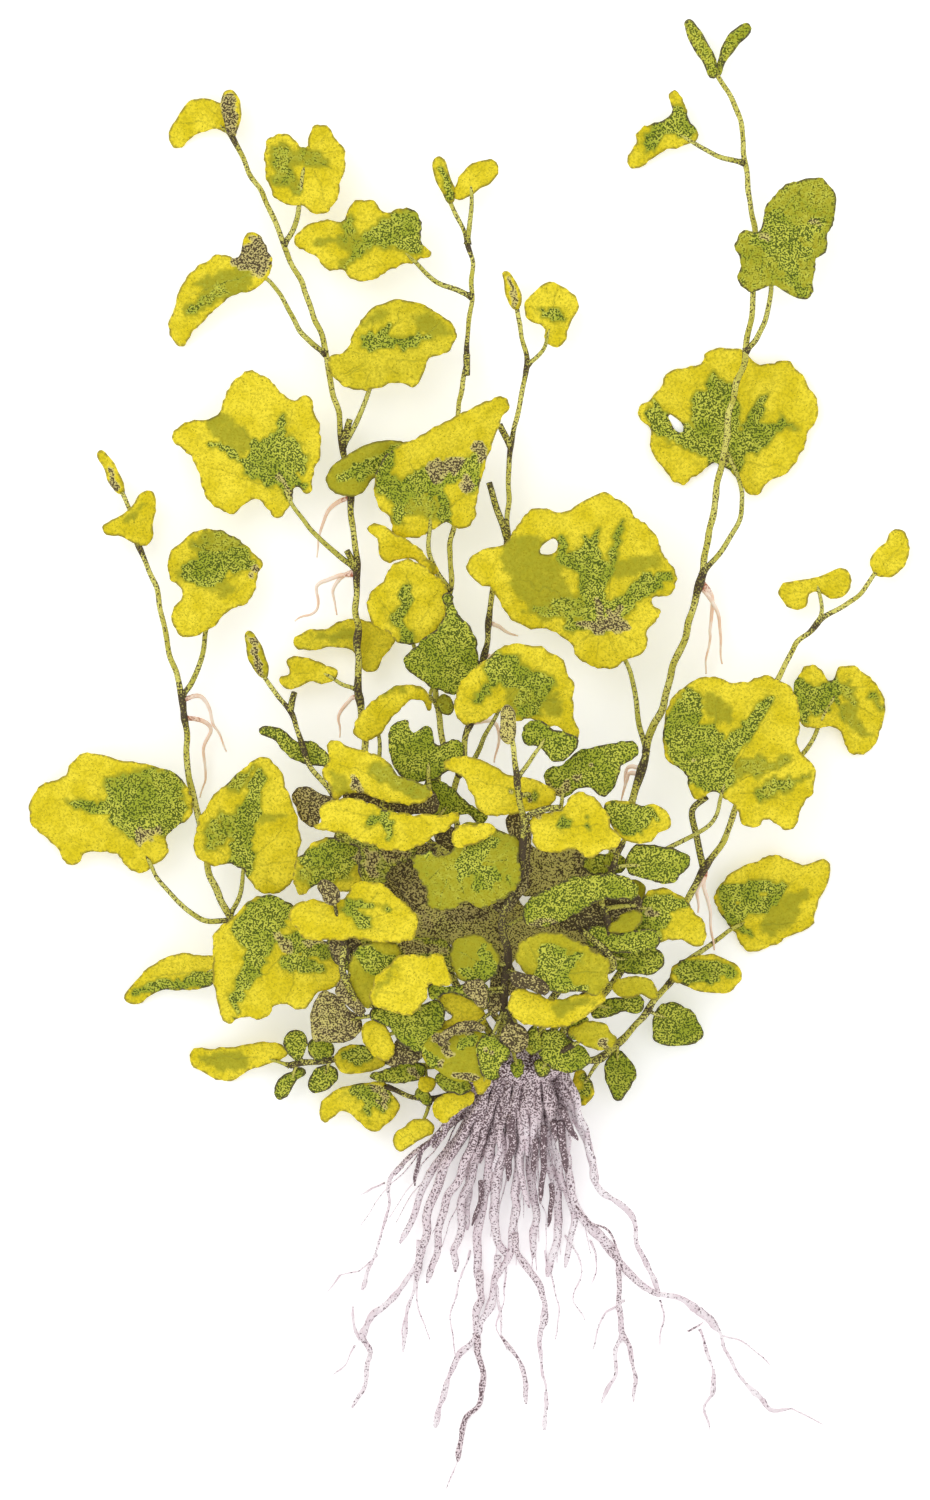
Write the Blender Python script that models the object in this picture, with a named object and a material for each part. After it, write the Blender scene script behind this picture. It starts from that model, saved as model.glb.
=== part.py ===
# Japanese cress, pulled up with its roots and laid on a flat surface.
# The plant lies along Y with its shoot tips at +Y and its roots at -Y, and is seen from above, from +Z.
# The lists below are in millimetres: across (X), along the plant (Y) and, where given, up from the surface (Z).
# They count from a place near the plant's middle, which is moved to the exact middle when a shape is made.

import math

import bpy
import bmesh
from mathutils import Vector

MM = 0.001
MIDDLE_OF_PLANT = (0.75, -1.32, 0.0)
GAP = 0.3
BLADE_THICKNESS = 0.5
STALK_RADIUS = 0.6
STALK_TIP_RADIUS = 0.45
STALK_GRIP = 1.4
STEM_SIDES = 5
STALK_SIDES = 4
LARGE_LEAF_CORNERS = 13
SMALL_LEAF_CORNERS = 7
ROOTLET_RADIUS = 0.45
ROOTLET_TIP_RADIUS = 0.25
WELD = 0.000002

CROWN_CENTRE = (10.5, -62.0, 13.0)
CROWN_SIZE = (10.5, 5.5, 7.5)
CROWN_SIDES = 12
CROWN_RINGS = 6

COLOURS = {
    "leaf": ((0.62, 0.55, 0.05, 1.0), 0.55),
    "green_leaf": ((0.26, 0.34, 0.05, 1.0), 0.55),
    "stem": ((0.30, 0.30, 0.07, 1.0), 0.6),
    "root": ((0.72, 0.62, 0.66, 1.0), 0.75),
    "dark_root": ((0.22, 0.14, 0.17, 1.0), 0.8),
}

for old_object in list(bpy.data.objects):
    bpy.data.objects.remove(old_object, do_unlink=True)

materials = {}
stems = {}
extras = {}


# Materials
for finish, (colour, roughness) in COLOURS.items():
    material = bpy.data.materials.new(finish)
    material.use_nodes = True
    shader = material.node_tree.nodes["Principled BSDF"]
    shader.inputs["Base Color"].default_value = colour
    shader.inputs["Roughness"].default_value = roughness
    shader.inputs["Metallic"].default_value = 0.0
    materials[finish] = material


# Closed shapes as lists of points and faces
def tube(track, first_radius, last_radius, sides):
    """A tapering round rod with flat ends along a track."""
    points = [Vector(spot) for spot in track]
    rings = []
    across = None
    for index, point in enumerate(points):
        before = points[max(index - 1, 0)]
        after = points[min(index + 1, len(points) - 1)]
        ahead = (after - before).normalized()
        if across is None:
            across = ahead.cross(Vector((0.0, 0.0, 1.0)))
            if across.length < 0.1:
                across = ahead.cross(Vector((0.0, 1.0, 0.0)))
        across = (across - ahead * across.dot(ahead)).normalized()
        other = ahead.cross(across)
        share = index / (len(points) - 1)
        radius = first_radius + (last_radius - first_radius) * share
        ring = []
        for side in range(sides):
            turn = 2.0 * math.pi * side / sides
            ring.append(point + (across * math.cos(turn) + other * math.sin(turn)) * radius)
        rings.append(ring)
    return skin(rings)


def skin(rings):
    """Joins rings of equal length one after the other and closes both ends."""
    sides = len(rings[0])
    vertices = [point for ring in rings for point in ring]
    faces = []
    for ring in range(len(rings) - 1):
        for side in range(sides):
            here = ring * sides + side
            beside = ring * sides + (side + 1) % sides
            faces.append((here, beside, beside + sides))
            faces.append((here, beside + sides, here + sides))
    last = (len(rings) - 1) * sides
    for side in range(1, sides - 1):
        faces.append((0, side + 1, side))
        faces.append((last, last + side, last + side + 1))
    return vertices, faces


def middle_of(edge):
    count = len(edge)
    return sum(spot[0] for spot in edge) / count, sum(spot[1] for spot in edge) / count


def blade_height(leaf, x, y):
    """The height of a leaf blade over the surface at a place, from its tilt, its dish and its folds."""
    dx = x - leaf["middle"][0]
    dy = y - leaf["middle"][1]
    height = leaf["level"] + leaf["lean"][0] * dx + leaf["lean"][1] * dy
    height += leaf["cup"] * (dx * dx + dy * dy)
    if leaf["fold"]:
        fold_x, fold_y, heading, left_slope, right_slope = leaf["fold"]
        turn = math.radians(heading)
        side = (y - fold_y) * math.cos(turn) - (x - fold_x) * math.sin(turn)
        height += left_slope * side if side > 0.0 else -right_slope * side
    return height


def settle(leaf):
    """Completes a leaf, and lowers one that rests on the surface until it touches it."""
    leaf["middle"] = leaf["middle"] or middle_of(leaf["edge"])
    steep = math.hypot(*leaf["lean"])
    leaf["half"] = 0.5 * leaf["thickness"] * math.sqrt(1.0 + steep * steep)
    if leaf["rests"]:
        leaf["level"] = 0.0
        leaf["level"] = -min(corner[2] for corner in blade(leaf, True)[0])


def cut_lines(leaf):
    """The lines along which a blade is folded: its midrib and a line across it."""
    middle = Vector(leaf["middle"])
    if leaf["fold"]:
        place = Vector(leaf["fold"][:2])
        turn = math.radians(leaf["fold"][2])
        along = Vector((math.cos(turn), math.sin(turn)))
    else:
        place = Vector(leaf["joint"])
        along = (middle - place).normalized()
    return (place, Vector((-along.y, along.x))), (middle, along)


def simpler(edge, corners):
    """An outline with fewer corners: those that change its area least are left out."""
    edge = list(edge)
    while len(edge) > corners:
        areas = []
        for index, spot in enumerate(edge):
            before = edge[index - 1]
            after = edge[(index + 1) % len(edge)]
            area = (before[0] - spot[0]) * (after[1] - spot[1]) - (after[0] - spot[0]) * (before[1] - spot[1])
            areas.append(abs(area))
        edge.pop(areas.index(min(areas)))
    return edge


def blade(leaf, with_cuts):
    """A thin closed leaf blade between its upper and lower face."""
    edge = simpler(leaf["edge"], LARGE_LEAF_CORNERS if with_cuts else SMALL_LEAF_CORNERS)
    area = sum(a[0] * b[1] - b[0] * a[1] for a, b in zip(edge, edge[1:] + edge[:1]))
    if area < 0.0:
        edge.reverse()
    work = bmesh.new()
    work.faces.new([work.verts.new((x, y, 0.0)) for x, y in edge])
    for place, normal in cut_lines(leaf) if with_cuts else ():
        geometry = work.verts[:] + work.edges[:] + work.faces[:]
        bmesh.ops.bisect_plane(work, geom=geometry, dist=0.05, plane_co=(*place, 0.0), plane_no=(*normal, 0.0))
    bmesh.ops.triangulate(work, faces=work.faces[:])
    work.verts.index_update()
    flat = [(corner.co.x, corner.co.y) for corner in work.verts]
    triangles = [[corner.index for corner in face.verts] for face in work.faces]
    rim = [(loop.vert.index, loop.link_loop_next.vert.index)
           for face in work.faces for loop in face.loops if loop.edge.is_boundary]
    work.free()
    count = len(flat)
    vertices = []
    for side in (1.0, -1.0):
        for x, y in flat:
            vertices.append((x, y, blade_height(leaf, x, y) + side * leaf["half"]))
    faces = []
    for first, second, third in triangles:
        faces.append((first, second, third))
        faces.append((count + third, count + second, count + first))
    for here, after in rim:
        faces.append((here, count + here, count + after))
        faces.append((here, count + after, after))
    return vertices, faces


# Objects made of joined shapes
def bare_object(name, shape):
    vertices, faces = shape
    mesh = bpy.data.meshes.new(name)
    mesh.from_pydata([(Vector(point) - Vector(MIDDLE_OF_PLANT)) * MM for point in vertices], [], faces)
    work = bmesh.new()
    work.from_mesh(mesh)
    bmesh.ops.recalc_face_normals(work, faces=work.faces)
    work.to_mesh(mesh)
    work.free()
    made = bpy.data.objects.new(name, mesh)
    bpy.context.scene.collection.objects.link(made)
    return made


def joined(name, shapes, finish):
    """Unites closed shapes that run into each other into one solid object."""
    whole = bare_object(name, shapes[0])
    for shape in shapes[1:]:
        addition = bare_object(name + "_addition", shape)
        union = whole.modifiers.new("union", "BOOLEAN")
        union.operation = "UNION"
        union.solver = "EXACT"
        union.object = addition
        graph = bpy.context.evaluated_depsgraph_get()
        grown = bpy.data.meshes.new_from_object(whole.evaluated_get(graph))
        whole.modifiers.clear()
        whole.data = grown
        bpy.data.objects.remove(addition, do_unlink=True)
    work = bmesh.new()
    work.from_mesh(whole.data)
    bmesh.ops.remove_doubles(work, verts=work.verts, dist=WELD)
    bmesh.ops.dissolve_degenerate(work, dist=WELD, edges=work.edges)
    bmesh.ops.triangulate(work, faces=work.faces)
    work.to_mesh(whole.data)
    work.free()
    whole.data.name = name
    whole.data.materials.clear()
    whole.data.materials.append(materials[finish])
    whole.data.shade_smooth()
    whole.data.set_sharp_from_angle(angle=math.radians(40.0))
    return whole


# Places on the crown and on the stems
def crown_spot(turn, rise, clearance):
    """A place on the rounded crown, by its direction round and up, moved out by a clearance."""
    turn = math.radians(turn)
    rise = math.radians(rise)
    direction = Vector((math.cos(turn) * math.cos(rise), math.sin(turn) * math.cos(rise), math.sin(rise)))
    spot = Vector([direction[axis] * CROWN_SIZE[axis] for axis in range(3)])
    outward = Vector([direction[axis] / CROWN_SIZE[axis] for axis in range(3)]).normalized()
    return tuple(spot + outward * clearance + Vector(CROWN_CENTRE))


def nearest_on(track, spot, axes):
    """The place on a track nearest to a spot, measured in the first two or in all three directions."""
    best = None
    target = Vector(spot[:axes])
    for first, second in zip(track, track[1:]):
        first = Vector(first)
        second = Vector(second)
        run = Vector((second - first)[:axes])
        share = (target - Vector(first[:axes])).dot(run) / max(run.length_squared, 1e-9)
        place = first.lerp(second, min(max(share, 0.0), 1.0))
        distance = (Vector(place[:axes]) - target).length
        if best is None or distance < best[0]:
            best = (distance, place)
    return best


def stalk_track(leaf, inside_stem):
    """The track of a leaf stalk, from within the blade to the stem, or to a clear distance from it."""
    joint = Vector(leaf["joint"])
    inward = (Vector(leaf["middle"]) - joint).normalized() * STALK_GRIP
    grip = joint + inward
    start = Vector((grip.x, grip.y, blade_height(leaf, grip.x, grip.y)))
    if leaf["stem"]:
        stem = stems[leaf["stem"]]
        foot = Vector(nearest_on(stem["track"], leaf["foot"], 2)[1])
    else:
        foot = Vector(leaf["foot"])
    spots = [start] + [Vector(spot) for spot in leaf["stalk"]] + [foot]
    lengths = [0.0]
    for one, two in zip(spots, spots[1:]):
        lengths.append(lengths[-1] + math.hypot(two[0] - one[0], two[1] - one[1]))
    track = []
    for spot, length in zip(spots, lengths):
        share = length / max(lengths[-1], 0.001)
        height = spot[2] if len(spot) == 3 else start.z + (foot.z - start.z) * share
        track.append(Vector((spot[0], spot[1], max(height, STALK_RADIUS))))
    if inside_stem or not leaf["stem"]:
        return track
    clear = stem["radius"][0] + GAP + 0.8 * STALK_RADIUS
    while len(track) > 2 and nearest_on(stem["track"], track[-2], 3)[0] < clear:
        track.pop()
    before, last = track[-2], track[-1]
    for step in range(100):
        place = last.lerp(before, step / 100.0)
        if nearest_on(stem["track"], place, 3)[0] >= clear:
            break
    track[-1] = place
    return track


# Descriptions of the pieces
def stem(name, radius, track, start=None):
    """Notes a stem. One that grows from the crown starts beside it, at a direction round and up."""
    spots = list(track)
    if start:
        spots.insert(0, crown_spot(start[0], start[1], GAP + 0.15))
    stems[name] = {"track": spots, "radius": radius}
    extras[name] = []


def leaf(edge, joint, foot, stem=None, level=0.0, lean=(0.0, 0.0), cup=0.0, fold=None, stalk=(),
         rests=False, thickness=BLADE_THICKNESS, middle=None):
    made = {"edge": edge, "joint": joint, "foot": foot, "stem": stem, "level": level, "lean": lean,
            "cup": cup, "fold": fold, "stalk": list(stalk), "rests": rests, "thickness": thickness,
            "middle": middle}
    settle(made)
    return made


def leaf_node(name, finish, **shape):
    """A leaf with its stalk as a piece of its own."""
    made = leaf(**shape)
    track = stalk_track(made, False)
    rod = tube(track, STALK_TIP_RADIUS, STALK_RADIUS, STALK_SIDES)
    joined(name, [blade(made, True), rod], finish)


def small_leaf(name, **shape):
    """A small leaf that is fused to the stem that it grows from."""
    made = leaf(stem=name, **shape)
    extras[name].append(blade(made, False))
    extras[name].append(tube(stalk_track(made, True), STALK_TIP_RADIUS, STALK_RADIUS, STALK_SIDES))


def bud(name, **shape):
    """A closed young leaf that sits on the end of a stem without a stalk."""
    made = leaf(stem=name, joint=None, foot=None, **shape)
    extras[name].append(blade(made, False))


def rootlet(name, *track):
    """A thin root that hangs from a node of a stem."""
    first = nearest_on(stems[name]["track"], track[0], 2)[1]
    spots = [tuple(first)] + list(track[1:])
    extras[name].append(tube(spots, ROOTLET_RADIUS, ROOTLET_TIP_RADIUS, STALK_SIDES))


def twig(name, *track):
    """A bare side shoot or the stub of one."""
    first = nearest_on(stems[name]["track"], track[0], 2)[1]
    spots = [tuple(first)] + list(track[1:])
    extras[name].append(tube(spots, STALK_RADIUS, STALK_TIP_RADIUS, STALK_SIDES))


# Stems that spread from the crown over the surface
stem("stem_far_left_base", (1.1, 1.0),
     [(-12, -54, 12), (-28, -45.5, 12), (-41, -37.5, 12), (-45, -35.2, 11.8)], start=(160, -8))
stem("stem_far_left", (1.0, 0.65),
     [(-46.3, -34.3, 11.6), (-51, -25, 10), (-53, -13, 8), (-55.4, -4, 7), (-56, 8, 6.5), (-59, 20, 6),
      (-61.5, 31, 5.5), (-65, 40.5, 5), (-66.5, 46, 5.5), (-68.5, 51.5, 5.5)])
stem("stem_left", (1.1, 0.7),
     [(-4, -42, 12.5), (-12, -26, 12), (-17, -11, 11), (-20, 0, 10), (-21, 10, 9), (-21.4, 22, 8),
      (-21.6, 34, 7.5), (-23, 50, 7), (-24.3, 61, 6), (-27, 74.5, 6), (-30.3, 87, 6), (-35.3, 99, 5.5),
      (-40, 110, 5.5), (-46.5, 122.5, 5)], start=(122, 0))
stem("stem_middle", (1.0, 0.6),
     [(0, -40, 13), (-4.5, -24, 12), (-5.8, -8, 11), (-4.3, 1, 10.5), (-5.8, 9.5, 10), (-4.5, 20, 9.5),
      (-3, 33, 9), (-2.6, 45, 8), (-1.9, 63, 7), (0.4, 80, 6.5), (1.3, 93, 6), (0.4, 102, 5.5),
      (-3, 109.5, 5)], start=(104, 0))
stem("stem_middle_right", (1.0, 0.65),
     [(4.3, -40, 12.5), (0.5, -25, 12), (-2.3, -10, 11), (-0.5, -1.5, 10.5), (1, 4.8, 10), (3.8, 17.5, 9),
      (5.3, 30, 8), (8, 41.5, 7.5), (8.8, 52, 7), (9.2, 61, 7), (11.3, 71, 6.5), (12, 77, 6),
      (10.4, 88, 6)], start=(85, -4))
stem("stem_right", (1.2, 0.7),
     [(20, -44, 13), (27, -27, 12), (32, -12.5, 11), (34, -8, 10.5), (36.6, 1, 9.5), (40.5, 12, 8.5),
      (44, 24, 8.5), (47, 34, 9), (49, 44.5, 9.5), (51, 56, 10), (52.6, 66, 10), (55, 75.5, 9),
      (56.8, 84, 7.5), (57.5, 96, 6), (57.6, 105, 5.5), (55.7, 118, 5), (55, 126, 5), (50, 135.5, 4.5)],
     start=(60, 0))
stem("stem_far_right", (1.1, 0.65),
     [(27, -49, 12.5), (36, -39, 12), (44, -30.5, 11), (47.6, -23.8, 10), (51, -19, 9.5), (54, -12, 9),
      (57.8, 0, 8), (62.3, 14.5, 7), (69.8, 24.7, 6), (78.5, 30.3, 5), (82, 35.5, 5)], start=(36, -4))
stem("stem_low_right", (1.05, 0.8),
     [(25.8, -61.8, 10.5), (30.5, -58.3, 9.5), (36.5, -52, 8.5), (41, -46.3, 8), (43.2, -42.8, 7.8)],
     start=(8, -12))
stem("stem_low_left", (1.0, 0.75),
     [(-8, -63, 9), (-18, -61.8, 8), (-27, -61.4, 7), (-35, -63, 6.5)], start=(181, -14))
stem("stem_bud_left", (1.0, 0.65),
     [(-7, -47, 18), (-17, -31, 17.5), (-22, -20, 16.5), (-25.8, -10, 15), (-28.8, -6.5, 14), (-32, 0, 13),
      (-34.4, 6.5, 12), (-40, 14.5, 11)], start=(143, 22))
stem("stem_bud_front", (1.2, 0.75),
     [(7.6, -50, 25), (8.5, -42, 29), (7.3, -34, 33), (8.6, -27, 35), (11.8, -20, 37), (11.4, -13.5, 39),
      (10.3, -8, 41), (10.1, -3, 42.5), (9.3, 2, 43.5)], start=(88, 42))
stem("shoot_left", (1.05, 0.75),
     [(-4, -54.5, 23), (-13, -50, 27), (-20, -45.5, 29), (-24, -39, 30), (-24.6, -35, 30)], start=(128, 40))
stem("shoot_right", (1.05, 0.75),
     [(22, -50.5, 23), (27.3, -43.5, 26), (28.8, -37, 27.5), (27.3, -30, 29), (29, -23.5, 31),
      (31.2, -18.6, 31.5)], start=(48, 36))
stem("shoot_middle", (0.95, 0.7),
     [(5.2, -29.5, 32), (0, -23.5, 30.5), (-7, -18, 30), (-14, -13, 29.5), (-17.5, -10.5, 29)])

# Stem at the far left: leaf, small leaf and bud at the tip, thin roots
bud("stem_far_left", level=5.5, lean=(-0.1, 0.15), thickness=1.5,
           edge=[(-68.2, 51.2), (-70.8, 52.8), (-72, 56), (-73.1, 59.8), (-70.9, 58.5), (-69, 55), (-68, 52.8)])
small_leaf("stem_far_left", joint=(-65.2, 41.3), foot=(-65, 40.5), level=6.5, lean=(-0.35, 0.1),
           edge=[(-65, 40.7), (-68.5, 42.6), (-72.4, 43.9), (-70, 46.3), (-67.3, 48), (-63.6, 51.7),
                 (-62.1, 50.8), (-62.2, 46), (-63.5, 40.9)])
rootlet("stem_far_left", (-55.6, 10), (-50.5, 10.5, 5), (-48.6, 7.5, 3.5))
rootlet("stem_far_left", (-55.6, 6.5), (-51.5, 2.5, 4), (-52.2, -8.5, 1.5))
leaf_node("leaf_far_left_folded", "leaf", stem="stem_far_left", foot=(-56, 10), joint=(-42, 35.5),
          level=8.5, lean=(-0.12, 0.0), fold=(-42, 35.5, 187, 0.22, 0.35), stalk=[(-48.5, 29.5), (-52, 23)],
          edge=[(-41.2, 35), (-40.6, 37.2), (-42.5, 39.7), (-46, 42.6), (-51, 44), (-54.5, 43), (-59.4, 37.8),
                (-58.6, 34.3), (-56.6, 32), (-58.5, 25.6), (-56.2, 22.8), (-50.5, 24.5), (-46.8, 28),
                (-44, 29.2), (-41.8, 32)], middle=(-49.5, 34))
leaf_node("leaf_left_outer", "leaf", stem="stem_far_left", foot=(-46.6, -34), joint=(-62.6, -22.6),
          level=6, lean=(0.22, 0.04), cup=-0.006, stalk=[(-59, -29), (-52, -33.6)], rests=True,
          fold=(-62.6, -22, 158, 0.08, 0.12),
          edge=[(-62.5, -23.2), (-65.5, -24.6), (-69.5, -20.9), (-75.5, -20.8), (-79, -23), (-81.2, -20),
                (-87.2, -13.2), (-85.3, -7.5), (-80.5, -5.3), (-77, -1), (-70, -1.8), (-64.5, -2.6),
                (-58, -4.5), (-55, -8), (-54.6, -13), (-59.2, -16.8), (-59.8, -21.5)])
leaf_node("leaf_left_inner", "leaf", stem="stem_far_left", foot=(-47, -33), joint=(-44.3, -23.4),
          level=15, lean=(0.05, 0.16), cup=0.004, stalk=[(-44.6, -28.5, 12.8)], fold=(-44.3, -24, 84, 0.1, 0.12),
          edge=[(-44.3, -24.2), (-47, -22.6), (-50.5, -22.9), (-53.4, -21), (-53.6, -15.5), (-50.5, -9.5),
                (-46.5, -5.6), (-43, -2.4), (-39.5, -1.2), (-36.8, -4.5), (-35.2, -9), (-33.2, -15),
                (-33.2, -21), (-35.5, -27.5), (-40, -28.4), (-43, -26.5)])
leaf_node("leaf_low_left_large", "leaf", stem="stem_far_left_base", foot=(-39, -38.8), joint=(-31.5, -38),
          level=19, lean=(0.18, 0.02), cup=-0.003, stalk=[(-34.5, -39.5, 17)], fold=(-31.5, -38, 218, 0.1, 0.1),
          edge=[(-31, -37), (-34.4, -31), (-38, -28.9), (-42, -29.4), (-46, -33), (-49.7, -36.5), (-50, -42),
                (-49.6, -48.5), (-47.5, -54.3), (-44.5, -53.2), (-40.5, -53.4), (-37.5, -50.8), (-32.5, -51.4),
                (-29, -48.4), (-24.8, -45.6), (-24.6, -41.2), (-27, -38.6)])
small_leaf("stem_far_left_base", joint=(-50, -44.3), foot=(-42.5, -36.7), lean=(0.3, 0.5),
           stalk=[(-46.5, -41.5)], rests=True,
           edge=[(-49.2, -41.4), (-53, -40.8), (-57, -40.5), (-61, -42), (-64.5, -44.8), (-67.8, -50.4),
                 (-60.5, -48.1), (-55, -47.8), (-51, -47.2), (-49.4, -45)])

# Tall stem at the left
bud("stem_left", level=5.5, lean=(0.0, 0.15), thickness=1.6,
           edge=[(-46.4, 122.2), (-48.2, 126), (-48.9, 129.5), (-47.3, 131.8), (-45.3, 130.5), (-44.7, 127),
                 (-45.4, 124)])
small_leaf("stem_left", joint=(-47.3, 124.8), foot=(-46.5, 122.4), lean=(0.3, 0.12), rests=True,
           edge=[(-46.4, 123.4), (-50.5, 124), (-54.5, 122.2), (-57.8, 120.3), (-59.1, 122.5), (-57, 127.4),
                 (-55, 129.4), (-52, 130.1), (-48.2, 128.9), (-46.6, 126)])
leaf_node("leaf_left_heart", "leaf", stem="stem_left", foot=(-36.2, 101), joint=(-31.8, 118.6),
          level=9, lean=(-0.12, 0.16), cup=0.006, stalk=[(-33, 109, 8.2), (-34.4, 104)],
          fold=(-31.8, 120, -72, 0.1, 0.1),
          edge=[(-32.3, 120), (-34.5, 122.5), (-37.7, 122.7), (-39.7, 120), (-39.8, 116.5), (-39.2, 112.5),
                (-37, 109.4), (-33, 108.4), (-28.8, 107), (-26.3, 108.5), (-25, 113), (-23.8, 118),
                (-25.5, 121.7), (-28.3, 124.8), (-30.8, 123.2)])
leaf_node("leaf_left_drooping", "leaf", stem="stem_left", foot=(-29.9, 85), joint=(-40.6, 95.6),
          lean=(0.36, 0.18), cup=-0.01, stalk=[(-36, 88.5)], rests=True, fold=(-40, 95, 218, -0.1, 0.1),
          edge=[(-40.2, 93), (-47.5, 90), (-51, 86.8), (-54.5, 83.4), (-57.3, 80.8), (-59.2, 84),
                (-58, 88.5), (-55.5, 94.5), (-53, 96.8), (-48.5, 98.9), (-46, 98), (-42.5, 103.2),
                (-39.3, 100), (-38.7, 96)], middle=(-48.5, 93))
leaf_node("leaf_left_round", "leaf", stem="stem_left", foot=(-24.3, 60.6), joint=(-17.5, 78.5),
          level=9, lean=(0.05, 0.14), cup=0.007, stalk=[(-18.8, 72.5, 7.4), (-21.3, 65.5)],
          fold=(-17.5, 78, 18, 0.08, 0.2),
          edge=[(-27.4, 78), (-24, 79.6), (-22.3, 83), (-20, 86.7), (-14, 89.8), (-8, 88.6), (-4, 86),
                (-1.8, 84), (-2.5, 80.3), (-5.5, 77), (-8, 72.5), (-13, 73.3), (-18, 72), (-24, 72.6),
                (-26.4, 75)])
leaf_node("leaf_left_lobed", "leaf", stem="stem_left", foot=(-22, 36), joint=(-35.2, 51.2),
          level=8, lean=(0.16, 0.05), cup=0.003, stalk=[(-34, 48.6, 9.6), (-30, 43)],
          fold=(-34.6, 50, 122, 0.08, 0.12),
          edge=[(-34.6, 49.8), (-37.5, 46.4), (-41.8, 50), (-47, 47.2), (-50.8, 49.5), (-53.6, 56),
                (-55.5, 59.5), (-58.2, 62), (-56.8, 64.8), (-49.5, 67), (-47.5, 71.5), (-43.2, 75.7),
                (-38.5, 73.2), (-35, 70), (-31.2, 70.5), (-30, 67.5), (-28.7, 62.5), (-30.2, 55),
                (-31.2, 51.5), (-33.6, 52.4)])
small_leaf("stem_left", joint=(-20.5, 21.6), foot=(-21.4, 22.4), level=4, lean=(0.05, -0.35),
           edge=[(-34.3, 21.2), (-31.5, 24), (-28, 24.3), (-24, 26), (-20, 25.6), (-18, 23.2), (-15.8, 19.5),
                 (-17.3, 16.2), (-21.5, 20.2), (-27, 19.9), (-31, 20.3)], middle=(-23.5, 22.2))
small_leaf("stem_left", joint=(-26.6, 15.3), foot=(-21.2, 12), level=5, lean=(0.15, -0.3),
           edge=[(-37, 14.4), (-35.8, 18), (-33, 18.5), (-30, 17.8), (-26.5, 17), (-25.6, 15), (-28, 13.2),
                 (-31, 13.3), (-34, 12.4)])
rootlet("stem_left", (-21.7, 35), (-28.4, 34, 5), (-29.7, 29, 3.5), (-34, 25.8, 1.5))
rootlet("stem_left", (-21.7, 36), (-26.2, 33, 5), (-25.6, 27, 3))
rootlet("stem_left", (-23, 50.5), (-27.6, 48, 4.5), (-29.6, 38.5, 2))
twig("stem_left", (-24.3, 61), (-23, 66, 7))
twig("stem_left", (-21.6, 36), (-23.6, 39.8, 8.5))

# Middle stem
bud("stem_middle", level=6, lean=(-0.1, 0.15), thickness=1.5,
           edge=[(-2.8, 109.2), (-4.8, 111.8), (-6.2, 114.5), (-6.2, 118), (-4.8, 118.5), (-3, 114.5), (-2, 111)])
small_leaf("stem_middle", joint=(0, 112), foot=(0.5, 101), level=7, lean=(0.2, 0.1), stalk=[(1.3, 110)],
           edge=[(-1.8, 110.2), (-1.6, 113.5), (1.5, 117.2), (4, 118), (6.3, 117.4), (5, 113), (2.5, 111.7)])
leaf_node("leaf_middle_long", "leaf", stem="stem_middle", foot=(1.2, 90.5), joint=(-10.3, 98.8),
          level=9, lean=(0.1, 0.14), cup=-0.004, stalk=[(-6, 93.8)], fold=(-9, 100, 174, -0.1, 0.16),
          edge=[(-9.8, 97.6), (-6.8, 98.9), (-8.5, 101), (-8.6, 106), (-11, 108), (-15.5, 107.5),
                (-18, 109.3), (-21, 109.9), (-25, 105.8), (-29.5, 105.6), (-34, 101.5), (-30.5, 98.9),
                (-28, 96.3), (-24.5, 95.7), (-22.5, 94), (-18.5, 93.8), (-15.5, 95.5)])
leaf_node("leaf_middle_folded", "green_leaf", stem="stem_middle", foot=(-3.1, 31.8), joint=(-7.5, 45),
          level=12.5, lean=(0.0, 0.06), stalk=[(-7, 40, 11.4), (-5.6, 35.8, 10.6)],
          fold=(-5, 57, 24, 0.5, -0.05),
          edge=[(8.7, 69.3), (7, 70.4), (3, 69), (-3, 66), (-10, 62), (-13.5, 60.5), (-17, 57), (-18, 52),
                (-17, 48), (-14.5, 45.5), (-13.8, 42.8), (-10, 42.2), (-7, 43.4), (-3.7, 45.2), (0, 44.2),
                (1.8, 46), (2.4, 50), (3.6, 54.5), (5, 60), (7.3, 66)], middle=(-4, 55.5))
leaf_node("leaf_middle_oval", "leaf", stem="stem_middle", foot=(-2.1, 58), joint=(-11.5, 59.5),
          level=10.2, lean=(-0.02, 0.12), cup=-0.004, stalk=[(-7, 58.6, 9.2)],
          edge=[(-27.4, 55), (-24.5, 58.3), (-20, 60.8), (-14, 61.6), (-10.5, 61), (-11, 58), (-14, 56),
                (-18.4, 54), (-20.5, 51.3), (-25.8, 51.3)])
leaf_node("leaf_middle_small", "leaf", stem="stem_middle", foot=(-3.3, 30), joint=(-6.6, 35.8),
          level=13, lean=(0.05, 0.3), stalk=[(-5.2, 33.6)],
          edge=[(-19, 44.5), (-12.5, 42.3), (-10, 41), (-8, 38.8), (-5.6, 35), (-10, 37.8), (-13, 38),
                (-15.5, 37.2), (-17.8, 42)], middle=(-12.5, 39.8))
leaf_node("leaf_middle_upright", "leaf", stem="stem_middle", foot=(-5.3, 14), joint=(-11.2, 22.6),
          level=15, lean=(-0.06, 0.2), cup=0.005, stalk=[(-8.6, 17.5, 12)], fold=(-11, 22, 95, 0.12, 0.12),
          edge=[(-19.3, 30.2), (-16.5, 33.7), (-14.5, 36.6), (-13, 37.6), (-9.5, 37.5), (-6.5, 35.5),
                (-4, 32.8), (-3.7, 28), (-5.5, 23.5), (-9, 21.3), (-11, 20.8), (-15.5, 23.3), (-18.8, 25.5)])
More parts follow.
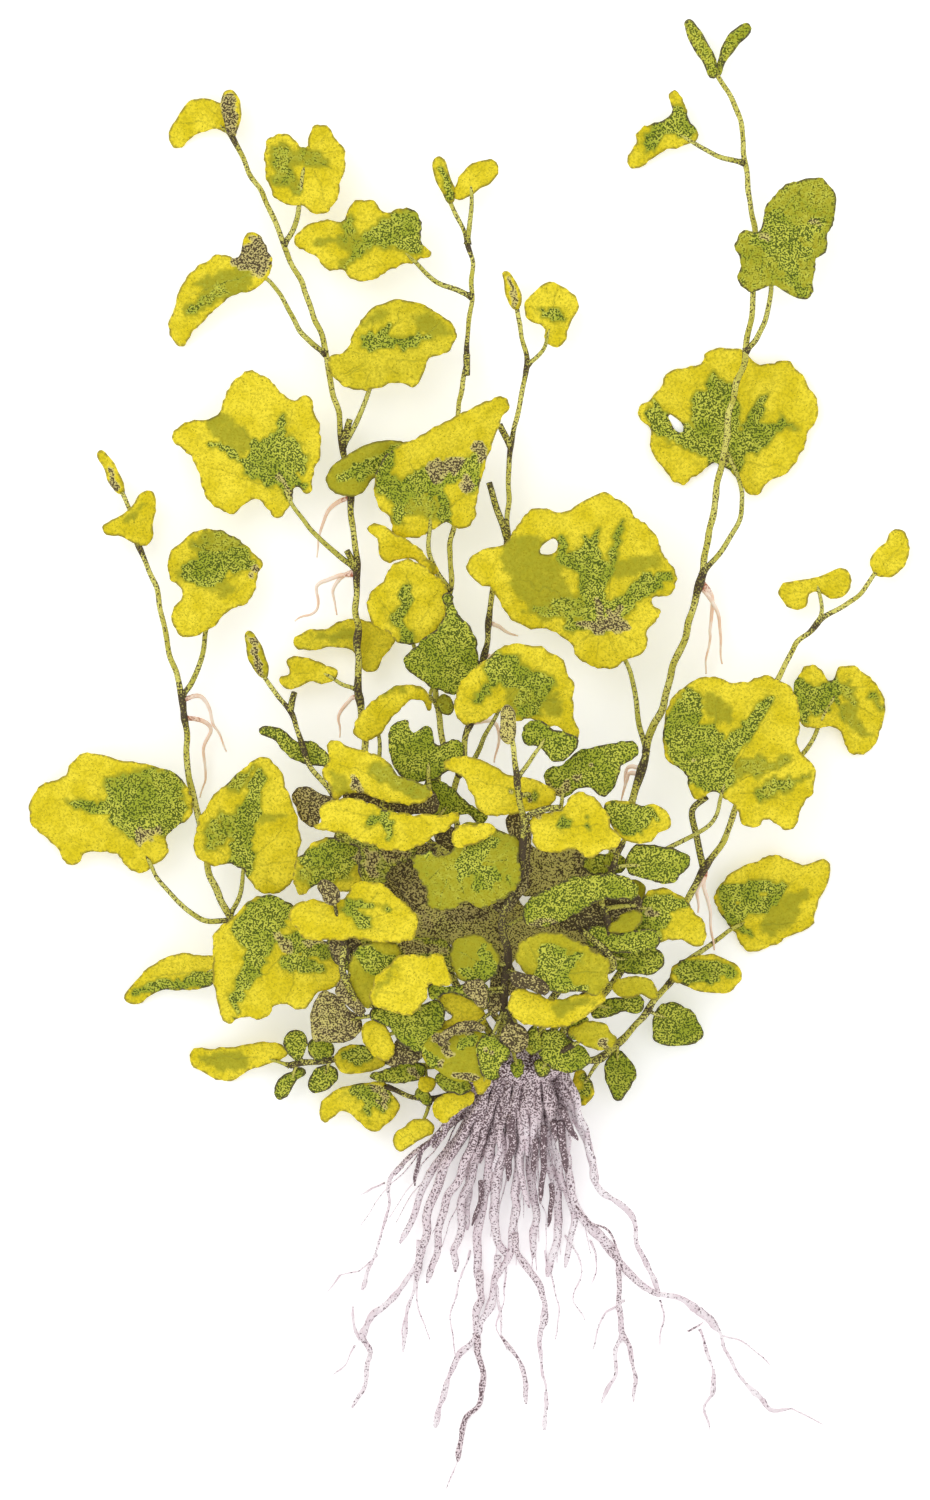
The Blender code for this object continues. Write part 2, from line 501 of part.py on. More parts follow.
leaf_node("leaf_middle_green", "green_leaf", stem="stem_middle", foot=(-5.9, 8.6), joint=(-5.6, 12.8),
          level=16.5, lean=(0.1, 0.1), cup=0.004, stalk=[(-6.8, 11.2, 13.5)],
          edge=[(-3.7, 31.3), (-1.7, 27.5), (0.8, 24.5), (2.8, 19.5), (2, 14.5), (-1.5, 11.2), (-5.6, 12),
                (-9, 14.5), (-12.5, 17.5), (-10, 20.5), (-6.5, 23.5), (-4.2, 26.5)])
twig("stem_middle", (0.5, 79), (0.4, 74.8, 7.5))

# Stem right of the middle
bud("stem_middle_right", level=6.5, lean=(0.0, 0.15), thickness=1.5,
           edge=[(10.3, 87.8), (8.4, 90), (7.8, 93), (7.8, 95.6), (10, 93.8), (11.1, 91.5), (11.2, 89)])
small_leaf("stem_middle_right", joint=(16.6, 82.2), foot=(12, 76.8), level=7.5, lean=(0.12, 0.1),
           stalk=[(15.2, 79.2)],
           edge=[(16.3, 81.3), (15.5, 84.5), (12.7, 86.2), (12, 88), (13.2, 90.6), (16.8, 93.4), (21, 91.5),
                 (22.6, 89.5), (21, 85), (19.6, 81.4), (18, 80.5)])
twig("stem_middle_right", (9, 60.5), (6.9, 65, 8))
twig("stem_middle_right", (8.1, 42), (4.8, 53.4, 9))
rootlet("stem_middle_right", (4.7, 25.5), (8.3, 23.8, 5), (10.6, 22.8, 3))
rootlet("stem_middle_right", (4, 19), (7.4, 17.5, 5), (7.4, 13, 3))

# Tall stem at the right
bud("stem_right", level=4, lean=(0.05, -0.12), thickness=1.6,
           edge=[(49.7, 134.2), (47.3, 137.6), (45.4, 140.5), (44.4, 143), (44.4, 146), (46.5, 144.6),
                 (48.5, 141), (50.2, 138)])
bud("stem_right", level=4.5, lean=(0.0, 0.1), thickness=1.0,
           edge=[(50.4, 134.6), (50.8, 138.5), (52, 141.7), (54, 144.2), (56.9, 145), (54.2, 140.3),
                 (52.2, 137.8)])
leaf_node("leaf_right_side", "leaf", stem="stem_right", foot=(55.6, 117.2), joint=(44.8, 122.9),
          lean=(0.32, 0.1), stalk=[(49, 119.5), (52, 118.2)], rests=True,
          fold=(45, 123, 208, -0.12, 0.12),
          edge=[(46.4, 122.2), (43, 120.8), (38, 118.8), (34, 116.3), (32.5, 117.5), (34.2, 121.3),
                (34.3, 123.4), (37, 124.9), (41.2, 127.3), (41.2, 131.4), (44.1, 128.8), (44.9, 126)],
          middle=(41, 123))
leaf_node("leaf_right_upper", "green_leaf", stem="stem_right", foot=(56.9, 84.5), joint=(59.2, 102),
          level=11.5, lean=(0.02, 0.08), cup=0.004, stalk=[(60.6, 95, 9.4), (60.8, 90)],
          fold=(58.5, 103, -28, 0.12, 0.16),
          edge=[(58.5, 103.3), (60, 108.4), (62.6, 111.5), (66, 113.5), (72, 113.4), (74, 106.3),
                (72.3, 102.3), (71.8, 99.2), (70, 98), (69.7, 94), (68.4, 90), (66.3, 90), (61, 92.5),
                (56.5, 91.5), (54.9, 93), (54.8, 98), (53.7, 100), (55.2, 103.2)])
leaf_node("leaf_right_round", "leaf", stem="stem_right", foot=(47.4, 34.8), joint=(52.5, 58.4),
          level=4.5, lean=(0.05, -0.02), cup=0.003, stalk=[(55.3, 52, 4.6), (54.4, 45.5, 5.6)], rests=True,
          fold=(52, 58, 90, 0.06, 0.06),
          edge=[(52.4, 56.4), (50, 57.2), (45.5, 54.5), (43, 53.2), (39.8, 55.6), (37.2, 60.5), (36.6, 64.2),
                (34.6, 68), (39, 72), (40, 75.2), (47, 77.3), (49.5, 80.2), (55, 80), (59, 76.9),
                (64.5, 77.8), (67.6, 74.4), (70.6, 68.5), (68.5, 63), (65, 56), (61, 53.5), (58, 50.8),
                (55, 53)])
leaf_node("leaf_right_largest", "leaf", stem="stem_right", foot=(36.2, -0.5), joint=(27.5, 25.2),
          level=13, lean=(0.02, 0.07), cup=0.004, stalk=[(32.8, 16.5, 11.6), (34.2, 8.5)],
          fold=(27.5, 25, 95, 0.04, 0.1),
          edge=[(0.4, 35.5), (2, 39), (8.5, 41.7), (10.5, 45), (14, 48), (20, 47.5), (27, 51.2), (30.5, 50),
                (34, 46.5), (38, 42.8), (39.3, 39), (42, 34.5), (41, 31.2), (37.5, 30), (39, 27),
                (36, 23.3), (36.3, 21), (31.5, 17.2), (27, 16.3), (23, 18), (19.3, 22.9), (11, 25),
                (7.5, 28), (5.8, 31.6)], middle=(24, 33))
rootlet("stem_right", (47, 34), (49.6, 29.5, 5.5), (48.6, 24, 4), (48.2, 15.2, 2.5))
rootlet("stem_right", (46.7, 33), (50.8, 27, 5), (51.4, 17.2, 2.5))
rootlet("stem_right", (35.4, -3.5), (32.7, -4, 8.5), (31.3, -9.5, 7))

# Stem at the far right
bud("stem_far_right", level=4.5, lean=(-0.1, -0.05),
           edge=[(81.9, 35.3), (81, 38.2), (84, 41.5), (86.7, 44.3), (88.7, 41), (88.2, 37.8), (86.5, 35.4),
                 (84, 34.6)])
small_leaf("stem_far_right", joint=(71, 31.6), foot=(70.2, 25.2), level=6.3, lean=(0.05, 0.35),
           stalk=[(71.3, 28.2)],
           edge=[(71, 31.2), (69.4, 31.6), (67.5, 28.3), (63, 30.5), (63.2, 32.7), (66, 33.9), (70.5, 34.7),
                 (76, 36), (77.1, 33.8), (75.8, 30.8), (73, 30.2)], middle=(70.5, 32.8))
twig("stem_far_right", (47.6, -23.8), (45.6, -17, 10.5), (46.3, -11.5, 11.2))
leaf_node("leaf_far_right", "leaf", stem="stem_far_right", foot=(56.6, -4), joint=(73.3, 12.6),
          lean=(-0.16, 0.12), cup=0.005, stalk=[(71, 5.5, 3), (67, -1, 3.4), (62, -4, 5)], rests=True,
          fold=(73.3, 13.8, -62, 0.1, 0.16),
          edge=[(73.3, 13.8), (70, 17), (67, 15.5), (65.4, 12), (66, 8), (68, 4.8), (71, 4.3), (74.5, 4),
                (76, 0.5), (79, -1), (82, 1.5), (83.8, 6), (83.5, 11), (81, 14.6), (77, 17), (74.5, 16.6)])
leaf_node("leaf_right_large", "leaf", stem="stem_right", foot=(29.2, -21), joint=(51, -7.8),
          level=15, lean=(0.05, 0.1), cup=0.004, stalk=[(46, -15.6, 13.2), (40.5, -19.8), (34, -22)],
          fold=(50, -9, 72, 0.1, 0.08),
          edge=[(49.4, -8.4), (46.3, -9.8), (43.8, -4.8), (40, -1.5), (39.6, 5), (42, 11.5), (48, 14.5),
                (54, 13.4), (61, 14.5), (66.5, 9), (66.2, 1.5), (69.9, -6), (67, -11.5), (64.8, -15.8),
                (60, -13.8), (56.8, -15.4), (53.5, -11)])

# Low stem at the right, with small leaves near the surface
leaf_node("leaf_low_right_outer", "leaf", stem="stem_low_right", foot=(43.2, -42.8), joint=(54.6, -35.6),
          lean=(-0.12, 0.1), cup=0.004, stalk=[(50, -37.8), (47, -40.4)], rests=True,
          fold=(53.6, -36, 28, 0.12, 0.1),
          edge=[(53.7, -36.2), (51.5, -33.5), (50, -30.5), (50.3, -27.8), (52.5, -25.2), (58.5, -22.1),
                (62, -21), (67.5, -23), (72.4, -22.2), (73.2, -24.5), (70.4, -31), (69.3, -35), (64.5, -37.6),
                (60.5, -39.5), (56.5, -40.2), (54.8, -38.2)])
small_leaf("stem_low_right", joint=(42.2, -45), foot=(41, -46.2), level=9.5, lean=(0.0, 0.12),
           edge=[(41, -43.6), (43.5, -42), (47, -41), (51, -41.2), (55.3, -44.5), (53.5, -47.7), (49, -48.5),
                 (44, -47), (41, -45.6)])
small_leaf("stem_low_right", joint=(38.6, -52.6), foot=(36.6, -52), level=5, lean=(-0.1, 0.3),
           edge=[(38.2, -51.9), (40, -50.6), (44.8, -51.6), (46.2, -53.5), (47.6, -57), (46, -58.4),
                 (38, -58), (37.2, -56)])
small_leaf("stem_low_right", joint=(30.3, -60.4), foot=(30.5, -58.4), level=6, lean=(0.1, 0.3),
           edge=[(30.2, -59.8), (32, -60.6), (34.2, -65), (33, -67.5), (30.5, -70), (28.8, -68), (28, -65.5),
                 (28.2, -62)])
small_leaf("stem_low_right", joint=(23.8, -65.2), foot=(27, -60.8), level=9, lean=(0.1, 0.1),
           edge=[(22.6, -64), (24.5, -65), (25.7, -67.5), (24.8, -70), (23.6, -71), (21, -69.2), (21.3, -66.8)])

# Low stem at the left, with small leaves near the surface
small_leaf("stem_low_left", joint=(-37.6, -61.6), foot=(-35, -63), lean=(0.25, 0.45), rests=True,
           edge=[(-36.4, -61.6), (-35.6, -60), (-39, -58.2), (-43, -58.8), (-49, -59.6), (-55, -61),
                 (-51.5, -65), (-46.8, -66.2), (-42, -63.5)])
small_leaf("stem_low_left", joint=(-32.8, -61.4), foot=(-32.5, -62.4), level=9.3, lean=(0.0, 0.15),
           edge=[(-35.6, -56.4), (-33, -56), (-31.6, -58), (-32.1, -60.6), (-33.4, -62), (-35.2, -61)])
small_leaf("stem_low_left", joint=(-29.6, -60.9), foot=(-29, -61.7), level=9.2, lean=(0.0, -0.1),
           edge=[(-31.2, -58.3), (-29, -57.6), (-26.1, -59.4), (-27.2, -61.2), (-30.8, -61.4)])
small_leaf("stem_low_left", joint=(-33.2, -64.4), foot=(-33.6, -62.8), level=5, lean=(0.1, 0.1),
           edge=[(-32, -63.9), (-35.5, -64.5), (-38, -67), (-37.8, -69.3), (-36.3, -69.6), (-34, -66.5)])
small_leaf("stem_low_left", joint=(-27.6, -63.4), foot=(-27, -61.6), level=6, lean=(0.0, 0.1),
           edge=[(-26.5, -62.9), (-29.5, -63.5), (-31.3, -66), (-31, -68), (-29.5, -68.5), (-26.5, -67),
                 (-25.2, -65)])
small_leaf("stem_low_left", joint=(-17, -62.9), foot=(-16, -62), level=9.6, lean=(-0.05, 0.12),
           edge=[(-26, -61), (-24.5, -59), (-22, -58.5), (-18.5, -60.3), (-16, -62.3), (-18, -63.8),
                 (-22, -64.6), (-25, -63.8)])
stem("shoot_low_left", (0.9, 0.7), [(4, -64.5, 12), (-3, -68.8, 10.5), (-9, -69.5, 8.5), (-15.6, -67.2, 7)])
small_leaf("shoot_low_left", joint=(-16.6, -67.4), foot=(-15.6, -67.2), level=5.5, lean=(0.1, 0.28),
           fold=(-16, -67, 205, 0.12, 0.1),
           edge=[(-15.6, -66.6), (-19, -66.2), (-23, -67), (-26.5, -68.2), (-29.2, -72.2), (-28, -74.5),
                 (-25.5, -72.6), (-23.5, -72.3), (-21, -74.5), (-18, -76.3), (-16, -75), (-13, -71.6),
                 (-14.4, -69)], middle=(-19, -70.2))
small_leaf("shoot_low_left", joint=(-7.2, -75), foot=(-6.8, -72.3), level=9.5, lean=(0.15, 0.2),
           edge=[(-14.2, -77), (-12, -75), (-9.5, -73.5), (-7, -74), (-6.3, -76), (-8, -77.5), (-10.5, -78.8),
                 (-13, -80.2)])
small_leaf("shoot_low_left", joint=(-4.6, -70.6), foot=(-4.2, -69), level=14.5, lean=(0.35, 0.1),
           edge=[(-6.2, -70.5), (-5, -69), (-2, -68.2), (1.5, -68), (2, -69.8), (0, -71.5), (-2.5, -73),
                 (-4.5, -74.2), (-6.3, -73)])

# Budded stem at the left of the dense middle
bud("stem_bud_left", level=11, lean=(0.0, 0.1), thickness=1.5,
           edge=[(-39.8, 14.3), (-42.6, 17), (-43.6, 20.5), (-43.3, 23.7), (-41.3, 22), (-39.8, 18.5),
                 (-39.2, 15.5)])
small_leaf("stem_bud_left", joint=(-34.4, 0.2), foot=(-32.2, 0.4), level=11.4, lean=(0.02, -0.3),
           edge=[(-41, 4.2), (-37, 4.2), (-33.5, 1.7), (-30.8, 1.8), (-28.5, 0.3), (-27.3, -3.2),
                 (-29.5, -3.3), (-33, -2.4), (-36, -0.6), (-38.5, 2.2)], middle=(-33, -0.2))
small_leaf("stem_bud_left", joint=(-26.6, -10.4), foot=(-26, -10), level=14.5, lean=(0.15, 0.2),
           edge=[(-34.5, -9), (-33, -7.5), (-31, -7.3), (-29.5, -8.3), (-25.8, -10), (-28, -11.5),
                 (-28.6, -13.5), (-30, -15.5), (-32.5, -14), (-33.5, -11.5)])
leaf_node("leaf_left_green_upper", "green_leaf", stem="stem_bud_left", foot=(-20.4, -24), joint=(-20.6, -22.6),
          level=22, lean=(0.12, -0.05), cup=-0.004, stalk=[],
          edge=[(-34, -23), (-32, -20), (-29, -17.9), (-25, -17.3), (-21, -18.6), (-18.2, -20.4),
                (-19, -23.5), (-20, -25.6), (-24.3, -28.3), (-29, -26.6), (-33, -28.7), (-34, -26.5)])
twig("stem_bud_left", (-34.6, 8), (-34, 11.5, 13))

# Leaves of the dense middle, from the left to the right
leaf_node("leaf_dense_left_bright", "leaf", stem="shoot_left", foot=(-24.6, -36.4), joint=(-21.4, -34.6),
          level=32, lean=(0.02, 0.05), cup=-0.004, stalk=[], fold=(-22, -34, 30, 0.05, 0.1),
          edge=[(-34.7, -33), (-34, -31), (-30, -29.8), (-26, -29.9), (-24, -29.3), (-22.5, -27.2),
                (-20, -26), (-17, -26.5), (-13.5, -29), (-10.5, -31.5), (-9.7, -34), (-10, -37),
                (-12, -38.3), (-18, -37.9), (-24, -37.7), (-28, -38), (-32, -37.2)])
leaf_node("leaf_dense_left_wide", "leaf", stem="shoot_middle", foot=(-11, -15.2), joint=(-14.8, -13.6),
          level=34, lean=(0.04, -0.1), cup=-0.003, stalk=[], fold=(-15.5, -12.5, -92, 0.06, 0.06),
          edge=[(-28.5, -14), (-28.6, -11.5), (-25, -9.9), (-20, -10), (-16, -11.5), (-12, -12.6),
                (-6, -12.8), (-1, -13), (-2.5, -15), (-6.5, -17), (-10, -19.5), (-14.5, -20), (-20, -18.2),
                (-23, -17.2), (-27, -16.3), (-30, -15.2)], middle=(-15.5, -15))
leaf_node("leaf_dense_left_olive", "leaf", stem="shoot_middle", foot=(-16.5, -11), joint=(-14, -7.6),
          level=33, lean=(0.02, 0.14), cup=-0.003, stalk=[],
          edge=[(-27.3, 1.6), (-26, 2.1), (-23, 0.8), (-20, 0), (-17.5, -0.8), (-15, -2.5), (-13.3, -5),
                (-9.2, -6.9), (-8, -9), (-14.5, -8.9), (-19, -8.8), (-23.5, -8.8), (-25.8, -9.6),
                (-26.8, -7.5), (-28.3, -4.5), (-27.2, -2)])
leaf_node("leaf_dense_arched", "leaf", stem="stem_left", foot=(-18, -6.5), joint=(-18.6, 3.8),
          level=20, lean=(-0.02, 0.1), cup=-0.008, stalk=[(-17.2, -1, 16)],
          edge=[(-22.3, 5), (-21.5, 2.5), (-18.5, 2.2), (-15.6, 4.6), (-13.5, 7.5), (-11, 9.5), (-8.6, 9.9),
                (-7.2, 7.6), (-6.6, 9.2), (-7.2, 10.7), (-9, 12.5), (-12.5, 13), (-15, 12), (-18.5, 9.5),
                (-21, 7.2)], middle=(-15.5, 9))
leaf_node("leaf_dense_left_green", "green_leaf", stem="shoot_middle", foot=(-9, -16.6), joint=(-6.8, -4.2),
          level=25, lean=(0.02, 0.08), cup=0.004, stalk=[(-7.2, -9.5, 26.5)],
          edge=[(-15.3, 3), (-12, 5.9), (-10.2, 3.6), (-7.5, 4.6), (-5.3, 1.2), (-3.5, 2), (-1.2, 2),
                (-0.6, -3.4), (-4, -4.3), (-5.5, -5.8), (-9.5, -6.3), (-12.5, -5.5), (-14.8, -1)])
leaf_node("leaf_dense_centre_top", "leaf", stem="stem_middle_right", foot=(-1.4, -5), joint=(6, 7.8),
          level=27, lean=(0.03, 0.14), cup=-0.004, stalk=[(4.2, 3, 20), (1.8, -1.8, 14)],
          fold=(6, 8, 62, 0.06, 0.06),
          edge=[(-1.5, 12), (-1.8, 7.5), (0.3, 5), (3.5, 5.8), (5.5, 7.2), (8, 7.8), (10.5, 5.6), (12.5, 6.4),
                (15, 5), (19, 4.2), (22.4, 2.4), (21.5, 6.5), (21.7, 11), (20.5, 15.5), (17.5, 19.3),
                (12.5, 21), (8, 20.5), (4, 17.8), (0.5, 15)], middle=(10.5, 12.5))
bud("stem_bud_front", level=43.5, lean=(0.0, 0.05), thickness=1.5,
           edge=[(9, 1.2), (7.1, 2.2), (7, 5), (7.9, 9), (9.4, 8.4), (10.1, 6), (10.1, 3)])
small_leaf("stem_bud_front", joint=(14.2, 1.6), foot=(10.3, -5.6), level=38.5, lean=(0.0, 0.1),
           stalk=[(13.4, -1.6)],
           edge=[(11, 3), (12.2, 5.2), (14.5, 6), (17, 4.5), (20, 3.6), (22.4, 1.8), (18.2, -2.4),
                 (16, -0.8), (14.3, 0.8), (12.3, 1.1)])
leaf_node("leaf_dense_centre_wide", "leaf", stem="stem_bud_front", foot=(10.4, -8.8), joint=(13.6, -8.8),
          level=35.5, lean=(0.02, 0.08), cup=-0.002, stalk=[(12.9, -9, 38.4)],
          edge=[(-4.2, -3), (0, -1.4), (3.5, -2), (9.5, -5), (14, -5.8), (18.3, -9.4), (16, -11.3),
                (11, -12.6), (5.5, -13), (2.8, -12), (0.5, -7), (-1.5, -4.8)], middle=(8, -7.5))
small_leaf("shoot_middle", joint=(-4.6, -12.6), foot=(-8.5, -17), level=23, lean=(0.02, 0.2),
           edge=[(-7.8, -6.2), (-5, -6), (-2, -8), (0.5, -10.5), (3, -12), (4.4, -12.9), (3.5, -14.6),
                 (0.5, -12.9), (-6, -13.4), (-7.6, -9.5)], middle=(-3, -10.5))
leaf_node("leaf_dense_centre_olive", "green_leaf", stem="shoot_middle", foot=(1, -24.6), joint=(-2.4, -21.8),
          level=35, lean=(0.04, 0.06), cup=-0.003, stalk=[],
          edge=[(-10, -21), (-9, -25.5), (-7.5, -29), (-4.5, -31.5), (-1, -30.3), (3, -30.4), (5.2, -29),
                (6.2, -24.5), (8.6, -20.5), (8.8, -16.2), (6.5, -16.2), (3.5, -14.8), (-1.2, -16.5),
                (-1.5, -19.5), (-4.5, -20.7), (-7.5, -20.2)], middle=(0, -23.5))
leaf_node("leaf_dense_right_green", "green_leaf", stem="stem_bud_front", foot=(11.4, -14), joint=(18.2, -8.2),
          level=33, lean=(-0.04, 0.1), cup=0.002, stalk=[(18.8, -11.5, 34), (15, -14.6, 36.6)],
          edge=[(34, 1.6), (30, 1.5), (25, 0.5), (22, -0.5), (19.5, -2.8), (17.5, -3.3), (15.6, -5.2),
                (16.2, -7.5), (18.5, -9.2), (20.5, -9), (24, -7.6), (27.2, -9.2), (28.8, -8.4), (30.2, -5),
                (31, -3.2), (34, -0.8)], middle=(23.5, -4))
leaf_node("leaf_dense_right_bright", "leaf", stem="stem_bud_front", foot=(11.6, -16), joint=(15.4, -15.4),
          level=39.5, lean=(-0.06, 0.02), cup=-0.003, stalk=[],
          edge=[(13.2, -16.5), (13.4, -13.4), (17, -12.2), (19.5, -11.2), (21, -9), (23.5, -8.4),
                (26, -9.7), (27.8, -12), (29, -15), (30.8, -17.5), (29.5, -19.5), (27, -20.3), (24, -21.2),
                (22, -19.8), (18.5, -20.6), (15, -19.8), (13.4, -18.6)])
small_leaf("shoot_right", joint=(31.6, -17.2), foot=(31.2, -18.7), level=32.5, lean=(-0.1, 0.1),
           edge=[(27.6, -11), (29.5, -10), (32, -10.1), (35, -11), (38, -11), (41, -14.8), (38.5, -16.5),
                 (36.5, -18.4), (33, -18.4), (31, -17.6), (29.2, -15)], middle=(33.5, -14.5))
small_leaf("shoot_right", joint=(33.4, -23), foot=(29.1, -23.3), level=29, lean=(-0.15, 0.1),
           edge=[(33, -19.4), (36, -18.8), (40, -19.2), (43, -20.3), (44.8, -22.3), (42.8, -24.6),
                 (41.5, -26.2), (38.5, -26.4), (35.5, -25.5), (32, -24)])
leaf_node("leaf_dense_right_long", "green_leaf", stem="stem_bud_front", foot=(7.6, -35.6), joint=(13.4, -32.2),
          level=29, lean=(-0.03, 0.06), cup=-0.002, stalk=[(11, -33.4, 31)],
          edge=[(11.4, -33.3), (11.8, -31), (14, -28.7), (17.5, -27), (20, -25.8), (24, -25.4), (26, -26.5),
                (25.8, -30.2), (25, -31.2), (21, -33), (17, -34.5), (13, -35)])
leaf_node("leaf_dense_far_right", "green_leaf", stem="shoot_right", foot=(27.6, -31.5), joint=(35.6, -30.4),
          level=25, lean=(-0.1, 0.06), cup=-0.003, stalk=[(31.5, -31, 27.5)],
          edge=[(29.8, -35.9), (31.5, -33.6), (34.5, -31.5), (35.5, -28.8), (38.5, -27.3), (43, -29),
                (46, -32.5), (48, -36), (46.7, -38.8), (43, -37.7), (38, -38.4), (33.5, -37.5)])
small_leaf("shoot_right", joint=(33, -33.2), foot=(28, -34.2), level=20, lean=(-0.1, 0.1),
           edge=[(31, -26.4), (34.8, -26), (36, -28.3), (34, -31), (31.2, -32.6), (30.6, -29.5)])
small_leaf("shoot_right", joint=(30.6, -42.2), foot=(28, -41), level=23, lean=(-0.1, 0.05),
           edge=[(29.6, -38.6), (31, -36.8), (35, -36.6), (37, -38.5), (39.5, -41), (39, -43), (37, -44.7),
                 (33, -44.5), (30.2, -43.6)])
small_leaf("shoot_right", joint=(30.6, -46.4), foot=(25.9, -45.3), level=28, lean=(-0.05, 0.05),
           edge=[(29.6, -46.4), (31, -45.4), (34, -44.9), (37, -45.7), (38.2, -48), (37.8, -49.4), (35, -48.7),
                 (32, -49.2), (29.9, -48.3)])
small_leaf("shoot_right", joint=(27.4, -51.6), foot=(22.6, -49.8), level=20, lean=(0.0, 0.1),
           edge=[(26, -51), (28, -49.5), (31, -49.3), (35.5, -49.5), (35, -52), (31, -52.3), (28, -53.5),
                 (26, -53)])
small_leaf("shoot_left", joint=(-19.6, -47.6), foot=(-19, -46.2), level=30.5, lean=(0.05, 0.1),
           edge=[(-24.3, -44.5), (-23, -41), (-20.5, -38.9), (-13, -39.2), (-14, -42.5), (-17.5, -46),
                 (-19.5, -50.5), (-21, -52), (-24.5, -48.5)], middle=(-19.5, -44))
small_leaf("shoot_left", joint=(-21.2, -54), foot=(-12.5, -50.2), level=23, lean=(0.1, 0.0),
           stalk=[(-16, -52)],
           edge=[(-28.5, -48), (-30, -50), (-30.8, -54), (-30, -57.5), (-27.5, -58.2), (-22.5, -57.5),
                 (-20.4, -54), (-23, -51.5), (-26, -48.5)])
small_leaf("shoot_left", joint=(-15.4, -56.5), foot=(-7, -53), level=25, lean=(0.05, 0.05),
           edge=[(-20.5, -54.7), (-18.5, -53.6), (-16.5, -54), (-15.2, -56), (-14, -59.8), (-14.8, -61.6),
                 (-17, -61.5), (-19, -60), (-20.6, -57.5)])
leaf_node("leaf_dense_low_bright", "leaf", stem="shoot_left", foot=(-8.6, -52.2), joint=(-8.6, -48.2),
          level=34.5, lean=(0.04, 0.08), cup=-0.004, stalk=[],
          edge=[(-18.8, -50), (-18.5, -47), (-15, -42.5), (-11.5, -40.4), (-7.5, -40.8), (-4.6, -40.6),
                (-3.6, -43.5), (-2.6, -45.8), (-5, -46.8), (-7, -46.7), (-8, -49.5), (-10.5, -52.3),
                (-13.5, -52.4), (-16, -51.3)], middle=(-11.5, -46.3))
small_leaf("stem_bud_front", joint=(5.6, -43.6), foot=(8.4, -42.4), level=30.5, lean=(0.05, 0.1),
           edge=[(-3, -40), (-1.5, -37.3), (1, -36.5), (4, -37.5), (6.2, -39.5), (6.8, -42.5), (4.5, -47),
                 (1.5, -48), (-1, -46.5), (-2.5, -43.5)])
small_leaf("stem_bud_front", joint=(3, -52.5), foot=(7.5, -50.2), level=25.5, lean=(0.05, 0.05),
           edge=[(-6.5, -55), (-4, -54), (-2.5, -52.5), (-4.8, -50.5), (-4.5, -48.6), (-2, -48.3),
                 (1, -49.5), (4, -52.5), (3.5, -55), (0, -54.4)], middle=(-0.5, -52))
leaf_node("leaf_dense_low_right", "leaf", stem="stem_bud_front", foot=(8.3, -43.6), joint=(16, -45.6),
          level=34, lean=(0.0, 0.08), cup=-0.003, stalk=[(12.5, -45, 32)], fold=(17, -47, 88, 0.05, 0.05),
          edge=[(17, -47.8), (12, -44.5), (9.9, -41.5), (10.6, -38.5), (13.5, -36.7), (18, -36.2),
                (21.5, -37.5), (25, -39.6), (28.3, -41.5), (28.6, -44.5), (27, -48.2), (22.5, -48)])
leaf_node("leaf_dense_low_yellow", "leaf", stem="stem_bud_front", foot=(7.7, -51.3), joint=(11, -51),
          level=31, lean=(0.0, 0.12), cup=-0.003, stalk=[],
          edge=[(8.6, -50), (9.2, -48.4), (11, -47.2), (13.5, -48), (17, -49.2), (21, -49.7), (26, -49.5),
                (27.3, -49), (25.5, -52), (22.5, -53.5), (19.5, -54.8), (15, -54.8), (11, -54), (9, -52.5)])

# Small leaves close over the crown
stem("shoot_crown", (0.9, 0.7), [(8, -60.5, 17), (5, -60.8, 23.5), (1.5, -60.6, 26.5)])
small_leaf("shoot_crown", joint=(1.6, -61.4), foot=(1.6, -60.6), level=27, lean=(0.0, 0.05),
           edge=[(-7, -57), (0, -55.6), (5, -57), (7.4, -60), (5, -64), (0, -66), (-5, -64), (-8.4, -61)])
small_leaf("shoot_crown", joint=(-5.6, -59.2), foot=(2.6, -60.7), level=23.5, lean=(0.05, 0.05),
           edge=[(-14, -54), (-10, -53.4), (-6.5, -54.6), (-5, -57.5), (-5, -60.5), (-9, -60.6), (-12.5, -58)])
stem("shoot_crown_right", (0.9, 0.7), [(14, -61.5, 17), (18, -60.5, 22.5), (21.5, -58.6, 25)])
small_leaf("shoot_crown_right", joint=(18.6, -61), foot=(18, -60.5), level=23.8, lean=(0.0, 0.08),
           edge=[(14.6, -57), (16, -55.6), (19.5, -56), (21.4, -58), (24.6, -60), (24, -63), (20, -64),
                 (16, -62.4)])
small_leaf("shoot_crown_right", joint=(22.6, -57.6), foot=(21.4, -58.6), level=26.5, lean=(0.0, 0.08),
           edge=[(20.6, -55.8), (23, -54.4), (27, -53.9), (29.2, -56), (30.3, -57.6), (27.8, -59.5),
                 (24.5, -58.9), (21.6, -57.3)])

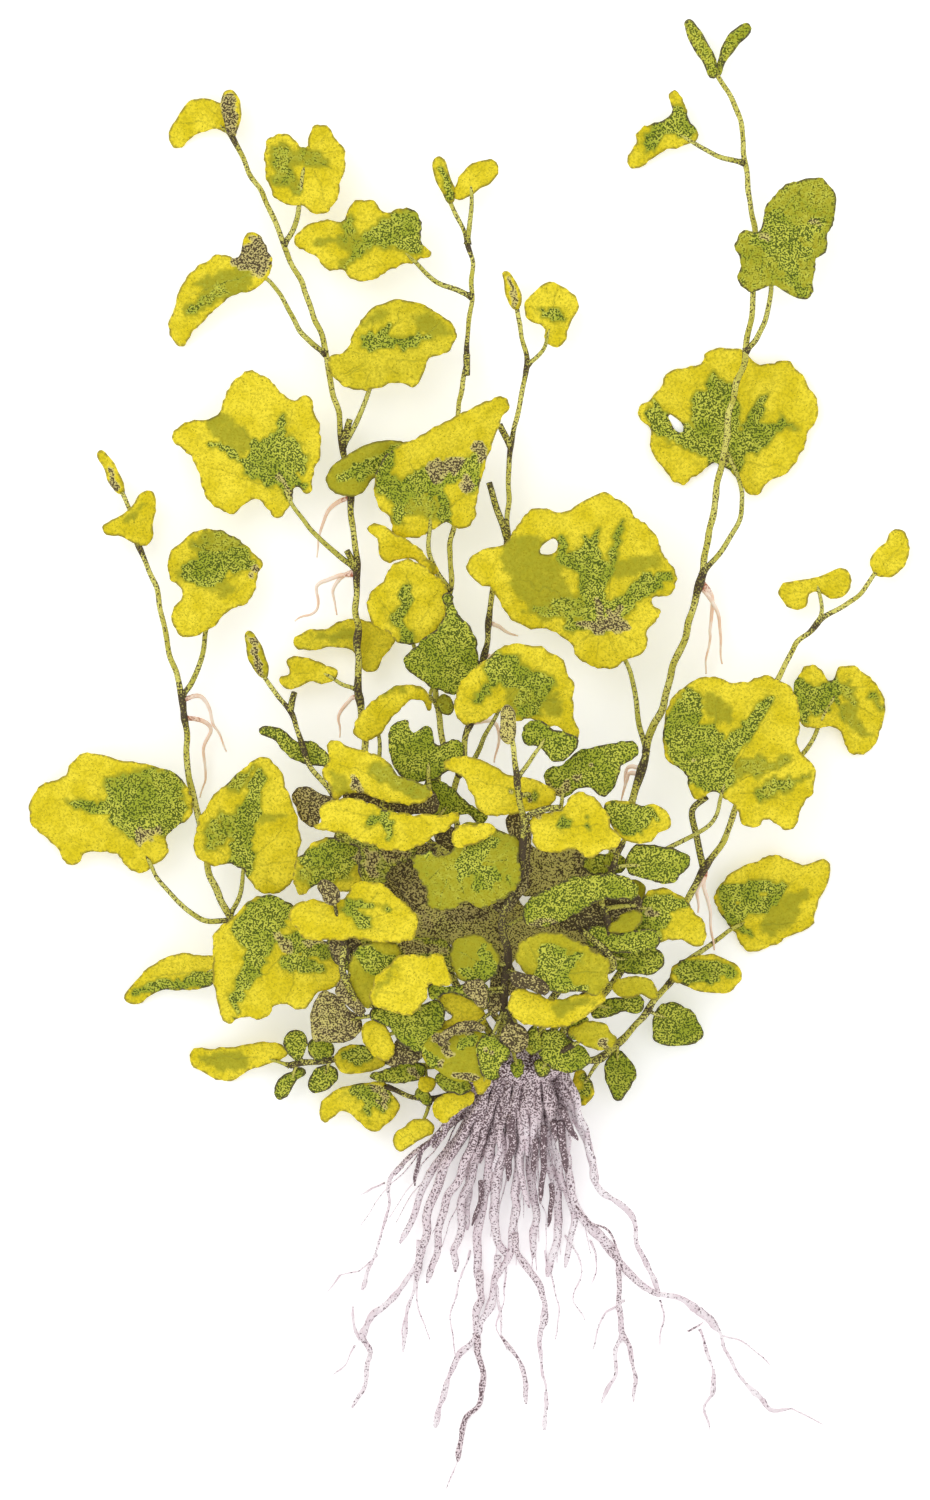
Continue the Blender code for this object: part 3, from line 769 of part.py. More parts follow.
# Leaves in the shade under the stems, close to the surface
small_leaf("stem_left", joint=(-10.5, -27), foot=(-11.6, -27), level=5, lean=(0.05, 0.0), stalk=[(-11.2, -28.2, 8.5)],
           edge=[(-19.5, -22), (-14, -18.5), (-7, -19), (-3, -24), (-3, -32), (-7, -38), (-13, -36), (-18.5, -30)])
small_leaf("stem_middle_right", joint=(3.4, -34.5), foot=(3, -34.8), level=3.5, lean=(-0.05, 0.02),
           stalk=[(3.6, -36, 8)],
           edge=[(-2, -31), (3, -27.5), (9, -28.5), (12.5, -34), (11, -41), (4.5, -44.5), (-2.5, -40)])
small_leaf("stem_right", joint=(22.4, -36), foot=(23.2, -36.3), level=4.5, lean=(0.0, 0.03),
           stalk=[(22.6, -37.6, 8.5)],
           edge=[(12.5, -21), (20, -19.5), (26, -21.5), (30, -28), (35.5, -30), (35, -34.5), (29, -38.5),
                 (21.5, -38.5), (14, -31)], middle=(23.5, -29.5))


# Build the stems with what is fused to them
CROWN_SHOOTS = ("shoot_crown", "shoot_crown_right", "shoot_low_left")
crown_shapes = []
for name, plan in stems.items():
    shapes = [tube(plan["track"], plan["radius"][0], plan["radius"][1], STEM_SIDES)] + extras[name]
    if name in CROWN_SHOOTS:
        crown_shapes.extend(shapes)
    else:
        joined(name, shapes, "stem")


# Crown, where all stems and roots meet
crown_rings = []
for ring in range(CROWN_RINGS):
    rise = math.radians(-80.0 + 160.0 * ring / (CROWN_RINGS - 1))
    spots = []
    for side in range(CROWN_SIDES):
        turn = 2.0 * math.pi * side / CROWN_SIDES
        direction = (math.cos(turn) * math.cos(rise), math.sin(turn) * math.cos(rise), math.sin(rise))
        spots.append([CROWN_CENTRE[axis] + CROWN_SIZE[axis] * direction[axis] for axis in range(3)])
    crown_rings.append(spots)
joined("crown", [skin(crown_rings)] + crown_shapes, "dark_root")


# Mat of fine roots, a flat-bottomed fan: distance along, left side, right side, lowest and highest
ROOT_MAT = [
    (-68.2, 0.5, 20.5, 5.0, 18.0),
    (-74, -4.5, 22.5, 1.5, 16.0),
    (-80, -12.5, 24.0, 0.0, 13.0),
    (-86, -13.0, 24.5, 0.0, 9.5),
    (-93, -11.0, 22.5, 0.0, 6.5),
    (-100, -8.5, 20.0, 0.0, 4.0),
    (-106, -5.0, 16.5, 0.0, 2.4),
]
MAT_SIDES = 14
FLAT_SHARE = 0.35
mat_rings = []
for along, left, right, lowest, highest in ROOT_MAT:
    spots = []
    for side in range(MAT_SIDES):
        turn = 2.0 * math.pi * side / MAT_SIDES
        across = 0.5 * (left + right) + 0.5 * (right - left) * math.cos(turn)
        tall = highest - lowest
        height = lowest + tall * FLAT_SHARE + tall * math.sin(turn) * (1.0 - FLAT_SHARE)
        spots.append((across, along, max(height, lowest)))
    mat_rings.append(spots)
joined("root_mat", [skin(mat_rings)], "root")


# Long roots that lie on the surface beyond the mat
ROOT_SIDES = 5


def root(name, *branches):
    shapes = []
    for first_radius, last_radius, track in branches:
        shapes.append(tube(track, first_radius, last_radius, ROOT_SIDES))
    joined(name, shapes, "root")


root("root_centre",
     (1.0, 0.8, [(5, -107.2, 1.2), (5.6, -111, 1), (4.2, -114, 0.95), (2.6, -117.5, 0.9), (3.6, -122, 0.9)]),
     (0.8, 0.45, [(3.3, -121, 0.9), (4, -127, 0.75), (3, -131, 0.7), (0, -134.5, 0.65), (-1.4, -142, 0.6),
                  (-4, -148.5, 0.5)]),
     (0.7, 0.5, [(2.9, -117, 0.9), (-1, -121.5, 0.75), (-4, -128, 0.65), (-6, -135.5, 0.55)]))
root("root_centre_right",
     (0.9, 0.8, [(11.5, -107.2, 1.2), (14.5, -109, 1), (16.2, -113, 0.9), (15.2, -118, 0.85)]),
     (0.7, 0.5, [(15.2, -117, 0.8), (15.6, -122, 0.75), (16.6, -128, 0.65), (16, -136, 0.55)]),
     (0.6, 0.45, [(15.6, -114, 0.8), (10.5, -121, 0.7), (12, -126.5, 0.6), (12.5, -131.5, 0.5)]))
root("root_right",
     (1.2, 1.0, [(24.2, -89.3, 3.6), (26.5, -93, 3), (29.5, -99, 1.6), (31.5, -103.2, 1.2), (36, -107, 1.1),
                 (39.5, -109.5, 1.1)]),
     (1.0, 0.8, [(38.5, -108.8, 1.1), (44, -112, 1), (50, -116, 0.95), (53, -121, 0.9), (55, -125, 0.85)]),
     (0.8, 0.45, [(54.5, -124, 0.85), (60, -130, 0.8), (63, -132, 0.6), (70.5, -134.6, 0.5)]),
     (0.6, 0.4, [(46.5, -113.8, 0.95), (48.3, -119, 0.7), (50, -124, 0.6), (49.2, -135, 0.45)]),
     (0.9, 0.7, [(24.6, -80.5, 8.5), (26.6, -87.5, 6), (30, -90.2, 4.2), (33.6, -95, 2.6), (36, -101.5, 1.6),
                 (39, -109, 1.1)]))
root("root_right_middle",
     (0.8, 0.7, [(31.2, -105.3, 0.9), (31, -112, 0.8), (31.6, -117.5, 0.8)]),
     (0.6, 0.4, [(31.5, -117, 0.8), (30.3, -122.5, 0.6), (28.3, -128.5, 0.45)]),
     (0.6, 0.4, [(31.4, -116.6, 0.8), (33.6, -121, 0.6), (33.8, -130, 0.45)]))
root("root_left",
     (0.8, 0.7, [(-9.8, -99.3, 1.2), (-13.5, -108.5, 0.85), (-18.5, -113, 0.8), (-21, -117.5, 0.75)]),
     (0.6, 0.45, [(-20.6, -116.8, 0.75), (-18.8, -121, 0.65), (-20, -126, 0.6), (-22.6, -131.8, 0.5)]),
     (0.55, 0.45, [(-12.3, -106, 0.8), (-11.4, -113, 0.6), (-12.3, -120, 0.5)]))
root("root_left_outer",
     (0.75, 0.5, [(-13.6, -87.6, 2.2), (-15.7, -93, 1.2), (-17, -100, 0.8), (-20.4, -107.5, 0.6)]))
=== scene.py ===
import math
import random

import bpy
import numpy as np
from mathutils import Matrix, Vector, noise
from mathutils.geometry import delaunay_2d_cdt, interpolate_bezier


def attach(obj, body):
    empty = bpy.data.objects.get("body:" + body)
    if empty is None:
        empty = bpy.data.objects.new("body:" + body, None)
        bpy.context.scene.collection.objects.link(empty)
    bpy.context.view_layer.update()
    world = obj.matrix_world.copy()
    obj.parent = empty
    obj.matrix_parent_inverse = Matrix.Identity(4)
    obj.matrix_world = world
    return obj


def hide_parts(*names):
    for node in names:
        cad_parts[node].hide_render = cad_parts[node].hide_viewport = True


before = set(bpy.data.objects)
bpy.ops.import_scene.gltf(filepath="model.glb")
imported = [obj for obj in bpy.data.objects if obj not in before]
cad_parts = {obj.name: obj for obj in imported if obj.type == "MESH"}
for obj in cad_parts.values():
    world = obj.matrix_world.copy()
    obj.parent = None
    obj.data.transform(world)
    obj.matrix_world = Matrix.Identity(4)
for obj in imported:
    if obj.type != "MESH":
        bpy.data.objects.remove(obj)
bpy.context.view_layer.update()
print("frame loaded:", len(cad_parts), "solids")

mm = 0.001
plantMiddle = Vector((0.75, -1.32, 0.0))   # the lists count from near this place, which is the frame's origin


def place(spot):
    return (Vector(spot) - plantMiddle) * mm


# Finishes

def tone(red, green, blue):   # a colour as it is seen on a screen, from 0 to 255
    parts = []
    for part in (red, green, blue):
        share = part / 255.0
        parts.append(share / 12.92 if share <= 0.04045 else ((share + 0.055) / 1.055) ** 2.4)
    return (*parts, 1.0)


class Wire:   # one output in a material, so that masks are written as sums
    def __init__(self, finish, socket):
        self.finish = finish
        self.socket = socket

    def maths(self, operation, *others):
        return self.finish.maths(operation, self, *others)

    def __add__(self, other):
        return self.finish.maths("ADD", self, other)

    def __sub__(self, other):
        return self.finish.maths("SUBTRACT", self, other)

    def __rsub__(self, other):
        return self.finish.maths("SUBTRACT", other, self)

    def __mul__(self, other):
        return self.finish.maths("MULTIPLY", self, other)

    def __truediv__(self, other):
        return self.finish.maths("DIVIDE", self, other)

    __radd__ = __add__
    __rmul__ = __mul__


class Finish:   # a material that is built up from nodes
    def __init__(self, name, fixed):
        self.material = bpy.data.materials.new(name)
        self.material.use_nodes = True
        self.tree = self.material.node_tree
        self.shader = self.tree.nodes["Principled BSDF"]
        for socket, value in fixed.items():
            self.shader.inputs[socket].default_value = value

    def add(self, kind, settings=None, values=None, output=0):
        node = self.tree.nodes.new(kind)
        for key, value in (settings or {}).items():
            setattr(node, key, value)
        for key, value in (values or {}).items():
            self.feed(node.inputs[key], value)
        return Wire(self, node.outputs[output])

    def maths(self, operation, *values):
        return self.add("ShaderNodeMath", {"operation": operation}, dict(enumerate(values)))

    def feed(self, socket, value):
        if isinstance(value, Wire):
            self.tree.links.new(value.socket, socket)
        else:
            socket.default_value = value

    def cloud(self, where, scale, detail=2.0, rough=0.5):
        values = {"Vector": where, "Scale": scale, "Detail": detail, "Roughness": rough}
        return self.add("ShaderNodeTexNoise", None, values)

    def rise(self, value, low, high):   # 0 below low, 1 above high, smooth between them
        values = {0: value, 1: low, 2: high, 3: 0.0, 4: 1.0}
        return self.add("ShaderNodeMapRange", {"interpolation_type": "SMOOTHSTEP"}, values)

    def mix(self, share, first, second, way="MIX"):
        settings = {"data_type": "RGBA", "blend_type": way}
        return self.add("ShaderNodeMix", settings, {0: share, 6: first, 7: second}, 2)

    def parts(self, vector):
        split = self.tree.nodes.new("ShaderNodeSeparateXYZ")
        self.feed(split.inputs[0], vector)
        return [Wire(self, socket) for socket in split.outputs]

    def attribute(self, name):
        return self.add("ShaderNodeAttribute", {"attribute_name": name}, None, "Vector")

    def bump(self, height, strength, distance):
        values = {"Height": height, "Strength": strength, "Distance": distance}
        return self.add("ShaderNodeBump", None, values)

    def wear(self, **links):
        sockets = {"colour": "Base Color", "roughness": "Roughness", "normal": "Normal"}
        for key, wire in links.items():
            self.feed(self.shader.inputs[sockets[key]], wire)
        return self.material


leafLook = {
    "lightYellow": tone(246, 226, 54), "yellow": tone(222, 202, 22), "yellowDots": tone(158, 146, 12),
    "olive": tone(158, 157, 34), "greenGround": tone(204, 206, 76), "greenShadow": tone(158, 168, 44),
    # the shade ground, the deep ground and the shade dots are the colours of painted shade
    "greenDots": tone(64, 80, 12), "shadeGround": tone(214, 202, 122), "deepShadeGround": tone(198, 184, 116),
    "shadeDots": tone(58, 44, 32), "vein": tone(140, 142, 36), "rimLine": tone(74, 62, 50),
    "cloudScale": 190.0, "grainScale": 900.0, "paperScale": 1900.0, "dotScale": 3000.0,
    "veinStep": 0.62, "veinDepth": 0.0002, "dotSoftness": 0.03, "roughness": (0.5, 0.7),
}


def makeLeafFinish(look):
    finish = Finish("leaf_blade", {"Specular IOR Level": 0.16})
    where = finish.add("ShaderNodeTexCoord", output="Object")
    along, across, rim = finish.parts(finish.attribute("plan"))
    # the paint's second channel is mostly painted shade between and under the leaves, partly dark outlines
    # and the dark colour of buds
    green, dark, _ = finish.parts(finish.attribute("paint"))
    cloud = finish.cloud(where, look["cloudScale"], 3.0, 0.6)
    grain = finish.cloud(where, look["grainScale"], 2.0)
    dots = finish.cloud(where, look["dotScale"], 1.0, 0.4)
    paper = finish.cloud(where, look["paperScale"], 2.0, 0.6)

    # palmate veins that run out from the joint
    radius = (along * along + across * across).maths("SQRT")
    turn = across.maths("ARCTAN2", along) / look["veinStep"] + cloud * 0.7 + 0.15
    beside = (turn.maths("FRACT") - 0.5).maths("ABSOLUTE") * look["veinStep"] * radius
    fade = finish.rise(radius, 0.15, 0.5) * (1.0 - finish.rise(radius, 1.1, 2.4))
    vein = (1.0 - finish.rise(beside, 0.004, 0.024)) * finish.rise(rim, 0.6, 2.5) * fade

    # the ground goes from yellow over olive to green and, where shade is painted, to brown
    level = green + (grain - 0.5) * 0.26 + vein * 0.08
    shade = dark + (grain - 0.5) * 0.3
    soft = finish.rise(level, 0.04, 0.5)
    lush = finish.rise(level, 0.48, 0.64)
    # painted shade: the blade is dotted with dark brown where it lies in shade, and turns brown where the
    # shade is deep
    paintedShadeShare = finish.rise(shade, 0.2, 0.46)
    deepPaintedShade = finish.rise(shade, 0.5, 0.85)
    ground = finish.mix(finish.rise(cloud, 0.32, 0.66), look["yellow"], look["lightYellow"])
    ground = finish.mix(soft * 0.9, ground, look["olive"])
    ground = finish.mix(finish.rise(paper, 0.42, 0.64) * 0.42, ground, look["yellowDots"])
    leafy = finish.mix(finish.rise(cloud, 0.36, 0.62), look["greenShadow"], look["greenGround"])
    ground = finish.mix(paintedShadeShare * 0.8, finish.mix(lush, ground, leafy), look["shadeGround"])
    ground = finish.mix(deepPaintedShade, ground, look["deepShadeGround"])

    # fine dots that lie closer together where the blade is green or has painted shade
    lively = soft * 0.06 + lush * (cloud * 0.16 + 0.05)
    gloomy = paintedShadeShare * (grain * 0.1 + 0.1) + deepPaintedShade * 0.06 + finish.rise(shade, 1.05, 1.18) * 0.07
    edge = 0.69 - lively.maths("MAXIMUM", gloomy)
    share = finish.rise(dots, edge - look["dotSoftness"], edge + look["dotSoftness"])
    speck = finish.mix(lush, look["yellowDots"], look["greenDots"])
    shown = finish.mix(share * 0.92, ground, finish.mix(paintedShadeShare, speck, look["shadeDots"]))

    # veins and a thin broken line along the rim
    shown = finish.mix(vein * 0.22, shown, look["vein"])
    line = (1.0 - finish.rise(rim, 0.15, 0.6)) * finish.rise(grain, 0.4, 0.54)
    shown = finish.mix(line * (lush * 0.35 + 0.55), shown, look["rimLine"])
    low, high = look["roughness"]
    normal = finish.bump(grain * 0.4 - vein, 0.5, look["veinDepth"])
    return finish.wear(colour=shown, roughness=grain * (high - low) + low, normal=normal)


stemLook = {
    "pale": tone(222, 215, 112), "ground": tone(196, 188, 76), "green": tone(140, 152, 66),
    "dots": tone(58, 46, 36), "node": tone(70, 54, 46), "dotScale": 2900.0, "cloudScale": 260.0,
    "dotSoftness": 0.03, "depth": 0.0002,
}


def makeStemFinish(look):
    finish = Finish("stem_skin", {"Specular IOR Level": 0.2})
    where = finish.add("ShaderNodeTexCoord", output="Object")
    # the first channel holds the dark knots and with them painted shade under the leaves and on shaded
    # stalks; the third gives painted shade on the sides
    knot, green, side = finish.parts(finish.attribute("paint"))
    cloud = finish.cloud(where, look["cloudScale"], 2.0)
    dots = finish.cloud(where, look["dotScale"], 1.0, 0.4)
    grain = finish.cloud(where, look["dotScale"] * 0.4, 2.0)
    ground = finish.mix(finish.rise(cloud, 0.38, 0.62), look["ground"], look["pale"])
    ground = finish.mix(green * 0.8, ground, look["green"])
    # dots lie closer at the knots and, as painted shade, on the sides that turn away from above
    edge = 0.59 - knot * 0.2 - (cloud - 0.5) * 0.2 - finish.rise(side, 0.2, 0.9) * 0.15
    share = finish.rise(dots, edge - look["dotSoftness"], edge + look["dotSoftness"])
    shown = finish.mix(share * 0.92, ground, look["dots"])
    shown = finish.mix(finish.rise(knot + (grain - 0.5) * 0.7, 0.5, 0.9) * 0.6, shown, look["node"])
    normal = finish.bump(grain + dots * 0.4, 0.5, look["depth"])
    return finish.wear(colour=shown, roughness=grain * 0.3 + 0.45, normal=normal)


rootLook = {
    "pale": tone(246, 238, 241), "ground": tone(228, 212, 218), "dots": tone(98, 72, 82),
    "darkGround": tone(228, 211, 215), "darkDots": tone(82, 58, 64), "dotScale": 2900.0, "cloudScale": 300.0,
    "dotSoftness": 0.035, "depth": 0.0002,
}


def makeRootFinish(look):
    finish = Finish("root_skin", {"Specular IOR Level": 0.15})
    where = finish.add("ShaderNodeTexCoord", output="Object")
    dark, line, _ = finish.parts(finish.attribute("paint"))
    cloud = finish.cloud(where, look["cloudScale"], 3.0, 0.6)
    dots = finish.cloud(where, look["dotScale"], 1.0, 0.4)
    ground = finish.mix(finish.rise(cloud, 0.34, 0.64), look["ground"], look["pale"])
    ground = finish.mix(finish.rise(dark + (cloud - 0.5) * 0.5, 0.2, 0.8), ground, look["darkGround"])
    # the line channel is painted shade along one side of each root, where dots lie closer
    edge = 0.66 - dark.maths("MAXIMUM", line) * 0.17
    speck = finish.mix(finish.rise(dark, 0.3, 0.8), look["dots"], look["darkDots"])
    share = finish.rise(dots, edge - look["dotSoftness"], edge + look["dotSoftness"])
    shown = finish.mix(share * 0.9, ground, speck)
    normal = finish.bump(cloud + dots * 0.5, 0.6, look["depth"])
    return finish.wear(colour=shown, roughness=dots * 0.2 + 0.6, normal=normal)


rootletLook = {
    "pale": tone(250, 232, 216), "ground": tone(243, 208, 182), "start": tone(176, 104, 76),
    "cloudScale": 330.0, "dotScale": 2000.0, "depth": 0.0002,
}


def makeRootletFinish(look):
    finish = Finish("rootlet_skin", {"Specular IOR Level": 0.15})
    where = finish.add("ShaderNodeTexCoord", output="Object")
    start, _, _ = finish.parts(finish.attribute("paint"))
    cloud = finish.cloud(where, look["cloudScale"], 2.0)
    dots = finish.cloud(where, look["dotScale"], 1.0)
    ground = finish.mix(finish.rise(cloud, 0.36, 0.64), look["ground"], look["pale"])
    shown = finish.mix(finish.rise(start + (dots - 0.5) * 1.2, 0.5, 0.9), ground, look["start"])
    normal = finish.bump(dots, 0.4, look["depth"])
    return finish.wear(colour=shown, roughness=cloud * 0.2 + 0.55, normal=normal)


crownLook = {
    "ground": tone(232, 214, 218), "dots": tone(92, 70, 74), "cloudScale": 260.0, "dotScale": 2900.0,
    "dotSoftness": 0.04, "depth": 0.0004,
}


def makeCrownFinish(look):
    finish = Finish("crown_skin", {"Specular IOR Level": 0.15})
    where = finish.add("ShaderNodeTexCoord", output="Object")
    cloud = finish.cloud(where, look["cloudScale"], 3.0, 0.6)
    dots = finish.cloud(where, look["dotScale"], 1.0, 0.4)
    edge = 0.5 - (cloud - 0.5) * 0.3
    share = finish.rise(dots, edge - look["dotSoftness"], edge + look["dotSoftness"])
    shown = finish.mix(share, look["ground"], look["dots"])
    normal = finish.bump(cloud + dots * 0.6, 0.8, look["depth"])
    return finish.wear(colour=shown, roughness=dots * 0.2 + 0.65, normal=normal)


leafFinish = makeLeafFinish(leafLook)
stemFinish = makeStemFinish(stemLook)
rootFinish = makeRootFinish(rootLook)
rootletFinish = makeRootletFinish(rootletLook)
crownFinish = makeCrownFinish(crownLook)
print("finishes made")


# Handling of pieces

def joinPieces(name, pieces):   # one object of several, with shared points merged and faces turned outward
    bpy.ops.object.select_all(action="DESELECT")
    for piece in pieces:
        piece.select_set(True)
    bpy.context.view_layer.objects.active = pieces[0]
    if len(pieces) > 1:
        bpy.ops.object.join()
    piece = bpy.context.view_layer.objects.active
    piece.name = name
    piece.data.name = name
    bpy.ops.object.mode_set(mode="EDIT")
    bpy.ops.mesh.select_all(action="SELECT")
    bpy.ops.mesh.remove_doubles(threshold=0.000001)
    bpy.ops.mesh.normals_make_consistent(inside=False)
    bpy.ops.object.mode_set(mode="OBJECT")
    return piece


def finishPiece(piece, slot, *nodes):
    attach(piece, "root")
    if nodes:
        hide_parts(*nodes)


def setPaint(piece, values, name="paint"):
    layer = piece.data.attributes.new(name, "FLOAT_VECTOR", "POINT")
    layer.data.foreach_set("vector", np.asarray(values, np.float32).ravel())


# Rods: stems, stalks and roots drawn as curves with a round section

def rod(track, radii, finish, paint, sides=8, steps=2):
    # paint takes a share of the length, a place and a direction, and gives two numbers,
    # which are kept with a third that says how far the surface turns to the side, for painted shade on the
    # sides of stems
    bpy.ops.object.select_all(action="DESELECT")
    bpy.ops.curve.primitive_bezier_curve_add(location=(0.0, 0.0, 0.0))
    made = bpy.context.object
    curve = made.data
    curve.dimensions = "3D"
    curve.fill_mode = "FULL"
    curve.bevel_depth = mm
    curve.bevel_resolution = (sides - 4) // 2
    curve.resolution_u = steps
    curve.use_fill_caps = True
    spline = curve.splines[0]
    spline.radius_interpolation = "CARDINAL"
    spline.bezier_points.add(len(track) - 2)
    for knot, spot, radius in zip(spline.bezier_points, track, radii):
        knot.co = place(spot)
        knot.radius = radius
    for knot in spline.bezier_points:
        knot.handle_left_type = "AUTO"
        knot.handle_right_type = "AUTO"
    bpy.ops.object.convert(target="MESH")
    made = bpy.context.object
    mesh = made.data
    mesh.materials.clear()
    mesh.materials.append(finish)
    mesh.shade_smooth()
    rings = max(len(mesh.vertices) // sides - 1, 1)
    values = []
    for corner in mesh.vertices:
        share = min(corner.index // sides / rings, 1.0)
        first, second = paint(share, corner.co / mm + plantMiddle, corner.normal)
        values.append((first, second, 1.0 - abs(corner.normal.z)))
    setPaint(made, values)
    return made


def taper(first, last, count, power=1.0):
    return [first + (last - first) * (step / (count - 1)) ** power for step in range(count)]


def smoothed(track, step, wander=0.0, seed=0.0):
    # places about a step apart on a smooth line through a track, which strays a little between its ends
    spots = [Vector(spot) for spot in track]
    ahead = []
    for index in range(len(spots)):
        before, after = spots[max(index - 1, 0)], spots[min(index + 1, len(spots) - 1)]
        ahead.append((after - before).normalized())
    made = []
    for index, (here, there) in enumerate(zip(spots, spots[1:])):
        length = (there - here).length
        count = max(1, round(length / step))
        handles = (here + ahead[index] * length / 3.0, there - ahead[index + 1] * length / 3.0)
        made += interpolate_bezier(here, *handles, there, count + 1)[:-1]
    made.append(spots[-1])
    for index, spot in enumerate(made):
        free = min(1.0, index / 3.0, (len(made) - 1 - index) / 3.0) * wander
        across = noise.noise(Vector((spot.x * 0.2, spot.y * 0.2, seed)))
        along = noise.noise(Vector((spot.x * 0.2, spot.y * 0.2, seed + 40.0)))
        made[index] = spot + Vector((across, along, 0.0)) * free * 2.0
    return made


def nearestOn(track, spot, axes):
    best = None
    target = Vector(spot[:axes])
    for first, second in zip(track, track[1:]):
        first, second = Vector(first), Vector(second)
        run = Vector((second - first)[:axes])
        share = (target - Vector(first[:axes])).dot(run) / max(run.length_squared, 1e-9)
        near = first.lerp(second, min(max(share, 0.0), 1.0))
        distance = (Vector(near[:axes]) - target).length
        if best is None or distance < best[0]:
            best = (distance, near)
    return best[1]


# Leaf blades: a drawn outline filled with an even net, lifted to its height and given two faces.
# A lobed outline with folds and holes needs such a net, which no primitive or inset gives.

bladeShape = {
    "outlineStep": 0.62, "netLarge": 0.95, "netSmall": 0.8, "netRows": 0.866, "rimInset": 0.4,
    "thickness": 0.34, "rimThickness": 0.1, "rimRound": 0.7, "budThickness": 0.9,
    "rimWave": 0.42, "smallWave": 0.7, "budWave": 0.3, "smallRelief": 0.6,
    "ruffle": 1.53, "ruffleReach": 6.0, "pucker": 0.34, "veinPillow": 0.3, "clearance": 0.05,
}


def tracedOutline(edge, steps):
    bpy.ops.object.select_all(action="DESELECT")
    bpy.ops.curve.primitive_bezier_circle_add(location=(0.0, 0.0, 0.0))
    made = bpy.context.object
    made.data.dimensions = "3D"
    made.data.resolution_u = steps
    spline = made.data.splines[0]
    spline.bezier_points.add(len(edge) - 4)
    for knot, spot in zip(spline.bezier_points, edge):
        knot.co = (*spot, 0.0)
    for knot in spline.bezier_points:
        knot.handle_left_type = "AUTO"
        knot.handle_right_type = "AUTO"
    bpy.ops.object.convert(target="MESH")
    made = bpy.context.object
    outline = [(corner.co.x, corner.co.y) for corner in made.data.vertices]
    bpy.data.objects.remove(made, do_unlink=True)
    ahead = outline[1:] + outline[:1]
    area = sum(here[0] * there[1] - there[0] * here[1] for here, there in zip(outline, ahead))
    return outline if area > 0.0 else outline[::-1]


def wavyRim(outline, size, seed):
    moved = []
    for index, spot in enumerate(outline):
        before, after = outline[index - 1], outline[(index + 1) % len(outline)]
        outward = Vector((after[1] - before[1], before[0] - after[0])).normalized()
        wide = noise.noise(Vector((spot[0] * 0.42, spot[1] * 0.42, seed)))
        fine = noise.noise(Vector((spot[0] * 1.1, spot[1] * 1.1, seed + 5.0)))
        push = size * (1.3 * wide + 0.7 * fine)
        moved.append((spot[0] + outward.x * push, spot[1] + outward.y * push))
    return moved


def rimDistance(spots, loops):   # distance of each spot to the nearest outline, and whether it is inside
    spots = np.asarray(spots, float)
    nearest = np.full(len(spots), 1e9)
    inside = np.zeros(len(spots), bool)
    for loop in loops:
        start = np.asarray(loop, float)
        end = np.roll(start, -1, 0)
        run = end - start
        offset = spots[:, None] - start[None]
        share = np.clip((offset * run).sum(2) / np.maximum((run * run).sum(1), 1e-12), 0.0, 1.0)
        gap = np.linalg.norm(offset - share[..., None] * run, axis=2).min(1)
        nearest = np.minimum(nearest, gap)
        above = (start[None, :, 1] > spots[:, None, 1]) != (end[None, :, 1] > spots[:, None, 1])
        rise = np.where(np.abs(run[:, 1]) < 1e-12, 1e-12, run[:, 1])
        reach = start[:, 0] + (spots[:, None, 1] - start[:, 1]) / rise * run[:, 0]
        inside ^= (above & (spots[:, None, 0] < reach)).sum(1) % 2 == 1
    return nearest, inside


def evenNet(loops, spacing):
    spots, links = [], []
    inner = []
    for loop in loops:
        first = len(spots)
        for index, spot in enumerate(loop):
            spots.append(spot)
            links.append((first + index, first + (index + 1) % len(loop)))
            before, after = loop[index - 1], loop[(index + 1) % len(loop)]
            inward = Vector((before[1] - after[1], after[0] - before[0])).normalized()
            inward *= bladeShape["rimInset"]
            inner.append((spot[0] + inward.x, spot[1] + inward.y))
    low, high = np.min(loops[0], 0), np.max(loops[0], 0)
    grid = []
    rows = int((high[1] - low[1]) / (spacing * bladeShape["netRows"])) + 2
    for row in range(rows):
        shift = 0.5 * spacing * (row % 2)
        for column in range(int((high[0] - low[0]) / spacing) + 2):
            grid.append((low[0] + shift + column * spacing, low[1] + row * spacing * bladeShape["netRows"]))
    innerClear = 0.82 * bladeShape["rimInset"]
    gridClear = 0.45 * spacing + bladeShape["rimInset"]
    for candidates, clear in ((inner, innerClear), (grid, gridClear)):
        gap, inside = rimDistance(candidates, loops)
        spots += [spot for spot, far, within in zip(candidates, gap, inside) if within and far > clear]
    made = delaunay_2d_cdt([Vector(spot) for spot in spots], links, [], 0, 0.0001)
    corners = np.array([(corner.x, corner.y) for corner in made[0]])
    faces = np.array([face for face in made[2] if len(face) == 3])
    centres = corners[faces].mean(1)
    _, inside = rimDistance(centres, loops)
    faces = faces[inside]
    first, second, third = (corners[faces[:, side]] for side in range(3))
    one, two = second - first, third - first
    area = one[:, 0] * two[:, 1] - one[:, 1] * two[:, 0]
    faces[area < 0.0] = faces[area < 0.0][:, ::-1]
    return corners, faces


def noiseAt(spots, scale, seed):
    return np.array([noise.noise(Vector((x * scale, y * scale, seed))) for x, y in spots])


def bladeHeight(leaf, x, y):
    dx, dy = x - leaf["middle"][0], y - leaf["middle"][1]
    lean = leaf.get("lean", (0.0, 0.0))
    height = leaf.get("level", 0.0) + lean[0] * dx + lean[1] * dy + leaf.get("cup", 0.0) * (dx * dx + dy * dy)
    if "fold" in leaf:
        foldX, foldY, heading, left, right = leaf["fold"]
        turn = math.radians(heading)
        side = (y - foldY) * math.cos(turn) - (x - foldX) * math.sin(turn)
        height = height + np.where(side > 0.0, left * side, -right * side)
    return height


paintShape = {"stray": 1.0, "edge": 0.7, "taper": 0.55, "haloReach": 5.0, "halo": 0.22}


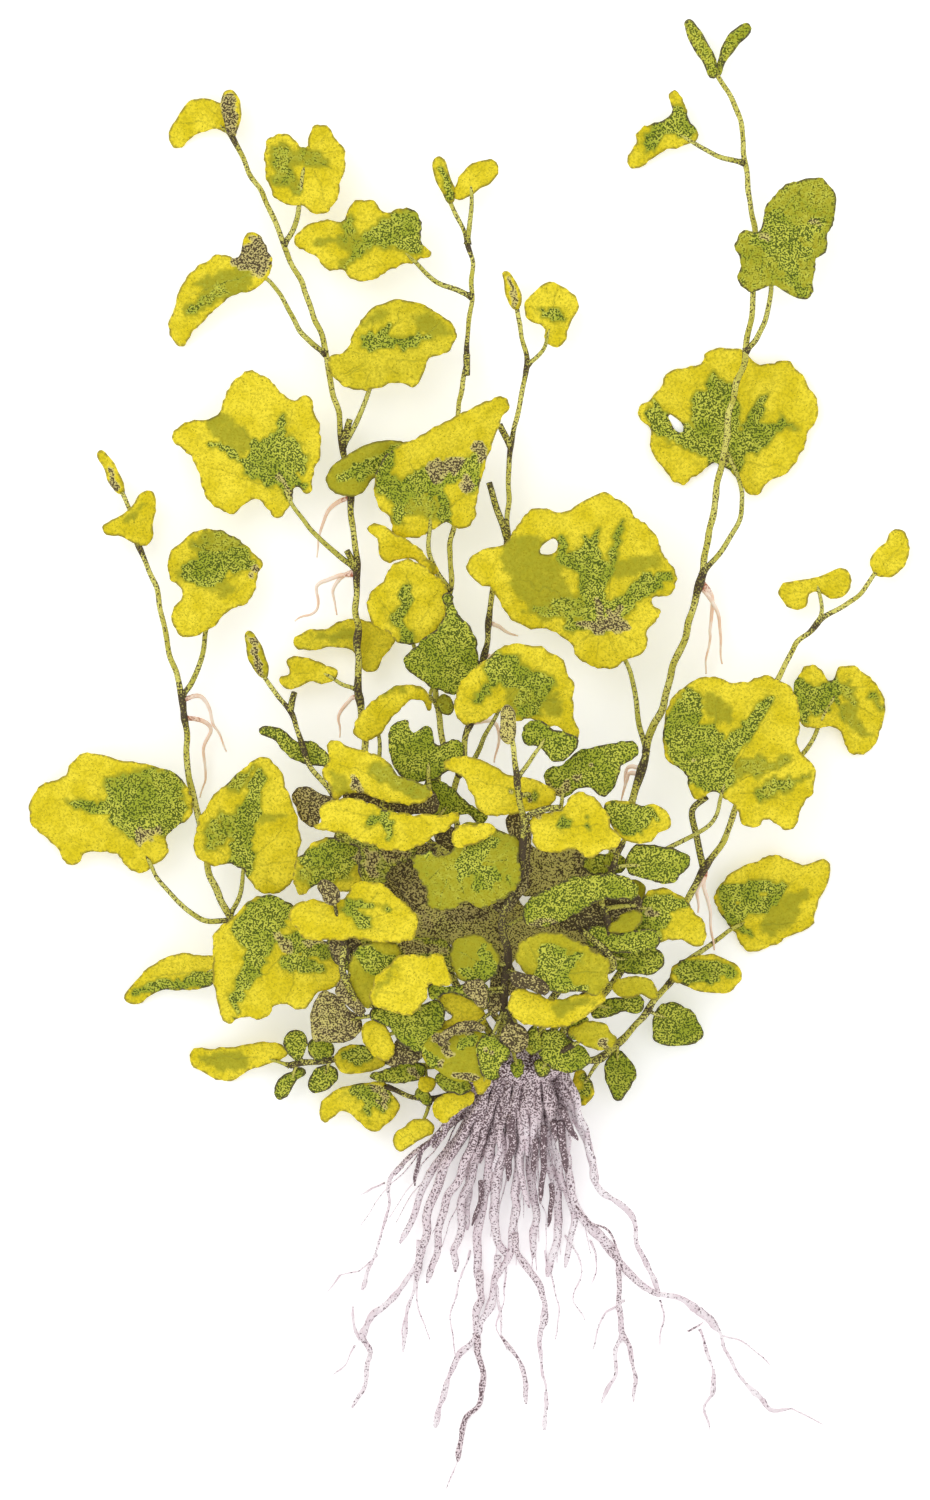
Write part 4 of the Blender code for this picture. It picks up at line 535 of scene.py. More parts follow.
def strokesOver(spots, strokes, joint):
    # how far painted strokes cover each spot: widest near the joint, with a ragged edge and a pale halo
    stray = np.c_[noiseAt(spots, 0.4, 11.0), noiseAt(spots, 0.4, 17.0)] * 1.3
    stray += np.c_[noiseAt(spots, 1.1, 23.0), noiseAt(spots, 1.1, 29.0)] * 0.6
    spots = spots + stray * paintShape["stray"]
    cover = np.zeros(len(spots))
    for stroke in strokes:
        start, end, width = np.array(stroke[:2], float), np.array(stroke[2:4], float), stroke[4]
        if np.linalg.norm(start - joint) > np.linalg.norm(end - joint):
            start, end = end, start
        strength = stroke[5] if len(stroke) > 5 else 1.0
        run = end - start
        share = np.clip(((spots - start) * run).sum(1) / max((run * run).sum(), 1e-9), 0.0, 1.0)
        gap = np.linalg.norm(spots - start - share[:, None] * run, axis=1)
        if np.linalg.norm(run) > 2.0 * width:
            gap = gap + width * paintShape["taper"] * share ** 2
        edge = np.clip((width + 0.5 * paintShape["edge"] - gap) / paintShape["edge"], 0.0, 1.0)
        halo = np.clip(1.0 - (gap - width) / paintShape["haloReach"], 0.0, 1.0) ** 1.5
        cover = np.maximum(cover, strength * edge * edge * (3.0 - 2.0 * edge))
        cover = np.maximum(cover, strength * paintShape["halo"] * min(1.0, width / 1.5) * halo)
    return cover


leafCount = [0]


def blade(leaf, large):
    leafCount[0] += 1
    seed = leafCount[0] * 3.7
    edge = leaf["edge"]
    leaf.setdefault("middle", tuple(np.mean(edge, 0)))
    closedBud = leaf.get("thickness", 0.0) > bladeShape["budThickness"]
    step = sum(math.dist(here, there) for here, there in zip(edge, edge[1:] + edge[:1])) / len(edge)
    outline = tracedOutline(edge, max(3, round(step / bladeShape["outlineStep"])))
    calm = bladeShape["budWave"] if closedBud else 1.0 if large else bladeShape["smallWave"]
    size = bladeShape["rimWave"] * calm
    loops = [wavyRim(outline, size, seed)] + [tracedOutline(hole, 4)[::-1] for hole in leaf.get("holes", ())]
    corners, faces = evenNet(loops, bladeShape["netLarge"] if large else bladeShape["netSmall"])
    rim, _ = rimDistance(corners, loops)
    x, y = corners[:, 0], corners[:, 1]

    # where the blade is seen from its joint: along the midrib and across it
    joint = np.array(leaf.get("joint", edge[0]), float)
    ahead = np.array(leaf["middle"], float) - joint
    ahead = ahead / max(np.linalg.norm(ahead), 1e-6)
    offset = corners - joint
    along, across = offset @ ahead, offset @ np.array((-ahead[1], ahead[0]))
    radius = np.hypot(along, across)
    turn = np.arctan2(across, along) / leafLook["veinStep"]

    height = bladeHeight(leaf, x, y)
    if not closedBud:
        reach = min(bladeShape["ruffleReach"], 0.75 * rim.max() + 1.0)
        loose = np.clip(1.0 - rim / reach, 0.0, 1.0) ** 1.5 * np.clip(radius / 6.0, 0.0, 1.0)
        share = 1.0 if large else bladeShape["smallRelief"]
        height = height + share * bladeShape["ruffle"] * loose * noiseAt(corners, 0.13, seed)
        height = height + share * bladeShape["pucker"] * noiseAt(corners, 0.3, seed + 3.0)
        pillow = np.abs(np.sin(math.pi * turn)) - 0.5
        fromJoint = np.clip(radius / 7.0, 0.0, 1.0)
        fromRim = np.clip(rim / 4.0, 0.0, 1.0)
        height = height + share * bladeShape["veinPillow"] * pillow * fromJoint * fromRim
    half = 0.5 * (leaf["thickness"] if closedBud else bladeShape["thickness"])
    rimHalf = 0.5 * bladeShape["rimThickness"]
    reach = rim.max() if closedBud else bladeShape["rimRound"]
    full = 1.0 - np.clip(rim / reach, 0.0, 1.0)
    thick = rimHalf + (half - rimHalf) * np.sqrt(np.clip(1.0 - full * full, 0.0, 1.0))
    if leaf.get("rests") or (height - thick).min() < bladeShape["clearance"]:
        height = height - (height - thick).min() + bladeShape["clearance"]
        leaf["lifted"] = float(height.mean() - bladeHeight(leaf, x, y).mean())
    else:
        leaf["lifted"] = 0.0

    # two faces, closed round the rim and round each hole
    count = len(corners)
    vertices = [place(spot) for spot in zip(x, y, height + thick)]
    vertices += [place(spot) for spot in zip(x, y, height - thick)]
    upper = [tuple(int(corner) for corner in face) for face in faces]
    lower = [tuple(corner + count for corner in reversed(face)) for face in upper]
    sides = {}
    for face in upper:
        for here, there in zip(face, face[1:] + face[:1]):
            sides[(here, there)] = True
    openSides = [(here, there) for here, there in sides if (there, here) not in sides]
    walls = [(there, here, here + count, there + count) for here, there in openSides]
    mesh = bpy.data.meshes.new("blade")
    mesh.from_pydata(vertices, [], upper + lower + walls)
    mesh.materials.append(leafFinish)
    mesh.shade_smooth()
    made = bpy.data.objects.new("blade", mesh)
    bpy.context.scene.collection.objects.link(made)

    green = np.maximum(strokesOver(corners, leaf.get("green", ()), joint), leaf.get("tint", 0.0))
    # painted shade: the leaf's shade value and its dark strokes, mostly shade between and under the leaves,
    # partly dark outlines and dark buds
    dark = np.maximum(strokesOver(corners, leaf.get("dark", ()), joint), leaf.get("shade", 0.0))
    plan = np.c_[along * 0.1, across * 0.1, rim + leaf.get("rimless", 0.0)]
    paint = np.c_[green, dark, np.zeros(count)]
    setPaint(made, np.r_[plan, plan], "plan")
    setPaint(made, np.r_[paint, paint])
    return made


# Stalks run from within the blade to the middle of the stem

stalkShape = {
    "radius": 0.6, "tipRadius": 0.38, "grip": 1.8, "flare": 1.5, "wander": 0.25, "step": 1.2,
    "thinnest": 0.62, "fullLength": 40.0, "buriedTip": 0.3, "clearance": 0.05,
}


def stalk(leaf, stemLine):
    joint = Vector(leaf["joint"])
    inward = (Vector(leaf["middle"]) - joint).normalized() * stalkShape["grip"]
    grip = joint + inward
    height = float(bladeHeight(leaf, grip.x, grip.y)) + leaf["lifted"]
    foot = nearestOn(stemLine, leaf["foot"], 2)
    spots = [Vector((grip.x, grip.y, height))] + [Vector(spot) for spot in leaf.get("stalk", ())] + [foot]
    lengths = [0.0]
    for one, two in zip(spots, spots[1:]):
        lengths.append(lengths[-1] + math.dist(one[:2], two[:2]))
    track = []
    for spot, length in zip(spots, lengths):
        share = length / max(lengths[-1], 0.001)
        rise = spot[2] if len(spot) == 3 else height + (foot.z - height) * share
        track.append(Vector((spot[0], spot[1], max(rise, stalkShape["radius"] + stalkShape["clearance"]))))
    total = lengths[-1]
    track = smoothed(track, stalkShape["step"], stalkShape["wander"], joint.x)
    slim = min(1.0, stalkShape["thinnest"] + total / stalkShape["fullLength"])
    radii = taper(stalkShape["tipRadius"] * slim, stalkShape["radius"] * slim, len(track))
    radii[0] *= stalkShape["buriedTip"]
    radii[-1] *= stalkShape["flare"]

    def paint(share, spot, normal):
        ends = 0.5 * max(0.0, 1.0 - share / 0.12) + 0.9 * max(0.0, (share - 0.84) / 0.16)
        # the stalk of a leaf with painted shade is darkened as painted shade too
        return max(ends, 0.5 * leaf.get("shade", 0.0)), 0.25

    return rod(track, radii, stemFinish, paint)


# Stems, with their buds, small leaves, hanging rootlets and bare twigs

# a stem darkens at its knots and towards the crown below duskyBelow, and takes painted shade below a y value
# given in its plan, where it runs under the leaves

crownShape = {
    "centre": (10.5, -62.0, 13.0), "size": (10.5, 5.5, 7.5), "roughness": 0.9, "sunk": 0.25, "inset": 0.7,
}
stemShape = {
    "slimming": 0.72, "step": 1.6, "wander": 0.35, "uneven": 0.12, "knotReach": 3.0, "knotSwell": 1.28,
    "dusky": 0.35, "duskyBelow": -48.0, "duskyFade": 22.0, "underLeafShade": 0.75, "underLeafShadeFade": 3.0,
    "rootletRadius": (0.5, 0.16), "rootletWander": 0.5,
    "twigRadius": (0.72, 0.62), "twigWander": 0.2, "fineStep": 1.2,
}


def crownSpot(turn, rise):   # a place inside the crown, in the direction that a stem leaves it
    turn, rise = math.radians(turn), math.radians(rise)
    direction = Vector((math.cos(turn) * math.cos(rise), math.sin(turn) * math.cos(rise), math.sin(rise)))
    reach = Vector([direction[axis] * crownShape["size"][axis] for axis in range(3)])
    return Vector(crownShape["centre"]) + reach * crownShape["inset"]


def stemTrack(plan):
    spots = [Vector(spot) for spot in plan["track"]]
    if "start" in plan:
        spots.insert(0, crownSpot(*plan["start"]))
    return smoothed(spots, stemShape["step"], stemShape["wander"], 2.0)


def stemRod(plan, track, joints):
    first, last = plan["radius"]
    radii = taper(first * stemShape["slimming"], last * stemShape["slimming"], len(track))
    knots = [nearestOn(track, joint, 2) for joint in joints]

    def knotShare(spot, reach):
        near = min((math.dist(spot, knot) for knot in knots), default=99.0)
        return math.exp(-(near / reach) ** 2)

    for index, spot in enumerate(track):
        uneven = 1.0 + stemShape["uneven"] * noise.noise(spot * 0.5)
        radii[index] *= uneven * (1.0 + (stemShape["knotSwell"] - 1.0) * knotShare(spot, 1.5))

    def paint(share, spot, normal):
        above = max(0.0, spot.y - stemShape["duskyBelow"])
        nearCrown = plan.get("dusky", stemShape["dusky"]) * max(0.0, 1.0 - above / stemShape["duskyFade"])
        # painted shade where the stem runs under the leaves
        below = (plan["underLeafShade"] - spot.y) / stemShape["underLeafShadeFade"] if "underLeafShade" in plan else 0.0
        underLeafShade = stemShape["underLeafShade"] * min(max(below, 0.0), 1.0)
        knot = knotShare(spot, plan.get("knotReach", stemShape["knotReach"]))
        return knot + max(nearCrown, underLeafShade), plan.get("green", 0.1)

    return rod(track, radii, stemFinish, paint, sides=10)


def rootlet(track, stem):
    spots = [nearestOn(stem, track[0], 2)] + [Vector(spot) for spot in track[1:]]
    spots = smoothed(spots, stemShape["fineStep"], stemShape["rootletWander"], track[0][0])
    radii = taper(*stemShape["rootletRadius"], len(spots), 1.3)

    def paint(share, spot, normal):
        return max(0.0, 1.0 - share / 0.34), 0.5

    return rod(spots, radii, rootletFinish, paint, sides=6, steps=4)


def twig(track, stem):
    spots = [nearestOn(stem, track[0], 2)] + [Vector(spot) for spot in track[1:]]
    spots = smoothed(spots, stemShape["fineStep"], stemShape["twigWander"], track[0][0])
    radii = taper(*stemShape["twigRadius"], len(spots))

    def paint(share, spot, normal):
        return 0.5, 0.2

    return rod(spots, radii, stemFinish, paint)


def growth(plan):   # the stem and all that it carries
    track = stemTrack(plan)
    plan["smooth"] = track
    pieces = []
    for leaf in plan.get("buds", ()):
        pieces.append(blade(leaf, False))
    for leaf in plan.get("leaves", ()):
        pieces.append(blade(leaf, False))
        pieces.append(stalk(leaf, track))
    pieces += [rootlet(spots, track) for spots in plan.get("rootlets", ())]
    pieces += [twig(spots, track) for spots in plan.get("twigs", ())]
    joints = [leaf["foot"] for leaf in plan.get("leaves", ())]
    joints += [spots[0] for spots in plan.get("rootlets", ())]
    joints += [spots[0] for spots in plan.get("twigs", ())]
    return [stemRod(plan, track, joints)] + pieces


stems = {}


def makeStem(node, plan):
    stems[node] = plan
    piece = joinPieces("grown_" + node, growth(plan))
    finishPiece(piece, "stem", node)


makeStem("stem_far_left_base", {
    "radius": (1.1, 1), "start": (160, -8), "track": [(-12, -54, 12), (-28, -45.5, 12), (-41, -37.5, 12),
        (-45, -35.2, 11.8)],
    "leaves": [
        {"joint": (-50, -44.3), "foot": (-42.5, -36.7), "lean": (0.3, 0.5), "rests": True,
         "stalk": [(-46.5, -41.5)], "edge": [(-49.2, -41.4), (-53, -40.8), (-57, -40.5), (-61, -42),
         (-64.5, -44.8), (-67.8, -50.4), (-60.5, -48.1), (-55, -47.8), (-51, -47.2), (-49.4, -45)],
         "tint": 0.12, "green": [(-66, -48.6, -58, -46.8, 1.3), (-58, -47, -51, -45.6, 1.6)]},
    ],
})
makeStem("stem_far_left", {
    "radius": (1, 0.65), "track": [(-46.3, -34.3, 11.6), (-51, -25, 10), (-53, -13, 8), (-55.4, -4, 7),
        (-56, 8, 6.5), (-59, 20, 6), (-61.5, 31, 5.5), (-65, 40.5, 5), (-66.5, 46, 5.5), (-68.5, 51.5, 5.5)],
    "buds": [
        {"level": 5.5, "lean": (-0.1, 0.15), "thickness": 1.5, "edge": [(-68.2, 51.2), (-70.8, 52.8),
         (-72, 56), (-73.1, 59.8), (-70.9, 58.5), (-69, 55), (-68, 52.8)], "tint": 0.1,
         "dark": [(-71.6, 56.4, -69.4, 52, 0.7)]},
    ],
    "leaves": [
        {"joint": (-65.2, 41.3), "foot": (-65, 40.5), "level": 6.5, "lean": (-0.35, 0.1),
         "edge": [(-65, 40.7), (-68.5, 42.6), (-72.4, 43.9), (-70, 46.3), (-67.3, 48), (-63.6, 51.7),
         (-62.1, 50.8), (-62.2, 46), (-63.5, 40.9)], "tint": 0.05, "green": [(-68, 46, -64, 49, 0.8, 0.42)]},
    ],
    "rootlets": [[(-55.6, 10), (-53, 10.7, 5.6), (-51.3, 8.7, 5), (-50.7, 5.3, 4), (-48.7, 2, 3),
        (-47.7, -0.3, 2.4)], [(-55.6, 6.5), (-51.5, 5, 4.6), (-52, 0, 3.4), (-53, -9.5, 1.5)]],
})
makeStem("stem_left", {
    "radius": (1.1, 0.7), "start": (122, 0), "track": [(-4, -42, 12.5), (-12, -26, 12), (-17, -11, 11),
        (-20, 0, 10), (-21, 10, 9), (-21.4, 22, 8), (-21.6, 34, 7.5), (-23, 50, 7), (-24.3, 61, 6),
        (-27, 74.5, 6), (-30.3, 87, 6), (-35.3, 99, 5.5), (-40, 110, 5.5), (-46.5, 122.5, 5)],
    "buds": [
        {"level": 5.5, "lean": (0, 0.15), "thickness": 1.6, "edge": [(-46.4, 122.2), (-48.2, 126),
         (-48.9, 129.5), (-47.3, 131.8), (-45.3, 130.5), (-44.7, 127), (-45.4, 124)], "tint": 0.1,
         "shade": 0.15, "dark": [(-47.4, 130.4, -47.4, 124, 1.7)]},
    ],
    "leaves": [
        {"joint": (-47.3, 124.8), "foot": (-46.5, 122.4), "lean": (0.3, 0.12), "rests": True,
         "edge": [(-46.4, 123.4), (-50.5, 124), (-54.5, 122.2), (-57.8, 120.3), (-59.1, 122.5), (-57, 127.4),
         (-55, 129.4), (-52, 130.1), (-48.2, 128.9), (-46.6, 126)], "tint": 0.03},
        {"joint": (-20.5, 21.6), "foot": (-21.4, 22.4), "level": 4, "lean": (0.05, -0.35),
         "middle": (-23.5, 22.2), "edge": [(-34.3, 20.8), (-31.5, 24), (-28, 24.3), (-24, 26), (-20, 26),
         (-17, 24.6), (-13.8, 22.4), (-16, 19), (-18.8, 15.6), (-22.6, 19.8), (-27, 20.4), (-31, 20)],
         "tint": 0.2, "green": [(-30, 22.6, -22, 23, 1.2, 0.45)]},
        {"joint": (-26.6, 15.3), "foot": (-21.2, 12), "level": 5, "lean": (0.15, -0.3),
         "edge": [(-37, 14.6), (-35.2, 15.4), (-35.4, 18.2), (-32, 18.5), (-28.4, 17.4), (-25.4, 15.2),
         (-28, 13.4), (-31, 13.6), (-35.6, 12.2)], "tint": 0.12},
        # a dark blade low under the stems, with painted shade, that stands for the shade under the leaves
        # above
        {"joint": (-10.5, -27), "foot": (-11.6, -27), "level": 5, "lean": (0.05, 0),
         "stalk": [(-11.2, -28.2, 8.5)], "edge": [(-19.5, -22), (-14, -18.5), (-7, -19), (-3, -24), (-3, -32),
         (-7, -38), (-13, -36), (-18.5, -30)], "tint": 0.5, "shade": 0.85},
    ],
    "rootlets": [[(-21.7, 35), (-28.4, 34, 5), (-29.7, 29, 3.5), (-34, 25.8, 1.5)], [(-21.7, 36),
        (-26.2, 33, 5), (-25.6, 27, 3)], [(-23, 50.5), (-27.6, 48, 4.5), (-29.6, 38.5, 2)], [(-20.8, 10.6),
        (-22.5, 10.5, 8), (-24.5, 8, 7), (-25, 2.5, 6)]], "twigs": [[(-24.3, 61), (-23, 66, 7)], [(-21.6, 36),
        (-23.6, 39.8, 8.5)]],
})
makeStem("stem_middle", {
    "radius": (1, 0.6), "start": (104, 0), "track": [(0, -40, 13), (-4.5, -24, 12), (-5.8, -8, 11),
        (-4.3, 1, 10.5), (-5.8, 9.5, 10), (-4.5, 20, 9.5), (-3, 33, 9), (-2.6, 45, 8), (-1.9, 63, 7),
        (0.4, 80, 6.5), (1.3, 93, 6), (0.4, 102, 5.5), (-3, 109.5, 5)],
    "buds": [
        {"level": 6, "lean": (-0.1, 0.15), "thickness": 1.5, "edge": [(-2.8, 109.2), (-4.8, 111.8),
         (-6.2, 114.5), (-6.2, 118), (-4.8, 118.5), (-3, 114.5), (-2, 111)], "tint": 0.2,
         "green": [(-4.9, 117, -2.8, 110.4, 0.8)]},
    ],
    "leaves": [
        {"joint": (0, 112), "foot": (0.5, 101), "level": 7, "lean": (0.2, 0.1), "stalk": [(1.3, 110)],
         "edge": [(-1.8, 110.2), (-1.6, 113.5), (1.5, 117.2), (4, 118), (6.3, 117.4), (5, 113), (2.5, 111.7)],
         "tint": 0.04},
    ],
    "twigs": [[(0.5, 79), (0.4, 74.8, 7.5)]],
})
makeStem("stem_middle_right", {
    "radius": (1, 0.65), "start": (85, -4), "track": [(4.3, -40, 12.5), (0.5, -25, 12), (-2.3, -10, 11),
        (-0.5, -1.5, 10.5), (1, 4.8, 10), (3.8, 17.5, 9), (5.3, 30, 8), (8, 41.5, 7.5), (8.8, 52, 7),
        (9.2, 61, 7), (11.3, 71, 6.5), (12, 77, 6), (10.4, 88, 6)],
    "buds": [
        {"level": 6.5, "lean": (0, 0.15), "thickness": 1.5, "edge": [(10.3, 87.8), (8.4, 90), (7.8, 93),
         (7.8, 95.6), (10, 93.8), (11.1, 91.5), (11.2, 89)], "tint": 0.1,
         "dark": [(8.6, 94.6, 10, 89, 0.6, 0.8)]},
    ],
    "leaves": [
        {"joint": (16.6, 82.2), "foot": (12, 76.8), "level": 7.5, "lean": (0.12, 0.1),
         "stalk": [(15.2, 79.2)], "edge": [(16.3, 81.3), (15.5, 84.5), (12.7, 86.2), (12, 88), (13.2, 90.6),
         (16.8, 93.4), (21, 91.5), (22.6, 89.5), (21, 85), (19.6, 81.4), (18, 80.5)], "tint": 0.08,
         "green": [(15.4, 88, 18.6, 86.4, 1.7, 0.7)]},
        # a dark blade low under the stems, with painted shade, that stands for the shade under the leaves
        # above
        {"joint": (3.4, -34.5), "foot": (3, -34.8), "level": 3.5, "lean": (-0.05, 0.02),
         "stalk": [(3.6, -36, 8)], "edge": [(-2, -31), (3, -27.5), (9, -28.5), (12.5, -34), (11, -41),
         (4.5, -44.5), (-2.5, -40)], "tint": 0.4, "shade": 0.5, "dark": [(8, -30, 8, -40, 1.4)]},
    ],
    "rootlets": [[(4.7, 25.5), (8.3, 23.8, 5), (10.6, 22.8, 3)], [(4, 19), (7.4, 17.5, 5), (7.4, 13, 3)],
        [(1.5, 5.5), (6, 5, 9.5), (5.8, -2.5, 8.6)]], "twigs": [[(9, 60.5), (6.9, 65, 8)], [(8.1, 42),
        (4.8, 53.4, 9)]],
})
makeStem("stem_right", {
    "radius": (1.2, 0.7), "start": (60, 0), "track": [(20, -44, 13), (27, -27, 12), (32, -12.5, 11),
        (34, -8, 10.5), (36.6, 1, 9.5), (40.5, 12, 8.5), (44, 24, 8.5), (47, 34, 9), (49, 44.5, 9.5),
        (51, 56, 10), (52.6, 66, 10), (55, 75.5, 9), (56.8, 84, 7.5), (57.5, 96, 6), (57.6, 105, 5.5),
        (55.7, 118, 5), (55, 126, 5), (50, 135.5, 4.5)],
    "buds": [
        {"level": 4, "lean": (0.05, -0.12), "thickness": 1.6, "edge": [(49.7, 134.2), (47.3, 137.6),
         (45.4, 140.5), (44.4, 143), (44.4, 146), (46.5, 144.6), (48.5, 141), (50.2, 138)], "tint": 0.6},
        {"level": 4.5, "lean": (0, 0.1), "thickness": 1, "edge": [(50.4, 134.6), (50.8, 138.5), (52, 141.7),
         (54, 144.2), (56.9, 145), (54.2, 140.3), (52.2, 137.8)], "tint": 0.6},
    ],
    "leaves": [
        # a dark blade low under the stems, with painted shade, that stands for the shade under the leaves
        # above
        {"joint": (22.4, -36), "foot": (23.2, -36.3), "level": 4.5, "lean": (0, 0.03),
         "middle": (23.5, -29.5), "stalk": [(22.6, -37.6, 8.5)], "edge": [(12.5, -21), (20, -19.5),
         (26, -21.5), (30, -28), (35.5, -30), (35, -34.5), (29, -38.5), (21.5, -38.5), (14, -31)],
         "tint": 0.4, "shade": 0.5, "dark": [(12.5, -21, 12, -28, 1.4), (22.5, -21, 23.5, -25, 1.2)]},
    ],
    "rootlets": [[(47, 34), (49.6, 29.5, 5.5), (48.6, 24, 4), (48.2, 15.2, 2.5)], [(46.7, 33), (50.8, 27, 5),
        (51.4, 17.2, 2.5)], [(35.4, -3.5), (32.7, -4, 8.5), (31.3, -9.5, 7)], [(35, -5), (32.5, -5, 8.6),
        (31.2, -10, 7.4)]],
})
makeStem("stem_far_right", {
    "radius": (1.1, 0.65), "start": (36, -4), "track": [(27, -49, 12.5), (36, -39, 12), (44, -30.5, 11),
        (47.6, -23.8, 10), (51, -19, 9.5), (54, -12, 9), (57.8, 0, 8), (62.3, 14.5, 7), (69.8, 24.7, 6),
        (78.5, 30.3, 5), (82, 35.5, 5)],
    "buds": [
        {"level": 4.5, "lean": (-0.1, -0.05), "edge": [(81.9, 35.3), (81, 38.2), (84, 41.5), (86.7, 44.3),
         (88.7, 41), (88.2, 37.8), (86.5, 35.4), (84, 34.6)], "tint": 0.02},
    ],
    "leaves": [
        {"joint": (71, 31.6), "foot": (70.2, 25.2), "level": 6.3, "lean": (0.05, 0.35),
         "middle": (70.5, 32.8), "stalk": [(71.3, 28.2)], "edge": [(71, 31.2), (69.4, 31.6), (67.5, 28.3),
         (63, 30.5), (63.2, 32.7), (66, 33.9), (70.5, 34.7), (76, 36), (77.1, 33.8), (75.8, 30.8),
         (73, 30.2)], "tint": 0.03},
    ],
    "rootlets": [[(47.4, -24.2), (47, -30, 8.4), (46.5, -32.5, 8)], [(48, -23.4), (49, -33, 6),
        (49.8, -40, 5)]], "twigs": [[(47.6, -23.8), (46, -16.7, 10.5), (45.7, -12, 11), (48.3, -9.3, 11.4)]],
})
makeStem("stem_low_right", {
    "radius": (1.05, 0.8), "dusky": 0.1, "knotReach": 1.2, "start": (8, -12),
    "track": [(25.8, -61.8, 10.5), (30.5, -58.3, 9.5), (36.5, -52, 8.5), (41, -46.3, 8), (43.2, -42.8, 7.8)],
    "leaves": [
        {"joint": (42.2, -45), "foot": (41, -46.2), "level": 9.5, "lean": (0, 0.12),
         "edge": [(41, -43.6), (43.5, -42), (47, -41), (51, -41.2), (55.3, -44.5), (53.5, -47.7), (49, -48.5),
         (44, -47), (41, -45.6)], "tint": 0.02, "green": [(44.4, -44, 53, -44.2, 2.4)]},
        {"joint": (38.6, -52.6), "foot": (36.6, -52), "level": 5, "lean": (-0.1, 0.3),
         "edge": [(38.2, -51.9), (40, -50.6), (44.8, -51.6), (46.2, -53.5), (47.6, -57), (46, -58.4),
         (38, -58), (37.2, -56)], "tint": 0.85},
        {"joint": (30.3, -60.4), "foot": (30.5, -58.4), "level": 6, "lean": (0.1, 0.3),
         "edge": [(30.2, -59.8), (32, -60.6), (34.2, -65), (33, -67.5), (30.5, -70), (28.8, -68), (28, -65.5),
         (28.2, -62)], "tint": 0.82},
        {"joint": (23.8, -65.2), "foot": (27, -60.8), "level": 9, "lean": (0.1, 0.1),
         "edge": [(22.6, -64), (24.5, -65), (25.7, -67.5), (24.8, -70), (23.6, -71), (21, -69.2),
         (21.3, -66.8)], "tint": 0.1, "green": [(24, -66, 24.4, -67.6, 1.2), (22, -68.4, 23, -69.4, 0.9)]},
    ],
})
makeStem("stem_low_left", {
    "radius": (1, 0.75), "dusky": 0.1, "knotReach": 1.2, "start": (181, -14),
    "track": [(-8, -63, 9), (-18, -61.8, 8), (-27, -61.4, 7), (-35, -63, 6.5)],
    "leaves": [
        {"joint": (-37.6, -61.6), "foot": (-35, -63), "lean": (0.25, 0.45), "rests": True,
         "edge": [(-36.4, -61.6), (-35.6, -60), (-39, -58.2), (-43, -58.8), (-49, -59.6), (-55, -61),
         (-51.5, -65), (-46.8, -66.2), (-42, -63.5)], "tint": 0.06,
         "green": [(-52, -62, -45, -62, 1.9, 0.42)]},
        {"joint": (-32.8, -61.4), "foot": (-32.5, -62.4), "level": 9.3, "lean": (0, 0.15),
         "edge": [(-35.6, -56.4), (-33, -56), (-31.6, -58), (-32.1, -60.6), (-33.4, -62), (-35.2, -61)],
         "tint": 0.75},
        {"joint": (-29.6, -60.9), "foot": (-29, -61.7), "level": 9.2, "lean": (0, -0.1),
         "edge": [(-31.2, -58.3), (-29, -57.6), (-26.1, -59.4), (-27.2, -61.2), (-30.8, -61.4)], "tint": 0.7},
        {"joint": (-33.2, -64.4), "foot": (-33.6, -62.8), "level": 5, "lean": (0.1, 0.1),
         "edge": [(-32, -63.9), (-35.5, -64.5), (-38, -67), (-37.8, -69.3), (-36.3, -69.6), (-34, -66.5)],
         "tint": 0.85},
        {"joint": (-27.6, -63.4), "foot": (-27, -61.6), "level": 6, "lean": (0, 0.1),
         "edge": [(-26.5, -62.9), (-29.5, -63.5), (-31.3, -66), (-31, -68), (-29.5, -68.5), (-26.5, -67),
         (-25.2, -65)], "tint": 0.78},
        {"joint": (-17, -62.9), "foot": (-16, -62), "level": 9.6, "lean": (-0.05, 0.12),
         "edge": [(-26, -61), (-24.5, -59), (-22, -58.5), (-18.5, -60.3), (-16, -62.3), (-18, -63.8),
         (-22, -64.6), (-25, -63.8)], "tint": 0.05, "green": [(-24, -61, -19.4, -60.6, 1.9)]},
    ],
})
makeStem("stem_bud_left", {
    "radius": (1, 0.65), "start": (143, 22), "track": [(-7, -47, 18), (-17, -31, 17.5), (-22, -20, 16.5),
        (-25.8, -10, 15), (-28.8, -6.5, 14), (-32, 0, 13), (-34.4, 6.5, 12), (-40, 14.5, 11)],
    "buds": [
        {"level": 11, "lean": (0, 0.1), "thickness": 1.5, "edge": [(-39.8, 14.3), (-42.6, 17), (-43.6, 20.5),
         (-43.3, 23.7), (-41.3, 22), (-39.8, 18.5), (-39.2, 15.5)], "tint": 0.3,
         "dark": [(-42.8, 22.6, -40.4, 15.4, 0.6)]},
    ],
    "leaves": [
        {"joint": (-34.4, 0.2), "foot": (-32.2, 0.4), "level": 11.4, "lean": (0.02, -0.3),
         "middle": (-33, -0.2), "edge": [(-41, 4.2), (-37, 4.2), (-33.5, 1.7), (-30.8, 1.8), (-28.5, 0.3),
         (-27.3, -3.2), (-29.5, -3.3), (-33, -2.4), (-36, -0.6), (-38.5, 2.2)], "tint": 0.66},
        {"joint": (-26.6, -10.4), "foot": (-26, -10), "level": 14.5, "lean": (0.15, 0.2),
         "edge": [(-34.5, -9), (-33, -7.5), (-31, -7.3), (-29.5, -8.3), (-25.8, -10), (-28, -11.5),
         (-28.6, -13.5), (-30, -15.5), (-32.5, -14), (-33.5, -11.5)], "tint": 0.3, "shade": 0.95},
    ],
    "twigs": [[(-34.6, 8), (-34, 11.5, 13)]],
})
